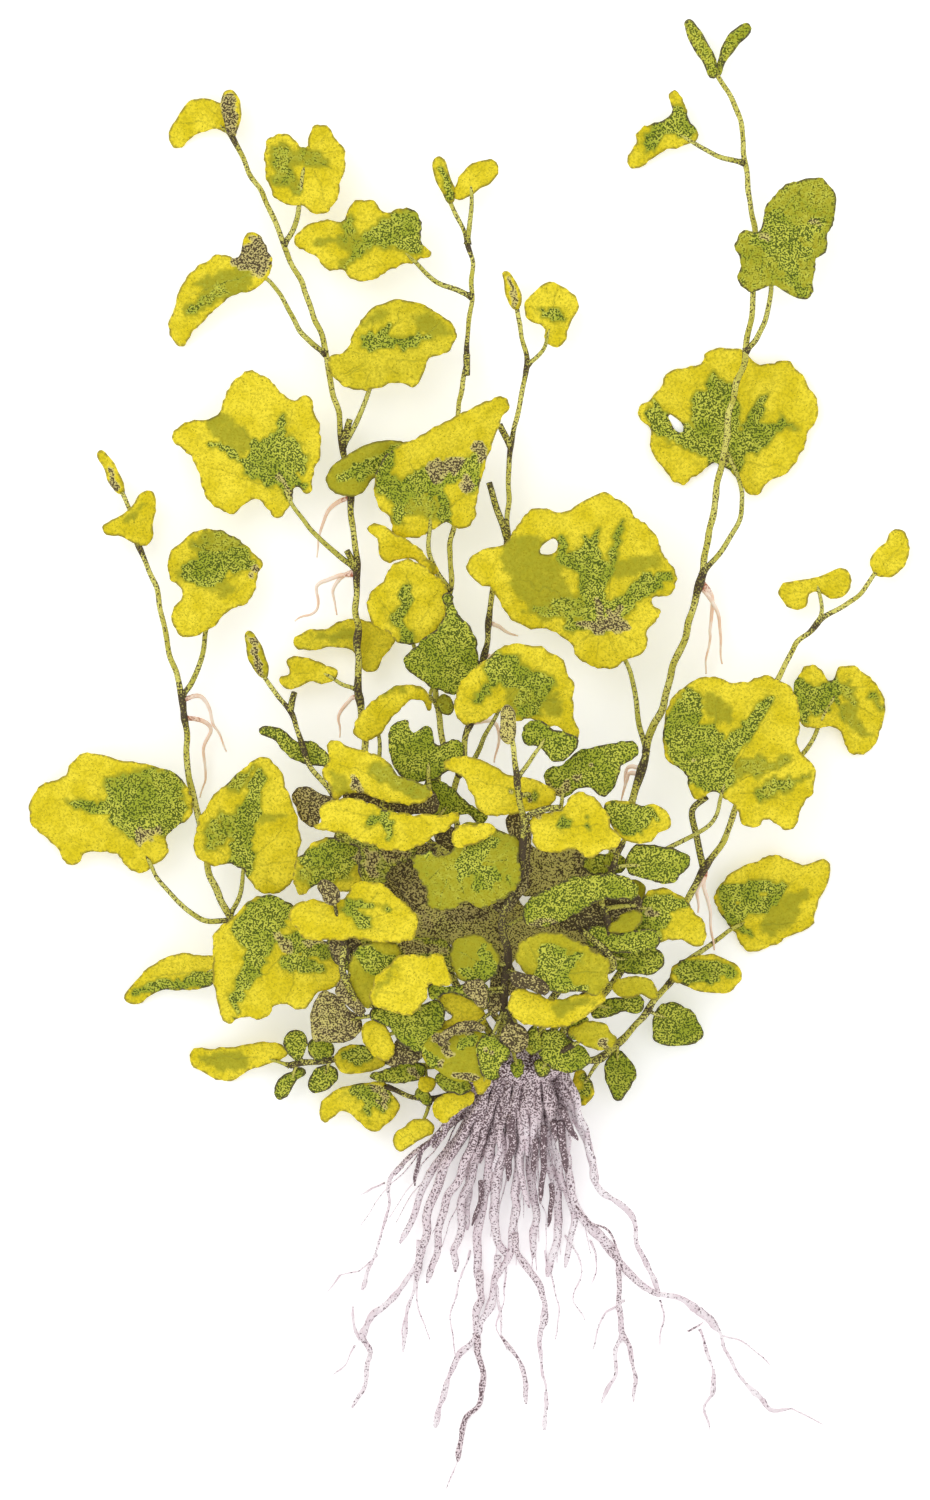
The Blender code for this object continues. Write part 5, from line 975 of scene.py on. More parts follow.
makeStem("stem_bud_front", {
    # below y -13 this stem runs under the leaves and takes painted shade
    "underLeafShade": -13.0, "radius": (1.2, 0.75), "start": (88, 42), "track": [(7.6, -50, 25), (8.5, -42, 29),
        (7.3, -34, 32.2), (8.9, -28.5, 32.8), (11.2, -24, 33.4), (11.8, -20, 35.8), (11.4, -13.5, 39),
        (10.3, -8, 41), (10.1, -3, 42.5), (9.3, 2, 43.5)],
    "buds": [
        {"level": 43.5, "lean": (0, 0.05), "thickness": 1.5, "edge": [(9, 1.2), (7.1, 2.2), (7, 5), (7.9, 9),
         (9.4, 8.4), (10.1, 6), (10.1, 3)], "tint": 0.3, "shade": 0.55},
    ],
    "leaves": [
        {"joint": (14.2, 1.6), "foot": (10.3, -5.6), "level": 38.5, "lean": (0, 0.1), "stalk": [(13.4, -1.6)],
         "edge": [(11, 3), (12.2, 5.2), (14.5, 6), (17, 4.5), (20, 3.6), (22.4, 1.8), (18.2, -2.4),
         (16, -0.8), (14.3, 0.8), (12.3, 1.1)], "tint": 0.82},
        {"joint": (5.6, -43.6), "foot": (8.4, -42.4), "level": 30.5, "lean": (0.05, 0.1),
         "edge": [(-3, -40), (-1.5, -37.3), (1, -36.5), (4, -37.5), (6.2, -39.5), (6.8, -42.5), (4.8, -45.8),
         (1.5, -46.6), (-1, -45.6), (-2.5, -43.5)], "tint": 0.48, "green": [(3.6, -39.6, 4.6, -44, 1.9),
         (-0.6, -43.4, 3, -45.4, 1.3)]},
        {"joint": (3, -52.5), "foot": (7.5, -50.2), "level": 25.5, "lean": (0.05, 0.05),
         "middle": (-0.5, -52), "edge": [(-6.5, -55), (-4, -54), (-2.5, -52.5), (-4.8, -50.5), (-4.5, -48.6),
         (-2, -48.3), (1, -49.5), (4, -52.5), (3.5, -55), (0, -54.4)], "tint": 0.1},
    ],
    "twigs": [[(11.6, -18), (12, -13.4, 39.6), (15.4, -11.8, 41.4), (19.2, -11.4, 42)]],
})
makeStem("shoot_left", {
    "radius": (1.05, 0.75), "start": (128, 40), "track": [(-4, -54.5, 23), (-13, -50, 27), (-20, -45.5, 29),
        (-24, -39, 30), (-24.6, -35, 30)],
    "leaves": [
        {"joint": (-19.6, -47.6), "foot": (-19, -46.2), "level": 30.5, "lean": (0.05, 0.1),
         "middle": (-19.5, -44), "edge": [(-23.2, -44.5), (-22.6, -41), (-20.5, -38.9), (-13, -39.2),
         (-14, -42.5), (-17.5, -46), (-19, -51), (-20, -51), (-21.8, -48.5)], "tint": 0.36,
         "green": [(-20, -40.6, -16.6, -43, 2.6, 0.7)]},
        {"joint": (-21.2, -54), "foot": (-12.5, -50.2), "level": 23, "lean": (0.1, 0), "stalk": [(-16, -52)],
         "edge": [(-28.5, -48), (-30, -50), (-30.8, -54), (-30, -57.5), (-27.5, -58.2), (-22.5, -57.5),
         (-20.4, -54), (-23, -51.5), (-26, -48.5)], "tint": 0.45, "shade": 0.64,
         "dark": [(-29.6, -49.6, -29.6, -55, 0.6), (-27.4, -48.8, -20.6, -54.4, 0.6, 1.3),
         (-28.4, -56, -23, -55.6, 1.6), (-29, -52, -24, -53, 0.3)]},
        {"joint": (-15.4, -56.5), "foot": (-7, -53), "level": 25, "lean": (0.05, 0.05),
         "edge": [(-20.5, -54.7), (-18.5, -53.6), (-16.5, -54), (-15.2, -56), (-14, -59.8), (-14.8, -61.6),
         (-17, -61.5), (-19, -60), (-20.6, -57.5)], "tint": 0.04},
    ],
    "twigs": [[(-24.2, -39), (-24.4, -43.5, 31), (-22.6, -48, 31), (-20.4, -52.8, 29)]],
})
makeStem("shoot_right", {
    "radius": (1.05, 0.75), "start": (48, 36), "track": [(22, -50.5, 23), (27.3, -43.5, 26),
        (28.8, -37, 27.5), (27.3, -30, 29), (29, -23.5, 31), (31.2, -18.6, 31.5)],
    "leaves": [
        {"joint": (31.6, -17.2), "foot": (31.2, -18.7), "level": 32.5, "lean": (-0.1, 0.1),
         "middle": (33.5, -14.5), "edge": [(27.6, -11), (29.5, -10), (32, -10.1), (35, -11), (38, -11),
         (41, -14.8), (38.5, -16.5), (36.5, -18.4), (33, -18.4), (31, -17.6), (29.2, -15)], "tint": 0.12,
         "green": [(29.6, -12.6, 34, -14, 2.6), (35, -11.6, 38, -13, 1.2)]},
        {"joint": (33.4, -23), "foot": (29.1, -23.3), "level": 29, "lean": (-0.15, 0.1),
         "edge": [(33, -19.4), (36, -18.8), (40, -19.2), (43, -20.3), (44.8, -22.3), (42.8, -24.6),
         (41.5, -26.2), (38.5, -26.4), (35.5, -25.5), (32, -24)], "tint": 0.7},
        {"joint": (33, -33.2), "foot": (28, -34.2), "level": 20, "lean": (-0.1, 0.1),
         "edge": [(31, -26.4), (34.8, -26), (36, -28.3), (34, -31), (31.2, -32.6), (30.6, -29.5)],
         "tint": 0.45},
        {"joint": (30.6, -42.2), "foot": (28, -41), "level": 23, "lean": (-0.1, 0.05),
         "edge": [(29.6, -38.6), (31, -36.8), (35, -36.6), (37, -38.5), (39.5, -41), (39, -43), (37, -44.7),
         (33, -44.5), (30.2, -43.6)], "tint": 0.85},
        {"joint": (30.6, -46.4), "foot": (25.9, -45.3), "level": 28, "lean": (-0.05, 0.05),
         "edge": [(29.6, -46.4), (31, -45.4), (34, -44.9), (37, -45.7), (38.2, -48), (37.8, -49.4),
         (35, -48.7), (32, -49.2), (29.9, -48.3)], "tint": 0.3},
        {"joint": (27.4, -51.6), "foot": (22.6, -49.8), "level": 20, "lean": (0, 0.1),
         "edge": [(26, -51), (28, -49.5), (31, -49.3), (35.5, -49.5), (35, -52), (31, -52.3), (28, -53.5),
         (25, -53)], "tint": 0.8},
    ],
    "twigs": [[(26.8, -44.4), (29.4, -43, 28.6), (27.6, -39.6, 29), (23.4, -36, 28)]],
})
makeStem("shoot_middle", {
    "radius": (0.95, 0.7), "track": [(5.2, -29.5, 32), (0, -23.5, 30.5), (-7, -18, 30), (-14, -13, 29.5),
        (-17.5, -10.5, 29)],
    "leaves": [
        {"joint": (-4.6, -12.6), "foot": (-8.5, -17), "level": 23, "lean": (0.02, 0.2), "middle": (-3, -10.5),
         "edge": [(-7.8, -6.2), (-5, -6), (-2, -8), (0.5, -10.5), (3, -12), (4.4, -12.9), (3.5, -14.6),
         (0.5, -12.9), (-6, -13.4), (-7.6, -9.5)], "tint": 0.7},
    ],
})
print("stems made:", len(stems))


# Large leaves, each with its stalk

def makeLeaf(node, slot, plan):
    piece = joinPieces("grown_" + node, [blade(plan, True), stalk(plan, stems[plan["stem"]]["smooth"])])
    finishPiece(piece, slot, node)


makeLeaf("leaf_far_left_folded", "leaf", {
    "stem": "stem_far_left", "joint": (-42, 35.5), "foot": (-55.7, 10.7), "level": 8.5, "lean": (-0.12, 0),
    "fold": (-42, 35.5, 187, 0.22, 0.35), "middle": (-49.5, 34), "stalk": [(-48.5, 29.5), (-51.7, 24),
        (-52.3, 20), (-53.7, 15.3)], "edge": [(-41.2, 35), (-40.6, 37.2), (-42.5, 39.7), (-46, 42.6),
        (-51, 44), (-54.5, 43), (-59.4, 37.8), (-58.6, 34.3), (-56.6, 32), (-58.5, 25.6), (-56.2, 22.8),
        (-50.5, 24.5), (-46.8, 28), (-44, 29.2), (-41.8, 32)], "tint": 0.1,
    "green": [(-56, 36.2, -44.5, 38, 2.2), (-56.5, 35, -50, 34.6, 1.9), (-54, 41, -47, 40.5, 3.2, 0.55),
        (-50, 33, -47.5, 32.5, 2, 0.4)], "dark": [(-42.6, 36.2, -42.2, 35.6, 0.7)],
})
makeLeaf("leaf_left_outer", "leaf", {
    "stem": "stem_far_left", "joint": (-62.6, -22.6), "foot": (-46.6, -34), "level": 6, "lean": (0.22, 0.04),
    "cup": -0.006, "fold": (-62.6, -22, 158, 0.08, 0.12), "rests": True, "stalk": [(-59, -29), (-52, -33.6)],
    "edge": [(-62.5, -23.2), (-65.5, -24.6), (-69.5, -20.9), (-75.5, -20.8), (-79, -23), (-81.2, -20),
        (-87.2, -13.2), (-85.3, -7.5), (-80.5, -5.3), (-77, -1), (-70, -1.8), (-64.5, -2.6), (-58, -4.5),
        (-55, -8), (-54.6, -13), (-59.2, -16.8), (-59.8, -21.5)], "tint": 0.05,
    "green": [(-68, -11, -60, -13, 4.2), (-71, -7, -59, -7, 3.4, 0.62), (-66, -16.4, -72, -12, 1.5),
        (-72, -12, -79.5, -10.3, 1.1), (-58, -8.5, -59.5, -14, 1.8, 0.8)],
    "dark": [(-65.5, -17.2, -60.5, -16.4, 1, 0.7)],
})
makeLeaf("leaf_left_inner", "leaf", {
    "stem": "stem_far_left", "joint": (-44.3, -23.4), "foot": (-47, -33), "level": 15, "lean": (0.05, 0.16),
    "cup": 0.004, "fold": (-44.3, -24, 84, 0.1, 0.12), "stalk": [(-44.6, -28.5, 12.8)],
    "edge": [(-44.3, -24.2), (-47, -22.6), (-50.5, -22.9), (-53.4, -21), (-53.6, -15.5), (-50.5, -9.5),
        (-46.5, -5.6), (-43, -2.4), (-39.5, -1.2), (-36.8, -4.5), (-35.2, -9), (-33.2, -15), (-33.2, -21),
        (-35.5, -27.5), (-40, -28.4), (-43, -26.5)], "tint": 0.05, "green": [(-44.6, -23, -43.6, -14, 2.5),
        (-43.6, -14, -40.6, -4.5, 1.7), (-49.5, -17, -45, -13, 3, 0.6), (-42, -13.6, -36, -13, 1.1, 0.42),
        (-46, -7, -42.5, -3.6, 1.7, 0.6)],
})
makeLeaf("leaf_low_left_large", "leaf", {
    "stem": "stem_far_left_base", "joint": (-31.5, -38), "foot": (-39, -38.8), "level": 19,
    "lean": (0.18, 0.02), "cup": -0.003, "fold": (-31.5, -38, 218, 0.1, 0.1), "stalk": [(-34.5, -39.5, 17)],
    "edge": [(-31, -37), (-34.4, -31), (-38, -28.9), (-42, -29.4), (-46, -33), (-49.7, -36.5), (-50, -42),
        (-49.6, -48.5), (-47.5, -54.3), (-44.5, -53.2), (-40.5, -53.4), (-37.5, -50.8), (-32.5, -51.4),
        (-29, -48.4), (-24.8, -45.6), (-24.6, -41.2), (-27, -38.6)], "tint": 0.1,
    "green": [(-38, -31, -42, -36, 4), (-40, -38, -46, -50, 2), (-46, -50, -45.6, -53, 0.9),
        (-36, -38, -27.5, -38.2, 2.8), (-35, -42, -28.8, -43.2, 1.8)],
        "dark": [(-37.5, -36.5, -35, -39.5, 1.1, 0.6), (-31, -38.4, -26, -38, 0.8, 0.6)],
})
makeLeaf("leaf_left_heart", "leaf", {
    "stem": "stem_left", "joint": (-31.8, 118.6), "foot": (-36.2, 101), "level": 9, "lean": (-0.12, 0.16),
    "cup": 0.006, "fold": (-31.8, 120, -72, 0.1, 0.1), "stalk": [(-33, 109, 8.2), (-34.4, 104)],
    "edge": [(-32.3, 120), (-34.5, 122.5), (-37.7, 122.7), (-39.7, 120), (-39.8, 116.5), (-39.2, 112.5),
        (-37, 109.4), (-33, 108.4), (-28.8, 107), (-26.3, 108.5), (-25, 113), (-23.8, 118), (-25.5, 121.7),
        (-28.3, 124.8), (-30.8, 123.2)], "tint": 0.05, "green": [(-36.8, 118.6, -35, 113.6, 2.6, 0.58),
        (-32.5, 118.6, -27.6, 117, 2, 0.55), (-38, 113.5, -37, 114, 1.2, 0.6),
        (-34.4, 111.8, -33.2, 112.4, 1, 0.6)],
})
makeLeaf("leaf_left_drooping", "leaf", {
    "stem": "stem_left", "joint": (-40.6, 95.6), "foot": (-28.2, 79), "lean": (0.36, 0.18), "cup": -0.01,
    "fold": (-40, 95, 218, -0.1, 0.1), "rests": True, "middle": (-48.5, 93),
    "stalk": [(-38.7, 93.3), (-34.3, 86.3), (-32.4, 83)], "edge": [(-40.2, 93), (-47.5, 90), (-51, 86.8),
        (-54.5, 83.4), (-57.3, 80.8), (-59.2, 84), (-58, 88.5), (-55.5, 94.5), (-53, 96.8), (-48.5, 98.9),
        (-46, 98), (-42.5, 103.2), (-39.3, 100), (-38.7, 96)], "tint": 0.05,
    "green": [(-56, 87, -49, 91.4, 1.7, 0.6), (-54, 93, -44, 94.4, 1.6, 0.5),
        (-50, 89.6, -45, 92.6, 1.4, 0.5)], "dark": [(-43.6, 98.2, -41, 99.6, 2.8),
        (-42, 101.4, -41, 97.2, 2.1)],
})
makeLeaf("leaf_left_round", "leaf", {
    "stem": "stem_left", "joint": (-17.5, 78.5), "foot": (-24.3, 60.6), "level": 9, "lean": (0.05, 0.14),
    "cup": 0.007, "fold": (-17.5, 78, 18, 0.08, 0.2), "stalk": [(-18.8, 72.5, 7.4), (-21.3, 65.5)],
    "edge": [(-27.4, 78), (-24, 79.6), (-22.3, 83), (-20, 86.7), (-14, 89.8), (-8, 88.6), (-4, 86),
        (-1.8, 84), (-2.5, 80.3), (-7, 78), (-10, 72.7), (-13, 73.3), (-18, 72), (-24, 72.6), (-26.4, 75)],
    "tint": 0.2, "green": [(-19.6, 81.4, -11.6, 81, 1.3), (-17.6, 81, -15.2, 84.8, 1),
        (-12, 81, -7.4, 82.4, 1.3, 0.8), (-8, 85.6, -3.6, 83, 2.2, 0.45), (-19.6, 85, -15, 87.6, 1, 0.42)],
})
makeLeaf("leaf_left_lobed", "leaf", {
    "stem": "stem_left", "joint": (-35.2, 51.2), "foot": (-22, 36), "level": 8, "lean": (0.16, 0.05),
    "cup": 0.003, "fold": (-34.6, 50, 122, 0.08, 0.12), "stalk": [(-34, 48.6, 9.6), (-30, 43)],
    "edge": [(-34.6, 49.8), (-37.5, 46.4), (-41.8, 50), (-47, 47.2), (-50.8, 49.5), (-53.6, 56),
        (-55.5, 59.5), (-58.2, 62), (-56.8, 64.8), (-49.5, 67), (-47.5, 71.5), (-43.2, 75.7), (-38.5, 73.2),
        (-35, 70), (-31.2, 70.5), (-30, 67.5), (-28.7, 62.5), (-30.2, 55), (-31.2, 51.5), (-33.6, 52.4)],
    "tint": 0.02, "green": [(-39.6, 57.4, -36, 57.6, 4.2), (-38.4, 60, -36.2, 66, 1.4),
        (-41, 58, -42.4, 61.6, 1.2), (-35, 58, -34.4, 61, 1.6), (-37, 55, -35.4, 51.2, 1.5),
        (-44, 57.8, -51, 61.6, 0.9), (-34, 53.4, -31.4, 52.4, 1), (-49, 65, -45, 62, 2.6, 0.42)],
    "dark": [(-37.5, 54.8, -35, 51, 0.9, 0.55)],
})
makeLeaf("leaf_middle_long", "leaf", {
    "stem": "stem_middle", "joint": (-10.3, 98.8), "foot": (1.2, 90.5), "level": 9, "lean": (0.1, 0.14),
    "cup": -0.004, "fold": (-9, 100, 174, -0.1, 0.16), "stalk": [(-6, 93.8)],
    "edge": [(-9.8, 97.6), (-6.8, 98.9), (-8.5, 101), (-8.6, 106), (-11, 108), (-15.5, 107.5), (-18, 109.3),
        (-21, 109.9), (-25, 105.8), (-29.5, 105.6), (-34, 101.5), (-30.5, 98.9), (-28, 96.3), (-24.5, 95.7),
        (-22.5, 94), (-18.5, 93.8), (-15.5, 95.5)], "tint": 0.05, "green": [(-10.4, 104, -19, 102, 3.6, 0.64),
        (-19, 102, -24.4, 96.8, 1.8, 0.6), (-19, 101.6, -29.6, 101.4, 1.6, 0.52),
        (-10.4, 106.2, -17, 105.4, 2, 0.6), (-23.6, 105, -22.6, 103.8, 1.4, 0.6),
        (-14, 100.6, -9.6, 100.4, 1.5, 0.7)],
})
makeLeaf("leaf_middle_folded", "green_leaf", {
    "stem": "stem_middle", "joint": (-7.5, 45), "foot": (-3.1, 31.8), "level": 12.5, "lean": (0, 0.06),
    "fold": (-5, 57, 24, 0.5, -0.05), "middle": (-4, 55.5), "stalk": [(-7, 40, 11.4), (-5.6, 35.8, 10.6)],
    "edge": [(8.7, 69.3), (7, 70.4), (3, 69), (-3, 66), (-10, 62), (-13.5, 60.5), (-17, 57), (-18, 52),
        (-17, 48), (-14.5, 45.5), (-13.8, 42.8), (-10, 42.2), (-7, 43.4), (-3.7, 45.2), (0, 44.2), (1.8, 46),
        (2.4, 50), (3.6, 54.5), (5, 60), (7.3, 66)], "tint": 0.12, "green": [(-10, 52.6, 1.4, 57.6, 2.6),
        (1.2, 53, 3.4, 60, 1.6), (-14.8, 59, -16.6, 54.4, 1.9, 0.8), (-16.4, 54, -13.4, 50.8, 2.2, 0.7),
        (-5, 51.4, -3.8, 46, 1.2), (-12.8, 47.4, -13.6, 45.8, 1), (-11, 49.6, -6, 48.4, 2.6, 0.55)],
    "dark": [(-5.6, 55.6, -1.2, 57.4, 1.5), (2.6, 60.4, 3.2, 58.6, 1.1), (-0.4, 55, 0.2, 52.4, 1)],
})
makeLeaf("leaf_middle_oval", "leaf", {
    "stem": "stem_middle", "joint": (-11.5, 59.5), "foot": (-2.1, 58), "level": 10.2, "lean": (-0.02, 0.12),
    "cup": -0.004, "stalk": [(-7, 58.6, 9.2)], "edge": [(-27.4, 55), (-24.5, 58.3), (-20, 60.8), (-14, 61.6),
        (-10.5, 61), (-11, 58), (-14, 56), (-18.4, 54), (-20.5, 51.3), (-25.8, 51.3)], "tint": 0.42,
    "green": [(-25, 54, -14, 58.6, 2.4, 0.66), (-16, 59.6, -11, 60, 1.6, 0.75)],
})
makeLeaf("leaf_middle_small", "leaf", {
    "stem": "stem_middle", "joint": (-6.6, 35.8), "foot": (-3.3, 30), "level": 13, "lean": (0.05, 0.3),
    "middle": (-12.5, 39.8), "stalk": [(-5.2, 33.6)], "edge": [(-19, 44.5), (-12.5, 42.3), (-10, 41),
        (-8, 38.8), (-5.6, 35), (-10, 37.8), (-13, 38), (-15.5, 37.2), (-17.8, 42)], "tint": 0.04,
    "green": [(-7.6, 38, -5.8, 35.4, 0.6, 0.42)],
})
makeLeaf("leaf_middle_upright", "leaf", {
    "stem": "stem_middle", "joint": (-11.2, 22.6), "foot": (-5.3, 14), "level": 15, "lean": (-0.06, 0.2),
    "cup": 0.005, "fold": (-11, 22, 95, 0.12, 0.12), "stalk": [(-8.6, 17.5, 12)],
    "edge": [(-19.3, 30.2), (-16.5, 33.7), (-14.5, 36.6), (-13, 37.6), (-9.5, 37.5), (-6.5, 35.5), (-4, 32.8),
        (-3.7, 28), (-5.5, 23.5), (-9, 21.3), (-11, 20.8), (-15.5, 23.3), (-18.8, 25.5)], "tint": 0.05,
    "green": [(-11.4, 33.6, -11.8, 29, 1.1), (-11.8, 29, -13.6, 26, 1.2), (-15.4, 27, -13.6, 25.6, 1.1),
        (-13.2, 25.6, -10.6, 20.4, 1.4)],
})
makeLeaf("leaf_middle_green", "green_leaf", {
    "stem": "stem_middle", "joint": (-5.6, 12.8), "foot": (-5.9, 8.6), "level": 16.5, "lean": (0.1, 0.1),
    "cup": 0.004, "stalk": [(-6.8, 11.2, 13.5)], "edge": [(-3.7, 31.3), (-1.7, 27.5), (0.8, 24.5),
        (2.8, 19.5), (2, 14.5), (-1.5, 11.2), (-5.6, 12), (-9, 14.5), (-12.5, 17.5), (-10, 20.5),
        (-6.5, 23.5), (-4.2, 26.5)], "tint": 0.78, "green": [(-6, 16, 0.6, 18, 2.6, 1)],
})
makeLeaf("leaf_right_side", "leaf", {
    "stem": "stem_right", "joint": (44.8, 122.9), "foot": (55.6, 117.2), "lean": (0.32, 0.1),
    "fold": (45, 123, 208, -0.12, 0.12), "rests": True, "middle": (41, 123),
    "stalk": [(49, 119.5), (52, 118.2)], "edge": [(46.4, 122.2), (43, 120.8), (38, 118.8), (34, 116.3),
        (32.5, 117.5), (34.2, 121.3), (34.3, 123.4), (37, 124.9), (41.2, 127.3), (41.2, 131.4), (44.1, 128.8),
        (44.9, 126)], "tint": 0.05, "green": [(45, 124.4, 38.4, 124.6, 1.8), (38.4, 124, 36, 120, 1.3),
        (44.4, 126, 42.4, 127.2, 1.3), (42.6, 129, 44, 126.4, 0.8, 0.6)],
})
makeLeaf("leaf_right_upper", "green_leaf", {
    "stem": "stem_right", "joint": (59.2, 102), "foot": (56.3, 79.5), "level": 11.5, "lean": (0.02, 0.08),
    "cup": 0.004, "fold": (58.5, 103, -28, 0.12, 0.16), "stalk": [(60.9, 91), (60.5, 87.5), (58.5, 83)],
    "edge": [(58.5, 103.3), (60, 108.4), (62.6, 111.5), (66, 113.5), (72, 113.4), (74, 106.3), (72.3, 102.3),
        (71.8, 99.2), (70, 98), (69.7, 94), (68.4, 90), (66.3, 90), (61, 92.5), (56.5, 91.5), (54.9, 93),
        (54.8, 98), (53.7, 100), (55.2, 103.2)], "tint": 0.56, "green": [(60, 102.6, 63.6, 102, 2.8),
        (63.6, 102, 71.2, 105.4, 1.3), (63, 101, 68.6, 99, 2), (64, 98.4, 67, 91, 1.5),
        (60.4, 104, 62.6, 105.4, 1.8)], "dark": [(69, 105.6, 71, 105, 0.7, 0.6),
        (59, 103.2, 60.6, 101.6, 0.8, 0.42)],
})
makeLeaf("leaf_right_round", "leaf", {
    "stem": "stem_right", "joint": (52.5, 58.4), "foot": (47.4, 34.8), "level": 4.5, "lean": (0.05, -0.02),
    "cup": 0.003, "fold": (52, 58, 90, 0.06, 0.06), "rests": True, "stalk": [(55.3, 52, 4.6),
        (54.4, 45.5, 5.6)], "edge": [(52.4, 56.4), (50, 57.2), (45.5, 54.5), (43, 53.2), (39.8, 55.6),
        (37.2, 60.5), (36.6, 64.2), (34.6, 68), (39, 72), (40, 75.2), (47, 77.3), (49.5, 80.2), (55, 80),
        (59, 76.9), (64.5, 77.8), (67.6, 74.4), (70.6, 68.5), (68.5, 63), (65, 56), (61, 53.5), (58, 50.8),
        (55, 53)], "holes": [[(40.8, 67), (41.6, 66.8), (43.6, 63.8), (42.6, 63.6), (41.2, 65.5)]],
    "tint": 0.08, "green": [(37.8, 69, 39, 65, 2), (39, 65, 44.4, 62.2, 2), (51.6, 58.4, 48.6, 63, 3),
        (48.6, 63, 46.6, 71, 2.8, 0.7), (53, 60, 53.2, 72.4, 2), (50.4, 66, 50, 74.6, 2.4, 0.66),
        (53.4, 58, 57, 63, 2.4), (57, 63, 59.6, 71, 1.8, 0.8), (57, 61.4, 63.6, 65.6, 2, 0.8),
        (63.6, 65.6, 66, 64, 1.2, 0.6), (44, 61.6, 48, 60, 1.9, 0.8)],
    "dark": [(51.4, 60, 52.2, 57.4, 0.8, 0.42)],
})
makeLeaf("leaf_right_largest", "leaf", {
    "stem": "stem_right", "joint": (27.5, 25.2), "foot": (36.2, -0.5), "level": 13, "lean": (0.02, 0.07),
    "cup": 0.004, "fold": (27.5, 25, 95, 0.04, 0.1), "middle": (24, 33), "stalk": [(32.8, 16.5, 11.6),
        (34.2, 8.5)], "edge": [(0.4, 35.5), (2, 39), (8.5, 41.7), (10.5, 45), (14, 48), (20, 47.5),
        (27, 51.2), (30.5, 50), (34, 46.5), (38, 42.8), (39.3, 39), (42, 34.5), (41, 31.2), (37.5, 30),
        (39, 27), (36, 23.3), (36.3, 21), (31.5, 17.2), (27, 16.3), (23, 18), (19.3, 22.9), (11, 25),
        (7.5, 28), (5.8, 31.6)], "holes": [[(15, 39.4), (16.5, 41.6), (18, 42), (18.3, 40), (17.5, 39.2),
        (16, 39)]], "tint": 0.04, "green": [(27, 26, 25.4, 33, 2.8), (25.4, 33, 24.8, 40, 2.4),
        (25, 37.6, 19.8, 37.8, 2.6), (19.4, 38.6, 18.7, 44, 1.1), (24.6, 39.6, 26.6, 44, 1.2),
        (27.4, 33, 31.4, 45.4, 1.5, 0.66), (29, 27.4, 34, 30.6, 2), (34, 31.6, 40.6, 35, 1.9),
        (12, 38, 16, 31, 5.2, 0.42), (14, 28, 25, 29, 2.8, 0.6), (31, 36, 38.4, 37.8, 2, 0.42),
        (19.6, 24, 23.6, 25, 1.3, 0.8)], "dark": [(22.4, 25, 29, 24.6, 1), (28.4, 25.4, 31.6, 28.8, 0.6),
        (29.4, 25.4, 33.4, 25, 0.6), (26.4, 29.6, 27.4, 25.4, 1, 0.7)],
})
makeLeaf("leaf_far_right", "leaf", {
    "stem": "stem_far_right", "joint": (73.3, 12.6), "foot": (56.6, -4), "lean": (-0.16, 0.12), "cup": 0.005,
    "fold": (73.3, 13.8, -62, 0.1, 0.16), "rests": True, "stalk": [(71, 5.5, 3), (67, -1, 3.4), (62, -4, 5)],
    "edge": [(73.3, 13.8), (70, 17), (67, 15.5), (65.4, 12), (66, 8), (68, 4.8), (71, 4.3), (74.5, 4),
        (76, 0.5), (79, -1), (82, 1.5), (83.8, 6), (83.5, 11), (81, 14.6), (77, 17), (74.5, 16.6)],
    "tint": 0.1, "green": [(66.4, 12.6, 68, 6.4, 2), (67, 10.4, 73.4, 13, 1.4), (74, 12.8, 74.4, 9.2, 0.9),
        (68.6, 9, 71.6, 9, 1.8), (76.2, 12, 78, 9, 1.4, 0.56), (76, 8, 80, 3, 1.5, 0.52),
        (81.6, 10.6, 82.6, 9, 1, 0.6)],
})
makeLeaf("leaf_right_large", "leaf", {
    "stem": "stem_right", "joint": (51, -7.8), "foot": (30.3, -24), "level": 15, "lean": (0.05, 0.1),
    "cup": 0.004, "fold": (50, -9, 72, 0.1, 0.08), "stalk": [(49, -14.7), (43.7, -18), (39.7, -20),
        (35.7, -21.3)], "edge": [(49.4, -8.4), (46.3, -9.8), (43.8, -4.8), (40, -1.5), (39.6, 5), (42, 11.5),
        (48, 14.5), (54, 13.4), (61, 14.5), (66.5, 9), (66.2, 1.5), (69.9, -6), (67, -11.5), (64.8, -15.8),
        (60, -13.8), (56.8, -15.4), (53.5, -11)], "tint": 0.04, "green": [(44.8, 10.4, 43, 3, 3.6),
        (43.6, 3, 46, -3, 4.2), (46, -3, 50, -6, 3), (48.6, 4.6, 50.4, -3, 2.6), (51.6, -1.6, 60.6, 10, 1.7),
        (59, 8, 56, 3.6, 1.4), (59.6, -8.4, 68, -5.6, 1.9, 0.6), (54, -4, 64, -2.4, 1.9, 0.55),
        (48, 11, 51, 7, 2.2, 0.45)], "dark": [(44.6, -1.4, 47, -2.8, 0.5, 0.6)],
})
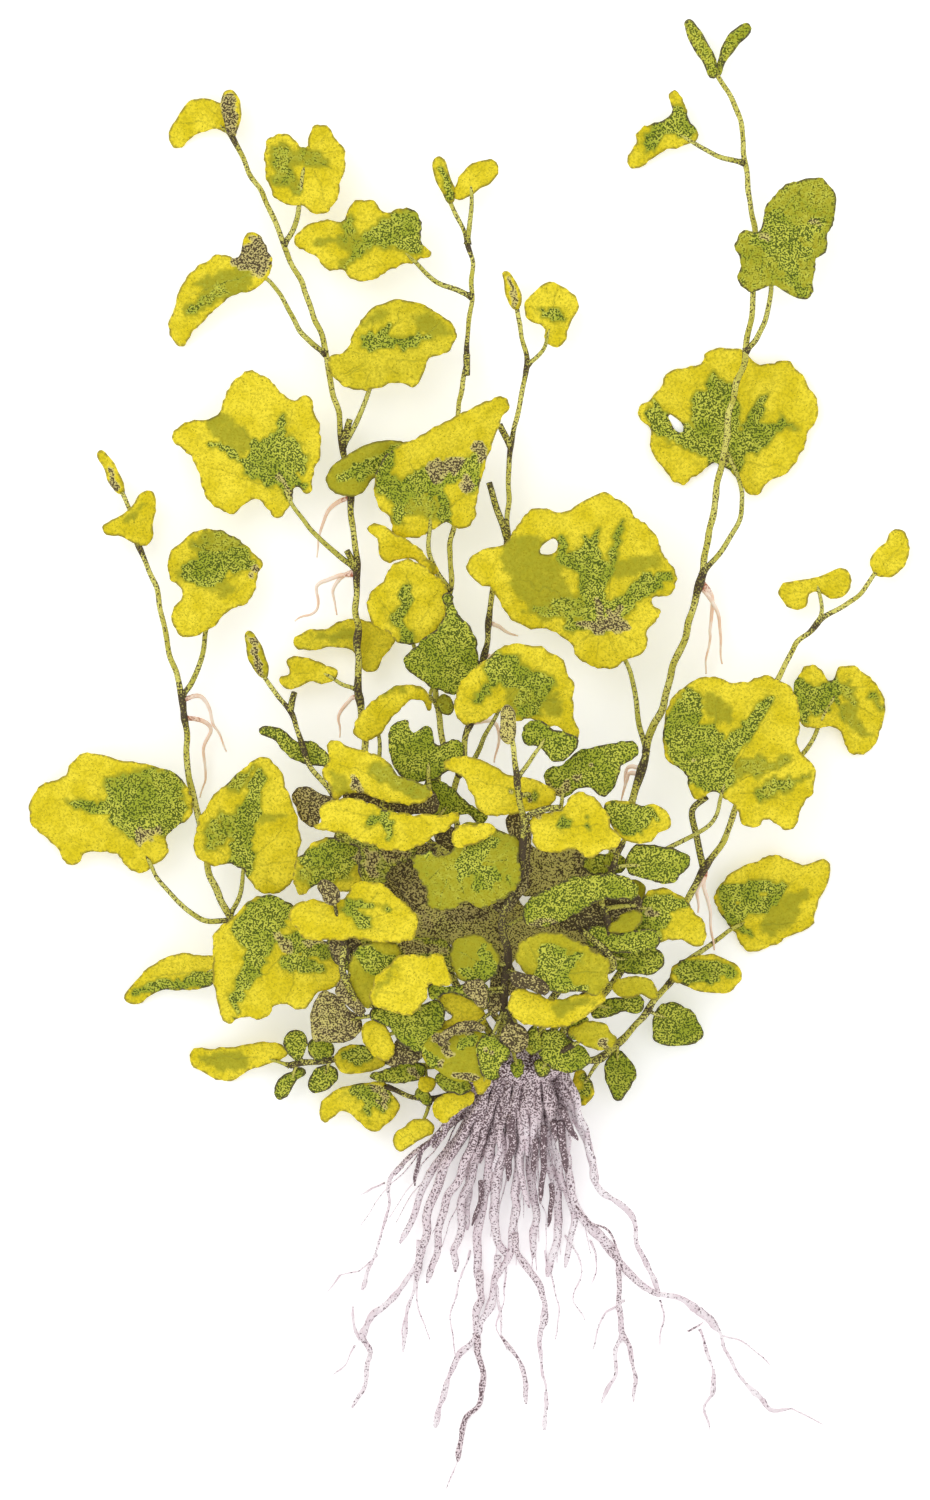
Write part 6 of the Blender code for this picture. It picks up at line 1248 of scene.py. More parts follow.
makeLeaf("leaf_low_right_outer", "leaf", {
    "stem": "stem_low_right", "joint": (54.6, -35.6), "foot": (43.2, -42.8), "lean": (-0.12, 0.1),
    "cup": 0.004, "fold": (53.6, -36, 28, 0.12, 0.1), "rests": True, "stalk": [(50, -37.8), (47, -40.4)],
    "edge": [(53.7, -36.2), (51.5, -33.5), (50, -30.5), (50.3, -27.8), (52.5, -25.2), (58.5, -22.1),
        (62, -21), (67.5, -23), (72.4, -22.2), (73.2, -24.5), (70.4, -31), (69.3, -35), (64.5, -37.6),
        (60.5, -39.5), (56.5, -40.2), (54.8, -38.2)], "tint": 0.05, "green": [(51.4, -28, 56.4, -28.8, 2),
        (53.4, -33.4, 62, -29, 1.7), (64, -26.6, 60.4, -31, 1.3), (55, -35.6, 57.2, -36.8, 1.1),
        (51.4, -29, 53.2, -33.4, 1.5), (62, -34, 67.6, -29, 3.2, 0.42), (57, -27.6, 62, -27, 1.5, 0.8)],
})
makeLeaf("leaf_left_green_upper", "green_leaf", {
    "stem": "stem_bud_left", "joint": (-20.6, -22.6), "foot": (-20.4, -24), "level": 22,
    "lean": (0.12, -0.05), "cup": -0.004, "edge": [(-34, -23), (-32, -20), (-29, -17.9), (-25, -17.3),
        (-21, -18.6), (-18.2, -20.4), (-19, -23.5), (-20, -25.6), (-24.3, -28.3), (-29, -26.6), (-33, -28.7),
        (-34, -26.5)], "tint": 0.2, "green": [(-32, -21.4, -21.4, -19.6, 3),
        (-33, -24.6, -24, -23.4, 2.2, 0.6), (-31.6, -27, -28, -25.6, 1.2, 0.7)],
    "dark": [(-20.6, -21, -19.4, -25, 1)],
})
makeLeaf("leaf_dense_left_bright", "leaf", {
    "stem": "shoot_left", "joint": (-21.4, -34.6), "foot": (-24.6, -36.4), "level": 32, "lean": (0.02, 0.05),
    "cup": -0.004, "fold": (-22, -34, 30, 0.05, 0.1), "edge": [(-34.7, -33), (-34, -31), (-30, -29.8),
        (-26, -29.9), (-24, -29.3), (-22.5, -27.2), (-20, -26), (-17, -26.5), (-13.5, -29), (-10.5, -31.5),
        (-9.7, -34), (-10, -37), (-12, -38.3), (-18, -37.9), (-24, -37.7), (-28, -38), (-32, -37.2)],
    "tint": 0.02, "green": [(-23.4, -31, -18, -30.8, 1.1), (-22.4, -32.6, -19.4, -34.4, 1.4),
        (-15.4, -31.2, -15, -31.2, 0.7)],
})
makeLeaf("leaf_dense_left_wide", "leaf", {
    "stem": "shoot_middle", "joint": (-14.8, -13.6), "foot": (-11, -15.2), "level": 34, "lean": (0.04, -0.1),
    "cup": -0.003, "fold": (-15.5, -12.5, -92, 0.06, 0.06), "middle": (-15.5, -15),
    "edge": [(-28.5, -14), (-28.6, -11.5), (-25, -9.9), (-20, -10), (-16, -11.5), (-12, -12.6), (-6, -12.8),
        (-1, -13), (-2.5, -15), (-6.5, -17), (-10, -19.5), (-14.5, -20), (-20, -18.2), (-23, -17.2),
        (-27, -16.3), (-30, -15.2)], "tint": 0.04, "green": [(-16, -12.6, -15.2, -18, 1),
        (-20.2, -15, -16.4, -13.2, 0.7), (-15.8, -13.6, -13.8, -14, 0.8)],
})
makeLeaf("leaf_dense_left_olive", "leaf", {
    "stem": "shoot_middle", "joint": (-14, -7.6), "foot": (-16.5, -11), "level": 33, "lean": (0.02, 0.14),
    "cup": -0.003, "edge": [(-27.3, 1.6), (-26, 2.1), (-23, 0.8), (-20, 0), (-17.5, -0.8), (-15, -2.5),
        (-13.3, -5), (-9.2, -6.4), (-6.6, -8.6), (-9, -10.6), (-14.5, -10.4), (-19, -9), (-23.5, -8.8),
        (-25.8, -9.8), (-26.8, -7.5), (-28.3, -4.5), (-27.2, -2)], "tint": 0.1,
    "green": [(-18, -3.6, -9.4, -7, 3, 0.52), (-26, -4, -24, -8, 1.3, 0.42)],
    "dark": [(-22.8, -5.6, -21.4, -7.8, 0.8, 1.2)],
})
makeLeaf("leaf_dense_arched", "leaf", {
    "stem": "stem_left", "joint": (-18.6, 3.8), "foot": (-18, -6.5), "level": 20, "lean": (-0.02, 0.1),
    "cup": -0.008, "middle": (-15.5, 9), "stalk": [(-17.2, -1, 16)], "edge": [(-22.3, 5), (-21.5, 2.5),
        (-18.5, 2.2), (-15.6, 4.6), (-13.5, 7.5), (-11, 9.5), (-8.6, 9.9), (-7.2, 7.6), (-6.6, 9.2),
        (-7.2, 10.7), (-9, 12.5), (-12.5, 13), (-15, 12), (-18.5, 9.5), (-21, 7.2)], "tint": 0.02,
    "green": [(-17, 12, -9, 12, 0.8, 0.42)],
})
makeLeaf("leaf_dense_left_green", "green_leaf", {
    "stem": "shoot_middle", "joint": (-6.8, -4.2), "foot": (-9, -16.6), "level": 25, "lean": (0.02, 0.08),
    "cup": 0.004, "stalk": [(-7.2, -9.5, 26.5)], "edge": [(-15.3, 3), (-12, 5.9), (-10.2, 3.6), (-7.5, 4.6),
        (-5.3, 1.2), (-3.5, 2), (-1.2, 2), (-0.6, -3.4), (-4, -4.3), (-5.5, -5.8), (-9.5, -6.3),
        (-12.5, -5.5), (-14.8, -1)], "tint": 0.74, "green": [(-13, -3, -8, 3, 3, 0.9)],
})
makeLeaf("leaf_dense_centre_top", "leaf", {
    "stem": "stem_middle_right", "joint": (6, 7.8), "foot": (-1.4, -5), "level": 27, "lean": (0.03, 0.14),
    "cup": -0.004, "fold": (6, 8, 62, 0.06, 0.06), "middle": (10.5, 12.5),
    "stalk": [(4.2, 3, 20), (1.8, -1.8, 14)], "edge": [(-1.5, 12), (-1.8, 7.5), (0.3, 5), (3.5, 5.8),
        (5.5, 7.2), (8, 7.8), (10.5, 5.6), (12.5, 6.4), (15, 5), (19, 4.2), (22.4, 2.4), (21.5, 6.5),
        (21.7, 11), (20.5, 15.5), (17.5, 19.3), (12.5, 21), (8, 20.5), (4, 17.8), (0.5, 15)], "tint": 0.04,
    "green": [(6.6, 16.4, 15, 13, 3.2, 0.72), (12, 8.6, 15, 13, 3, 0.62), (2.2, 9.4, 6, 14.6, 1.1, 0.7),
        (10, 14.6, 8.4, 8, 1.2, 0.42), (17, 9, 18, 8, 1.6, 0.42)],
})
makeLeaf("leaf_dense_centre_wide", "leaf", {
    "stem": "stem_bud_front", "joint": (13.6, -8.8), "foot": (10.4, -8.8), "level": 35.5,
    "lean": (0.02, 0.08), "cup": -0.002, "middle": (8, -7.5), "stalk": [(12.9, -9, 38.4)],
    "edge": [(-4.2, -3), (0, -1.4), (3.5, -2), (9.5, -5), (14, -5.8), (18.3, -9.4), (16, -11.3), (11, -12.6),
        (5.5, -13), (2.8, -12), (0.5, -7), (-1.5, -4.8)], "tint": 0.02,
    "green": [(9, -8.4, 13, -9.4, 0.7, 0.8)], "dark": [(9, -8.6, 12.4, -9.6, 0.5, 0.7)],
})
makeLeaf("leaf_dense_centre_olive", "green_leaf", {
    "stem": "shoot_middle", "joint": (-2.4, -21.8), "foot": (1, -24.6), "level": 35, "lean": (0.04, 0.06),
    "cup": -0.003, "middle": (0, -23.5), "edge": [(-10, -21), (-9.5, -24), (-7.6, -28), (-7, -31),
        (-3, -31.8), (0, -30.6), (4, -31.5), (6.2, -30.2), (9, -28.6), (10.8, -26.4), (10.9, -22),
        (10.2, -17.6), (7.4, -16.2), (3.5, -14.6), (-1.2, -15), (-2, -19), (-4.5, -20.7), (-7.5, -20.2)],
    "tint": 0.52, "green": [(0.4, -23, 4.6, -17.6, 2.2), (1.6, -24, 7.4, -25, 1.3),
        (2.4, -26.6, 4.6, -27.2, 0.8), (-9, -20.8, -6, -20.4, 0.8)],
})
makeLeaf("leaf_dense_right_green", "green_leaf", {
    "stem": "stem_bud_front", "joint": (18.2, -8.2), "foot": (11.4, -14), "level": 33, "lean": (-0.04, 0.1),
    "cup": 0.002, "middle": (23.5, -4), "stalk": [(18.8, -11.5, 34), (15, -14.6, 36.6)],
    "edge": [(34, 1.6), (30, 1.5), (25, 0.5), (22, -0.5), (19.5, -2.8), (17.5, -3.3), (15.6, -5.2),
        (16.2, -7.5), (18.5, -9.2), (20.5, -9), (24, -7.6), (27.2, -9.2), (28.8, -8.4), (30.2, -5),
        (31, -3.2), (34, -0.8)], "tint": 0.7, "green": [(20, -5, 28, -2, 3, 0.9)],
    "dark": [(18.4, -9, 25, -3.4, 0.5, 0.8), (16.4, -6, 18, -8.6, 0.7, 0.6)],
})
makeLeaf("leaf_dense_right_bright", "leaf", {
    "stem": "stem_bud_front", "joint": (15.4, -15.4), "foot": (11.6, -16), "level": 39.5,
    "lean": (-0.06, 0.02), "cup": -0.003, "edge": [(13.2, -16.5), (13.4, -13.4), (17, -12.2), (19.5, -11.2),
        (21, -9), (23.5, -8.4), (26, -9.7), (27.8, -12), (29, -15), (30.8, -17.5), (29.5, -19.5), (27, -20.3),
        (24, -21.2), (22, -19.8), (18.5, -20.6), (15, -19.8), (13.4, -18.6)], "tint": 0.02,
    "green": [(19.4, -14, 19.8, -14.4, 1), (24, -13.6, 24.6, -15.8, 0.6)],
    "dark": [(13.6, -12.6, 19, -11.6, 0.8, 0.6)],
})
makeLeaf("leaf_dense_right_long", "green_leaf", {
    "stem": "stem_bud_front", "joint": (13.4, -32.2), "foot": (7.6, -35.6), "level": 33,
    "lean": (-0.03, 0.06), "cup": -0.002, "middle": (20, -30), "stalk": [(11, -33.4, 28)],
    "edge": [(11.4, -33.3), (11.8, -31), (14, -28.7), (17.5, -27), (20, -25.8), (25, -25), (31, -24.6),
        (33.6, -26.2), (34.6, -28.4), (30, -29.8), (26.5, -30.2), (24, -31.5), (20.5, -33.5), (17, -34.7),
        (13, -35)], "tint": 0.72, "dark": [(13, -34.8, 21, -33.6, 0.6, 0.6)],
})
makeLeaf("leaf_dense_far_right", "green_leaf", {
    "stem": "shoot_right", "joint": (35.6, -30.4), "foot": (27.6, -31.5), "level": 25, "lean": (-0.1, 0.06),
    "cup": -0.003, "stalk": [(31.5, -31, 27.5)], "edge": [(29.8, -35.9), (31.5, -33.6), (34.5, -31.5),
        (35.5, -28.8), (38.5, -27.3), (43, -29), (46, -32.5), (48, -36), (46.7, -38.8), (43, -37.7),
        (38, -38.4), (33.5, -37.5)], "tint": 0.15, "green": [(33.4, -31.4, 43, -30.4, 2.4),
        (38, -33.4, 34, -37, 2.4), (31.4, -35.8, 37, -35.6, 2.2)], "dark": [(36, -32.4, 38.4, -32.6, 0.7)],
})
makeLeaf("leaf_dense_low_bright", "leaf", {
    "stem": "shoot_left", "joint": (-8.6, -48.2), "foot": (-8.6, -52.2), "level": 34.5, "lean": (0.04, 0.08),
    "cup": -0.004, "middle": (-11.5, -46.3), "edge": [(-18.8, -50), (-18.5, -47), (-15, -42.5),
        (-11.5, -40.4), (-7.5, -40.8), (-4.6, -40.6), (-3.6, -43.5), (-2.6, -45.8), (-5, -46.8), (-7, -46.7),
        (-8, -49.5), (-10.5, -52.3), (-13.5, -52.4), (-16, -51.3)], "tint": 0.02,
    "green": [(-18, -48, -13.4, -43, 0.9, 0.4)],
})
makeLeaf("leaf_dense_low_right", "leaf", {
    "stem": "stem_bud_front", "joint": (16, -45.6), "foot": (8.3, -43.6), "level": 34, "lean": (0, 0.08),
    "cup": -0.003, "fold": (17, -47, 88, 0.05, 0.05), "stalk": [(12.5, -45, 32)],
    "edge": [(17, -47.8), (12, -44.5), (9.9, -41.5), (10.6, -38.5), (13.5, -36.7), (18, -36.2), (21.5, -37.5),
        (25, -39.6), (28.3, -41.5), (28.6, -44.5), (27, -48.2), (22.5, -48)], "tint": 0.34,
    "green": [(17.4, -41.4, 17, -46, 3), (19, -40.8, 19.4, -46, 1.6), (20.8, -42.6, 22.8, -41, 1.2),
        (21, -48, 24, -47.4, 1)], "dark": [(11, -45.4, 15, -46.4, 0.9, 0.6)],
})
makeLeaf("leaf_dense_low_yellow", "leaf", {
    "stem": "stem_bud_front", "joint": (11, -51), "foot": (7.7, -51.3), "level": 31, "lean": (0, 0.12),
    "cup": -0.003, "edge": [(8.6, -50), (9.2, -48.4), (11, -47.2), (13.5, -48), (17, -49.2), (21, -49),
        (25, -48), (27.6, -47.8), (25.5, -52), (22.5, -53.5), (19.5, -54.8), (15, -54.8), (11, -54),
        (9, -52.5)], "tint": 0.05, "green": [(19, -51, 25, -50, 1.7, 0.42)],
})

# Leaves inside the dense middle and close over the crown, which only show between the others; the dark ones
# are blades with painted shade that stand for the shade between the leaves

innerLeavesAndShadeBlades = []


def inner(stem, foot, level, tint, shade, edge, **strokes):
    # a blade that hangs from its stem by the corner nearest to the foot
    joint = min(edge, key=lambda corner: math.dist(corner, foot))
    leaf = {"joint": joint, "foot": foot, "level": level, "tint": tint, "shade": shade, "edge": edge}
    leaf.update(strokes)
    innerLeavesAndShadeBlades.append(blade(leaf, False))
    innerLeavesAndShadeBlades.append(stalk(leaf, stems[stem]["smooth"]))


inner("stem_left", (-11.5, -27.5), 19, 0.5, 1.0, [(-17, -19.5), (-12, -19), (-8.5, -20.5), (-7.5, -26),
    (-6, -31), (-9, -33.5), (-11.5, -30), (-15, -25)])
inner("stem_middle", (-2, -33), 20, 0.4, 0.5, [(-10, -32), (-6, -30.5), (0, -30), (5, -29.5), (9, -31),
    (9.5, -40), (6, -42), (0, -38), (-5, -40), (-9, -41)], green=[(-8, -36, -3, -35, 1.6)],
    dark=[(-3, -32.4, 4, -32.6, 1.5), (7.6, -31, 7.6, -38, 1), (-8, -33, -7, -36, 0.8)])
inner("stem_middle", (-5, -17), 27, 0.5, 1.2, [(-6, -16), (-2, -15.4), (-1, -19), (-0.6, -23), (-3, -23.4),
    (-5, -19.6)])
inner("shoot_middle", (-1, -24), 37, 0.05, 0, [(-1.8, -15.4), (2, -14.8), (5.8, -15.2), (5.2, -16.8),
    (1, -18.8), (-1.6, -19.4)])
inner("shoot_middle", (-14, -13), 29.5, 0.4, 1.2, [(-24, -8.4), (-20, -8), (-15, -8.4), (-6, -8.4),
    (-5.6, -12), (-10, -12.8), (-16, -11.8), (-20, -10.4), (-24, -9.6)])
inner("stem_left", (-17, -14), 24, 0.62, 0.3, [(-26, -16.6), (-18, -17), (-10, -18.6), (-9.6, -21),
    (-14, -23), (-17, -26.6), (-21, -25), (-21, -20)], dark=[(-19, -21, -18, -25, 1.2),
    (-16, -21, -11, -20.6, 0.9)])
inner("shoot_left", (-24.6, -35), 34.5, 0.3, 1.1, [(-29, -26.3), (-26.7, -25.9), (-24.6, -28.7),
    (-25.3, -30.5), (-26.9, -30.6), (-28.8, -28)])
inner("shoot_left", (-20, -45.5), 22, 0.64, 0.3, [(-27, -37), (-18, -36.6), (-10, -37), (-4, -38),
    (-1.6, -41), (-3, -44.6), (-8, -42), (-14, -43), (-18, -42), (-22, -44), (-26, -42)],
    dark=[(-24.6, -39, -21.4, -39.6, 1.3), (-12, -39, -4, -40, 1.2, 0.8)])
inner("stem_bud_front", (8.6, -27), 31, 0.4, 1.1, [(9, -12.5), (12.4, -14), (13, -20), (11.4, -29),
    (6.4, -32), (6, -29.4), (9, -27.6), (9.6, -20)])
inner("stem_right", (26, -28), 22, 0.4, 0.5, [(10.5, -17), (14, -19.5), (17, -20), (20, -22), (23.5, -20.5),
    (25, -24), (22, -26), (17, -27.5), (12, -29), (10, -24)], dark=[(12, -20, 12, -28, 1.3),
    (22.5, -21, 23.4, -25, 1.1)])
inner("shoot_right", (29, -23.5), 28, 0.6, 0, [(23.6, -21.6), (27, -20.6), (30.6, -20.6), (32, -23.4),
    (28, -24.6), (24.6, -24.4)])
inner("shoot_right", (27.5, -32), 26.5, 0.5, 1.2, [(19, -34.6), (24, -31), (29, -29.4), (35, -29.2),
    (34.5, -32), (31, -33.2), (29, -34.6), (24, -35.2), (20, -35.8)])
inner("shoot_right", (28.4, -35), 28.5, 0.42, 0, [(28.4, -35.6), (30, -33.4), (34, -31.8), (35.4, -33.6),
    (34, -35.6), (31, -36.4)])
inner("shoot_right", (28.8, -37), 28, 0.72, 0, [(24, -36), (27, -34.8), (31, -36.4), (34.6, -35.6), (38, -36),
    (38.6, -38.4), (35, -40), (31, -40.4), (27.4, -39.6), (24.6, -38.6)])
inner("stem_right", (22, -39), 22, 0.4, 0.5, [(8, -34), (12, -34), (17, -35), (22, -36), (26, -38),
    (28.6, -42), (24, -41), (18, -38), (10, -39.6), (8, -37)])
inner("shoot_left", (-24, -40), 29, 0.5, 1.1, [(-26.5, -37.5), (-22, -37), (-20.5, -38.5), (-21, -40.5),
    (-24, -40), (-24.5, -43), (-26, -41)])
inner("shoot_left", (-23.8, -43), 30.8, 0.4, 0.9, [(-25.7, -47.5), (-24, -45.5), (-22.4, -48), (-20.3, -52.6),
    (-23, -50.8), (-25.3, -49.2)], dark=[(-24.4, -45.8, -20.6, -52.4, 0.4, 1.2)])
inner("stem_low_left", (-10, -63), 24, 0.4, 1.2, [(-14.5, -59), (-12, -57), (-9, -57.6), (-8, -60),
    (-9.5, -62), (-12.5, -62.4), (-15.5, -62.6)])
inner("stem_bud_front", (8, -52), 28, 0.35, 1.1, [(7.2, -57), (8, -54.5), (11.5, -54.8), (12.7, -57.5),
    (11, -60), (8.5, -59.5)])
inner("stem_bud_front", (8.3, -45), 26, 0.36, 0.8, [(6, -41), (8.5, -41.5), (11, -44.8), (15, -45),
    (16.5, -48), (11, -47.5), (8, -49.5), (5.5, -53), (5, -47)])
inner("stem_bud_front", (8.4, -44), 36, 0.4, 1.2, [(9, -44.4), (13, -44.6), (16, -46), (16.4, -48.4),
    (13, -47.4), (10, -46.8)])
inner("stem_bud_front", (7.8, -48), 31, 0.4, 1.0, [(-0.4, -46.6), (2.4, -45.4), (4, -46.4), (4.6, -49),
    (4, -51), (1.4, -49.6)])
inner("stem_bud_front", (7.6, -51), 28.6, 0.4, 1.1, [(-5.6, -57.6), (-3, -55), (0, -53.8), (3, -54),
    (4, -55.4), (1, -55.8), (-2, -56.6), (-5, -58.6)])
inner("shoot_left", (-7, -53), 27, 0.72, 0, [(-19, -52.4), (-13, -51.6), (-9, -50.5), (-5, -50), (-4, -54),
    (-6, -57), (-9, -60), (-13, -58), (-15, -55)])
inner("stem_bud_front", (8, -47), 29.5, 0.8, 0, [(-7, -46.5), (-3, -47), (3, -46), (5, -48), (4, -51),
    (0, -49), (-4, -48.5), (-6.5, -49.5)])
inner("stem_bud_front", (7.7, -51.5), 27.6, 0.72, 0, [(2.5, -58), (4.5, -56.5), (7.5, -58), (9, -60.5),
    (7, -63), (6.5, -65.5), (4, -65), (2.5, -62)], dark=[(4.4, -59.6, 5.6, -60.6, 0.6)])
inner("shoot_right", (22, -50.5), 26, 0.8, 0, [(20.7, -54.5), (24, -53), (24.5, -54.5), (22, -57.5),
    (20.5, -57)])
inner("shoot_right", (22, -50.5), 25, 0.62, 0, [(12.5, -56), (14, -54.8), (15, -57.5), (14.5, -60.5),
    (12.3, -60)])
inner("stem_bud_front", (7.7, -51.5), 24, 0.66, 0, [(9.2, -62), (11, -61.5), (11.5, -63.5), (10.5, -65),
    (9.3, -64)])
inner("shoot_right", (22, -50.5), 22, 0.72, 0, [(14.2, -61.8), (16.2, -62), (17, -64), (15.5, -65.2),
    (14, -64)])
inner("stem_bud_front", (7.6, -52), 21, 0.08, 0, [(2, -65.2), (5, -65), (4.8, -67), (3, -68.6), (1.6, -67)])
inner("stem_low_left", (-4, -63), 19, 0.62, 0, [(-5.6, -64.6), (-1, -64.4), (0.6, -66), (1, -68), (-3, -68.4),
    (-5, -67.4)])
inner("stem_low_left", (-8, -63), 13, 0.05, 0, [(-9.4, -66), (-6.5, -65.4), (-6, -67), (-8, -68.2)])
inner("stem_low_left", (-12, -62.5), 12, 0.62, 0, [(-19, -65), (-15, -63.5), (-10, -62), (-8, -64.5),
    (-13, -66.5), (-17, -66)], dark=[(-11, -63.6, -8.6, -64.8, 0.8)])
inner("stem_low_left", (-9, -63), 12, 0.6, 0, [(-10, -68), (-8, -67.5), (-6.5, -69.5), (-7, -71), (-9, -70)])
inner("stem_middle", (-5.7, 9), 11.5, 0.55, 0, [(-5.5, 10.5), (-3.5, 11), (-2, 9), (-2.8, 7), (-4.8, 7.4)])
finishPiece(joinPieces("grown_inner_leaves_and_shade_blades", innerLeavesAndShadeBlades), "leaf")
print("large leaves made:", leafCount[0], "blades with the small ones")


# Crown, the dark knob where all stems and roots meet, with the short shoots that grow from its top

crownShoots = []


def crownShoot(plan):
    crownShoots.extend(growth(plan))


# over the top of the crown, to its right, and low on its left
crownShoot({
    "radius": (0.9, 0.7), "track": [(8, -60.5, 17), (5, -60.8, 23.5), (1.5, -60.6, 26.5)],
    "leaves": [
        {"joint": (1.6, -61.4), "foot": (1.6, -60.6), "level": 27, "lean": (0, 0.05),
         "edge": [(-7, -57), (0, -55.6), (5, -57), (7.4, -60), (5, -64), (0, -66), (-5, -64), (-8.4, -61)],
         "tint": 0.44, "rimless": 2, "green": [(3.6, -57, 6, -62, 1.7), (-1, -58.6, 1.6, -57.6, 1),
         (-8, -60, -6.4, -62.4, 1.4)], "dark": [(-5.6, -56.6, -5, -58, 0.9, 1.2),
         (-3.6, -59, -3.4, -60.4, 0.8, 1.2), (-5, -61.4, -4.8, -62.6, 0.6, 1.2),
         (-2.4, -64.2, 1.8, -65, 0.8, 1.2), (4.4, -59.8, 5.6, -60.4, 0.7), (-3, -56.4, 1, -55.4, 0.6)]},
        {"joint": (-5.6, -59.2), "foot": (2.6, -60.7), "level": 23.5, "lean": (0.05, 0.05),
         "edge": [(-14, -54), (-10, -53.4), (-6.5, -54.6), (-5, -57.5), (-5, -60.5), (-9, -60.6),
         (-12.5, -58)], "tint": 0.7, "shade": 0.3},
    ],
})
crownShoot({
    "radius": (0.9, 0.7), "track": [(14, -61.5, 17), (18, -60.5, 22.5), (21.5, -58.6, 25)],
    "leaves": [
        {"joint": (18.6, -61), "foot": (18, -60.5), "level": 23.8, "lean": (0, 0.08),
         "edge": [(14.6, -57), (16, -55.6), (19.5, -56), (21.4, -58), (24.6, -60), (24, -63), (20, -64),
         (16, -62.4)], "tint": 0.75},
        {"joint": (22.6, -57.6), "foot": (21.4, -58.6), "level": 26.5, "lean": (0, 0.08),
         "edge": [(20.6, -55.8), (23, -54.4), (27, -53.9), (29.2, -56), (30.3, -57.6), (27.8, -59.5),
         (24.5, -58.9), (21.6, -57.3)], "tint": 0.3, "dark": [(27.4, -58, 28, -58.4, 0.6)]},
    ],
})
crownShoot({
    "radius": (0.9, 0.7), "track": [(4, -64.5, 12), (-3, -68.8, 10.5), (-9, -69.5, 8.5), (-15.6, -67.2, 7)],
    "leaves": [
        {"joint": (-16.6, -67.4), "foot": (-15.6, -67.2), "level": 5.5, "lean": (0.1, 0.28),
         "fold": (-16, -67, 205, 0.12, 0.1), "middle": (-19, -70.2), "edge": [(-15.6, -66.6), (-19, -66.2),
         (-23, -67), (-26.5, -68.2), (-29.2, -72.2), (-28, -74.5), (-25.5, -72.6), (-23.5, -72.3),
         (-21, -74.5), (-18, -76.3), (-16, -75), (-13, -71.6), (-14.4, -69)], "tint": 0.05,
         "green": [(-22.4, -68.2, -17, -69.4, 2), (-19.6, -71, -19, -74, 0.8)],
         "dark": [(-17.6, -68, -16, -70.4, 1.1, 0.8)]},
        {"joint": (-7.2, -75), "foot": (-6.8, -72.3), "level": 9.5, "lean": (0.15, 0.2),
         "edge": [(-14.2, -77), (-12, -75), (-9.5, -73.5), (-7, -74), (-6.3, -76), (-8, -77.5),
         (-10.5, -78.8), (-13, -80.2)], "tint": 0.1},
        {"joint": (-4.6, -70.6), "foot": (-4.2, -69), "level": 16.5, "lean": (0.35, 0.1),
         "edge": [(-6.2, -70.5), (-5, -69), (-2, -68.2), (1.5, -68), (2, -69.8), (0, -71.5), (-2.5, -73),
         (-4.5, -74.2), (-6.3, -73)], "tint": 0.06},
    ],
})


def crownKnob():
    bpy.ops.object.select_all(action="DESELECT")
    bpy.ops.mesh.primitive_uv_sphere_add(segments=56, ring_count=36, radius=mm, location=(0.0, 0.0, 0.0))
    knob = bpy.context.object
    bpy.ops.object.mode_set(mode="EDIT")
    bpy.ops.mesh.select_all(action="SELECT")
    bpy.ops.transform.resize(value=crownShape["size"], center_override=(0.0, 0.0, 0.0))
    bpy.ops.transform.translate(value=place(crownShape["centre"]))
    bpy.ops.object.mode_set(mode="OBJECT")
    for corner in knob.data.vertices:
        spot = corner.co / mm
        lump = 0.6 * noise.noise(spot * 0.25) + 0.35 * noise.noise(spot * 0.7)
        corner.co += corner.normal * (lump * crownShape["roughness"] - crownShape["sunk"]) * mm
    knob.data.materials.append(crownFinish)
    knob.data.shade_smooth()
    setPaint(knob, [(0.5, 0.5, 0.0)] * len(knob.data.vertices))
    return knob


finishPiece(joinPieces("grown_crown", [crownKnob()] + crownShoots), "dark_root", "crown")


# Roots below the crown: strands that spread out of a dense tuft, with thin hairs between them.
# Each row of the mat has the place along the plant, and its lowest and highest point.

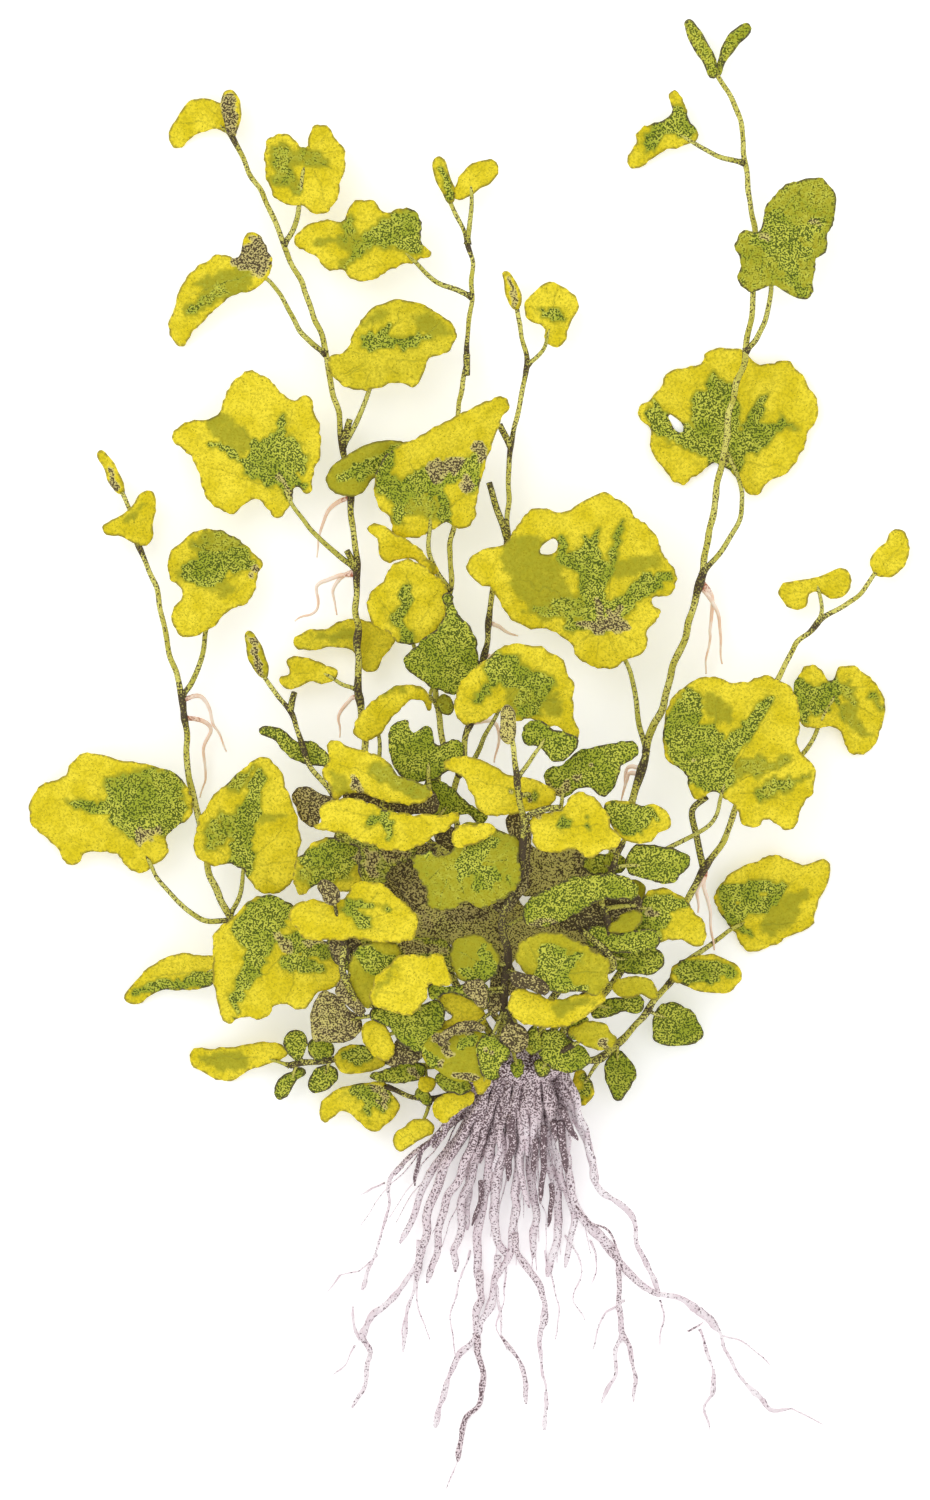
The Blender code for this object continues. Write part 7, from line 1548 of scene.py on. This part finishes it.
matRows = [
    (-60.0, 10.0, 18.5), (-68.0, 5.0, 18.0), (-74.0, 1.5, 15.6), (-80.0, 0.3, 12.6), (-86.0, 0.2, 9.2),
    (-93.0, 0.2, 6.2), (-100.0, 0.2, 3.8), (-107.5, 0.2, 2.4), (-150.0, 0.2, 1.4),
]
strands = [   # the share of the mat's height that each runs at, its radius, how dark it is, its track
    (0.95, 0.5, 1.4, [(-5, -76), (-8.4, -80), (-9.8, -83), (-10, -87)]),
    (0.35, 0.7, 0.3, [(1, -71), (-7, -78), (-11.5, -81.5), (-14, -85)]),
    (0.6, 0.9, 0.4, [(2, -71), (-4, -80), (-9, -88), (-11, -94), (-13, -98.6)]),
    (0.8, 1.1, 0.79, [(2, -72), (-2, -80), (-6, -88), (-8, -96), (-8.8, -101), (-9.8, -106)]),
    (0.9, 0.95, 0.75, [(3, -72), (0, -82), (-4.4, -92), (-5.4, -99), (-7.6, -106.6)]),
    (0.7, 1.0, 0.65, [(4, -73), (1.6, -82), (0, -90), (-1.4, -98), (-2, -104.4)]),
    (0.5, 0.9, 0.1, [(3, -76), (1, -86), (0.6, -93), (0.4, -96)]),
    (0.98, 0.6, 1.5, [(3.2, -86), (3, -90), (1.4, -95)]),
    (0.75, 1.15, 0.6, [(6, -74), (4.6, -84), (3.8, -92), (2, -99), (3, -107)]),
    (0.85, 1.1, 0.65, [(7.4, -74), (6.6, -84), (5.8, -92), (7, -98), (9, -101.6)]),
    (0.98, 0.85, 1.5, [(9, -73), (9.4, -79), (8.6, -86)]),
    (0.8, 0.95, 0.6, [(9.8, -76), (10.6, -86), (9.6, -96), (7.6, -102), (6.2, -106)]),
    (0.9, 0.8, 0.7, [(11, -76), (11, -84), (12, -88), (12.8, -91.4)]),
    (0.6, 1.0, 0.6, [(12, -76), (13.4, -86), (14.2, -93), (13.6, -101.6)]),
    (0.98, 0.65, 1.5, [(14, -77.6), (14.2, -81), (13.6, -84.6)]),
    (0.98, 0.7, 1.5, [(15.8, -75), (15.8, -80), (15.4, -85), (15, -90.5)]),
    (0.98, 0.7, 1.5, [(17.6, -74), (18.2, -78)]),
    (0.5, 1.05, 0.2, [(14, -74), (17, -84), (18.8, -91), (18.4, -98), (16.4, -105.4)]),
    (0.98, 0.55, 1.5, [(17.2, -86.6), (17.6, -90), (16.6, -95.3)]),
    (0.6, 0.85, 0.25, [(16, -73), (19, -84), (21.6, -92), (21, -97), (20, -103.5)]),
    (0.98, 0.85, 1.5, [(19, -74), (19.6, -79), (20.2, -84.4)]),
    (0.98, 0.7, 1.5, [(19.4, -71.6), (21, -74.5), (22.6, -77.8)]),
    (0.4, 0.9, 0.3, [(18, -71), (20.4, -80), (21.2, -88), (22.6, -92.5)]),
    (0.5, 1.0, 0.0, [(20, -68), (22.6, -75), (25, -81), (26.4, -87.5)]),
]
tuftShape = {   # feet and turns: where the first on the left starts and points, and how far the others reach
    "seed": 5, "strands": 46, "strandRadius": (0.8, 1.2), "strandFeet": (3.4, 16.0),
    "strandTurns": (-123.0, 51.0), "strandLayers": (0.3, 0.95), "strandDarkness": 0.4,
    "hairs": 24, "hairRadius": (0.2, 0.08), "hairFeet": (2.0, 17.0), "hairTurns": (-132.0, 56.0),
    "hairLengths": (24.0, 40.0), "hairLayers": (0.05, 0.5),
}


matTop = -64.0   # where the strands leave the crown
strokeDarkness = 0.8   # strands darker than this are short dark strokes, which start below the crown


def matBand(along):   # lowest and highest point of the mat at a place along the plant
    for above, below in zip(matRows, matRows[1:]):
        if along >= below[0]:
            share = min(max((above[0] - along) / (above[0] - below[0]), 0.0), 1.0)
            return above[1] + (below[1] - above[1]) * share, above[2] + (below[2] - above[2]) * share
    return matRows[-1][1:]


def inMat(spots, layer, radius):   # lifts a flat track to a share of the mat's height
    raised = []
    for x, y in spots:
        low, high = matBand(y)
        raised.append(Vector((x, y, max(low + (high - low) * layer - radius, radius + 0.05))))
    return raised


def rootRod(spots, radii, darkness, side=1.0, sides=8):
    # darker towards the crown, more so on the left, and with painted shade along one side
    def paint(share, spot, normal):
        pale = -79.5 - 9.0 * min(max((12.0 - spot.x) / 10.0, 0.0), 1.0) + 1.2 * max(0.0, spot.x - 18.0)
        nearCrown = min(max((spot.y - pale) / 10.0, 0.0), 1.0)
        # painted shade on one side of the root
        line = max(0.0, side * normal.x) * (0.7 + 0.9 * noise.noise(spot * 0.15))
        return max(nearCrown, darkness * (1.0 - 0.5 * share * (darkness < strokeDarkness))), line

    return rod(spots, radii, rootFinish, paint, sides)


def tuftTrack(start, turn, reach, bend):   # flat places of a strand that leaves the crown in one direction
    flat = []
    for share in (0.0, 0.35, 0.7, 1.0):
        ahead = reach * share
        flat.append((start[0] + ahead * math.cos(turn) + bend * share * (1.0 - share),
                     start[1] + ahead * math.sin(turn)))
    return flat


def makeMat():
    pieces = []
    chance = random.Random(tuftShape["seed"])
    for index, (layer, radius, darkness, flat) in enumerate(strands):
        if darkness < strokeDarkness:
            flat = [(9.5 + 0.9 * (flat[0][0] - 9.5), matTop)] + flat
        track = smoothed(inMat(flat, layer, radius), 1.6, 0.5, index * 1.3)
        radii = taper(radius, radius * 0.65, len(track), 1.8)
        radii[-1] *= 0.4
        pieces.append(rootRod(track, radii, darkness, 1.0 if index % 2 else -1.0))
    for index in range(tuftShape["strands"]):
        across = (index + chance.random()) / tuftShape["strands"]
        turn = math.radians(tuftShape["strandTurns"][0] + tuftShape["strandTurns"][1] * across ** 0.8)
        left, spread = tuftShape["strandFeet"]
        start = (left + spread * across, matTop + chance.uniform(-2.5, 2.5))
        flat = tuftTrack(start, turn, chance.uniform(9.0, 22.0 - 8.0 * across), chance.uniform(-2.0, 2.0))
        radius = chance.uniform(*tuftShape["strandRadius"])
        layer = chance.uniform(*tuftShape["strandLayers"])
        track = smoothed(inMat(flat, layer, radius), 1.6, 0.6, index * 0.9)
        radii = taper(radius, radius * 0.4, len(track), 1.8)
        pieces.append(rootRod(track, radii, tuftShape["strandDarkness"], chance.choice((-1.0, 1.0))))
    for index in range(tuftShape["hairs"]):
        across = chance.random()
        turn = math.radians(tuftShape["hairTurns"][0] + tuftShape["hairTurns"][1] * across)
        left, spread = tuftShape["hairFeet"]
        length = chance.uniform(*tuftShape["hairLengths"])
        flat = tuftTrack((left + spread * across, -66.0), turn, length, chance.uniform(-3.0, 3.0))
        thick, thin = tuftShape["hairRadius"]
        track = smoothed(inMat(flat, chance.uniform(*tuftShape["hairLayers"]), thick), 3.0, 0.7, index * 0.7)
        pieces.append(rootRod(track, taper(thick, thin, len(track)), 0.0, 1.0, sides=6))
    return joinPieces("grown_root_mat", pieces)


finishPiece(makeMat(), "root", "root_mat")
print("crown and root mat made")


# Long roots that lie on the surface beyond the mat, and thin ones beside them

rootShape = {
    "slimming": 0.8, "step": 1.3, "wander": 0.5, "uneven": 0.45, "clearance": 0.03,
    "thinRadius": (0.26, 0.18), "thinHeight": 0.3,
}


def longRoot(first, last, track, side=1.0, darkness=0.0):
    spots = smoothed(track, rootShape["step"], rootShape["wander"], track[0][0] * 0.3)
    radii = taper(first * rootShape["slimming"], last * rootShape["slimming"], len(spots))
    radii[-1] *= 0.5
    for index, spot in enumerate(spots):
        radii[index] *= 1.0 + rootShape["uneven"] * noise.noise(spot * 0.45)
        spot.z = max(spot.z, radii[index] + rootShape["clearance"])
    return rootRod(spots, radii, darkness, side)


# each branch: first and last radius, its track and, if given, which side lies in shade and how dark it is
def makeRoot(node, branches):
    finishPiece(joinPieces("grown_" + node, [longRoot(*branch) for branch in branches]), "root", node)


makeRoot("root_centre", [
    (0.9, 1.0, [(6.6, -101, 2.8), (6, -107, 1.6), (5.4, -110.5, 1), (3.6, -114, 0.95), (2.3, -117.5, 0.9)],
        1.0, 0.4),
    (0.8, 0.9, [(3, -104, 2.4), (3.2, -108, 1.4), (2.2, -112.5, 1), (2.2, -117, 0.9)], -1.0, 0.6),
    (0.9, 0.65, [(2.2, -116.5, 0.9), (3.3, -121, 0.9), (4, -127, 0.75), (3, -131, 0.7), (0, -134.5, 0.65),
        (-1.4, -142.3, 0.6)], 1.0, 0.85),
    (0.25, 0.15, [(-1.4, -142, 0.4), (-2.6, -145, 0.4), (-4, -148.3, 0.4)]),
    (0.8, 0.6, [(2.6, -116.4, 0.9), (-1, -121.5, 0.75), (-4, -128, 0.65), (-6, -135.5, 0.55)], -1.0, 0.35),
])
makeRoot("root_centre_right", [
    (0.9, 0.8, [(10, -96.5, 4), (10.5, -100.5, 2.6), (13, -104, 1.6), (15, -108, 1.1), (16.3, -112, 0.9),
        (15.3, -116, 0.85)], 1.0, 0.6),
    (0.6, 0.3, [(15.3, -115, 0.8), (15.2, -120, 0.75), (16.3, -126, 0.65), (16.2, -129, 0.6)]),
    (0.4, 0.65, [(16.2, -128.4, 0.65), (16.1, -132, 0.6), (15.9, -136, 0.55)]),
    (0.4, 0.3, [(6.3, -107, 0.9), (7.3, -112, 0.7), (7.2, -117.5, 0.6)]),
    (0.45, 0.6, [(7.2, -117.2, 0.6), (10.3, -121.5, 0.6), (11.5, -126, 0.6), (12.2, -130.8, 0.5)], 1.0, 0.6),
])
makeRoot("root_right", [
    (0.85, 1.2, [(20.6, -83, 6.4), (21.6, -90, 4.4), (24, -94.5, 3), (27, -97.5, 2), (29.5, -100, 1.4)], -1.0,
        0.5),
    (1.2, 0.7, [(29, -99.4, 1.5), (31.5, -103, 1.2), (36, -107, 1.1), (39, -109.2, 1.1)], -1.0, 0.6),
    (0.3, 0.3, [(22, -91, 5), (25, -94.5, 4), (28.5, -95.5, 3), (30, -98.5, 2.4), (30.2, -101.5, 1.8)], 1.0,
        0.9),
    (0.45, 1.1, [(38.5, -108.8, 1.1), (42, -109.6, 1), (44.6, -110.8, 1), (47, -112.4, 0.95)]),
    (1.1, 0.7, [(46.6, -112, 1), (49, -114.2, 0.95), (51, -116.4, 0.9)]),
    (0.4, 0.5, [(50.8, -116, 0.85), (52.4, -120.5, 0.85), (54, -123.8, 0.8), (56.4, -127, 0.8)]),
    (0.5, 0.8, [(56.2, -126.7, 0.8), (58.4, -128.8, 0.8), (59.6, -130, 0.8)]),
    (0.7, 0.3, [(59.4, -129.8, 0.8), (61.4, -132, 0.6), (65.5, -131.6, 0.5)]),
    (0.2, 0.15, [(65.2, -131.6, 0.4), (68, -133, 0.4), (71.6, -134.9, 0.4)]),
    (0.45, 0.4, [(46.9, -115.8, 0.7), (48.4, -119.5, 0.6), (49.6, -124, 0.6)], 1.0, 0.2),
    (0.4, 0.8, [(49.6, -123.8, 0.7), (49.9, -127, 0.7), (49.4, -129.2, 0.7)]),
    (0.35, 0.3, [(49.4, -129, 0.6), (48, -131.5, 0.5), (49, -136, 0.45)]),
    (0.25, 0.2, [(44.5, -116.3, 0.6), (46, -115.6, 0.8), (47.6, -114.4, 0.9)], 1.0, 0.7),
    (0.9, 0.6, [(22, -71, 11), (24.2, -76.5, 9.4), (25.7, -83, 7.4), (26.8, -88, 5.4), (30.4, -90.5, 4),
        (33.5, -94, 2.8), (35.4, -100.5, 1.7), (37.8, -106, 1.2), (39, -109, 1.1)]),
])
makeRoot("root_right_middle", [
    (0.5, 0.75, [(30.4, -101.6, 1.4), (30.6, -107, 0.9), (31, -112, 0.8), (31.5, -117.5, 0.8)], 1.0, 0.6),
    (0.7, 0.4, [(31.5, -116.6, 0.8), (30.2, -122, 0.6), (29.6, -126, 0.5), (27.3, -130.6, 0.45)], -1.0),
    (0.6, 0.4, [(31.4, -116.4, 0.8), (33.4, -121, 0.6), (33.7, -130.4, 0.45)], 1.0, 0.6),
])
makeRoot("root_left", [
    (0.6, 0.8, [(-9.2, -98, 2), (-10, -102, 1.2), (-13.6, -108, 0.85), (-18.5, -113, 0.8),
        (-21, -118, 0.75)]),
    (0.7, 0.45, [(-20.6, -117.4, 0.75), (-18.8, -121, 0.65), (-20, -126, 0.6), (-22.6, -131.6, 0.5)], 1.0,
        0.4),
    (0.35, 0.3, [(-21, -118, 0.6), (-22.3, -115, 0.5), (-22.4, -111, 0.5)]),
    (0.5, 0.4, [(-9.2, -104, 1.2), (-10.8, -110, 0.7), (-11.8, -115, 0.6), (-12.4, -120.4, 0.5)]),
])
makeRoot("root_left_outer", [
    (0.6, 0.3, [(-12.6, -83, 5), (-15.2, -86.5, 2.6), (-15.4, -92, 1.2), (-17, -98, 0.8), (-18, -101, 0.7)]),
    (0.35, 0.7, [(-17.8, -100.6, 0.7), (-19.4, -104.5, 0.7), (-20.6, -108, 0.6)]),
])

thinRoots = [
    [(-16, -86.5), (-18.5, -88), (-21, -89)], [(-22, -119), (-24, -122.5), (-26.5, -125)],
    [(-25, -105), (-26.4, -107), (-28, -109)], [(-11.5, -112), (-12.4, -116), (-12.5, -120)],
    [(25, -98), (26.5, -103), (25.2, -107)], [(39, -110), (39.6, -114), (39, -119)],
    [(-17.5, -101), (-21, -104), (-25, -105)], [(16, -100), (17, -106), (19, -112), (18, -118)],
    [(1, -100), (-1, -108), (-3, -114), (-2, -121)], [(8, -101), (8.5, -109), (7, -115), (8.4, -120)],
    [(32, -110), (27, -114), (25.5, -120)], [(51, -117), (56, -118.5), (61, -123)],
    [(-8, -100), (-10, -106), (-9, -112), (-7, -118)], [(20, -97), (23, -103), (22, -109), (24, -114)],
]


def makeThinRoots():
    pieces = []
    for track in thinRoots:
        spots = [(*spot, rootShape["thinHeight"]) for spot in track]
        pieces.append(longRoot(*rootShape["thinRadius"], spots))
    finishPiece(joinPieces("grown_thin_roots", pieces), "root")


makeThinRoots()
print("roots made")


# Floor, light and camera

studio = {
    "cameraHeight": 4.0, "lens": 480.0, "sky": 0.93, "floor": 0.94, "floorGlow": 0.28,
    "floorSize": 6.0, "floorCloud": 30.0, "floorShades": (0.99, 1.0),
    "lampSize": 0.8, "keyPower": 2.6, "keyPlace": (-0.5, 0.55, 1.1),
    "fillPower": 0.8, "fillPlace": (0.7, -0.5, 1.0),
}


def makeFloor():
    bpy.ops.object.select_all(action="DESELECT")
    bpy.ops.mesh.primitive_plane_add(size=studio["floorSize"], location=(0.0, 0.0, 0.0))
    floor = bpy.context.object
    floor.name = "floor"
    glow = {"Emission Color": (1.0, 1.0, 1.0, 1.0), "Emission Strength": studio["floorGlow"]}
    paper = Finish("pale_floor", {"Roughness": 0.9, "Specular IOR Level": 0.1, **glow})
    where = paper.add("ShaderNodeTexCoord", output="Object")
    share = paper.cloud(where, studio["floorCloud"])
    shades = [(studio["floor"] * part,) * 3 + (1.0,) for part in studio["floorShades"]]
    floor.data.materials.append(paper.wear(colour=paper.mix(share, *shades)))


def makeLamp(name, spot, size, power):
    data = bpy.data.lights.new(name, "AREA")
    data.shape = "DISK"
    data.size = size
    data.energy = power
    lamp = bpy.data.objects.new(name, data)
    bpy.context.scene.collection.objects.link(lamp)
    lamp.location = spot
    lamp.rotation_euler = (-Vector(spot)).to_track_quat("-Z", "Y").to_euler()


def makeCamera():
    data = bpy.data.cameras.new("camera")
    camera = bpy.data.objects.new("camera", data)
    bpy.context.scene.collection.objects.link(camera)
    middle = place((0.0, 0.0, 0.0))
    camera.location = (middle.x, middle.y, studio["cameraHeight"])
    data.sensor_fit = "VERTICAL"
    data.sensor_height = 36.0
    data.lens = studio["lens"]
    data.clip_end = 20.0
    bpy.context.scene.camera = camera


makeFloor()
makeLamp("key", studio["keyPlace"], studio["lampSize"], studio["keyPower"])
makeLamp("fill", studio["fillPlace"], studio["lampSize"], studio["fillPower"])
makeCamera()
world = bpy.data.worlds.new("studio")
world.use_nodes = True
world.node_tree.nodes["Background"].inputs["Color"].default_value = (studio["sky"],) * 3 + (1.0,)
bpy.context.scene.world = world
bpy.context.scene.view_settings.view_transform = "Standard"
print("floor, light and camera placed")
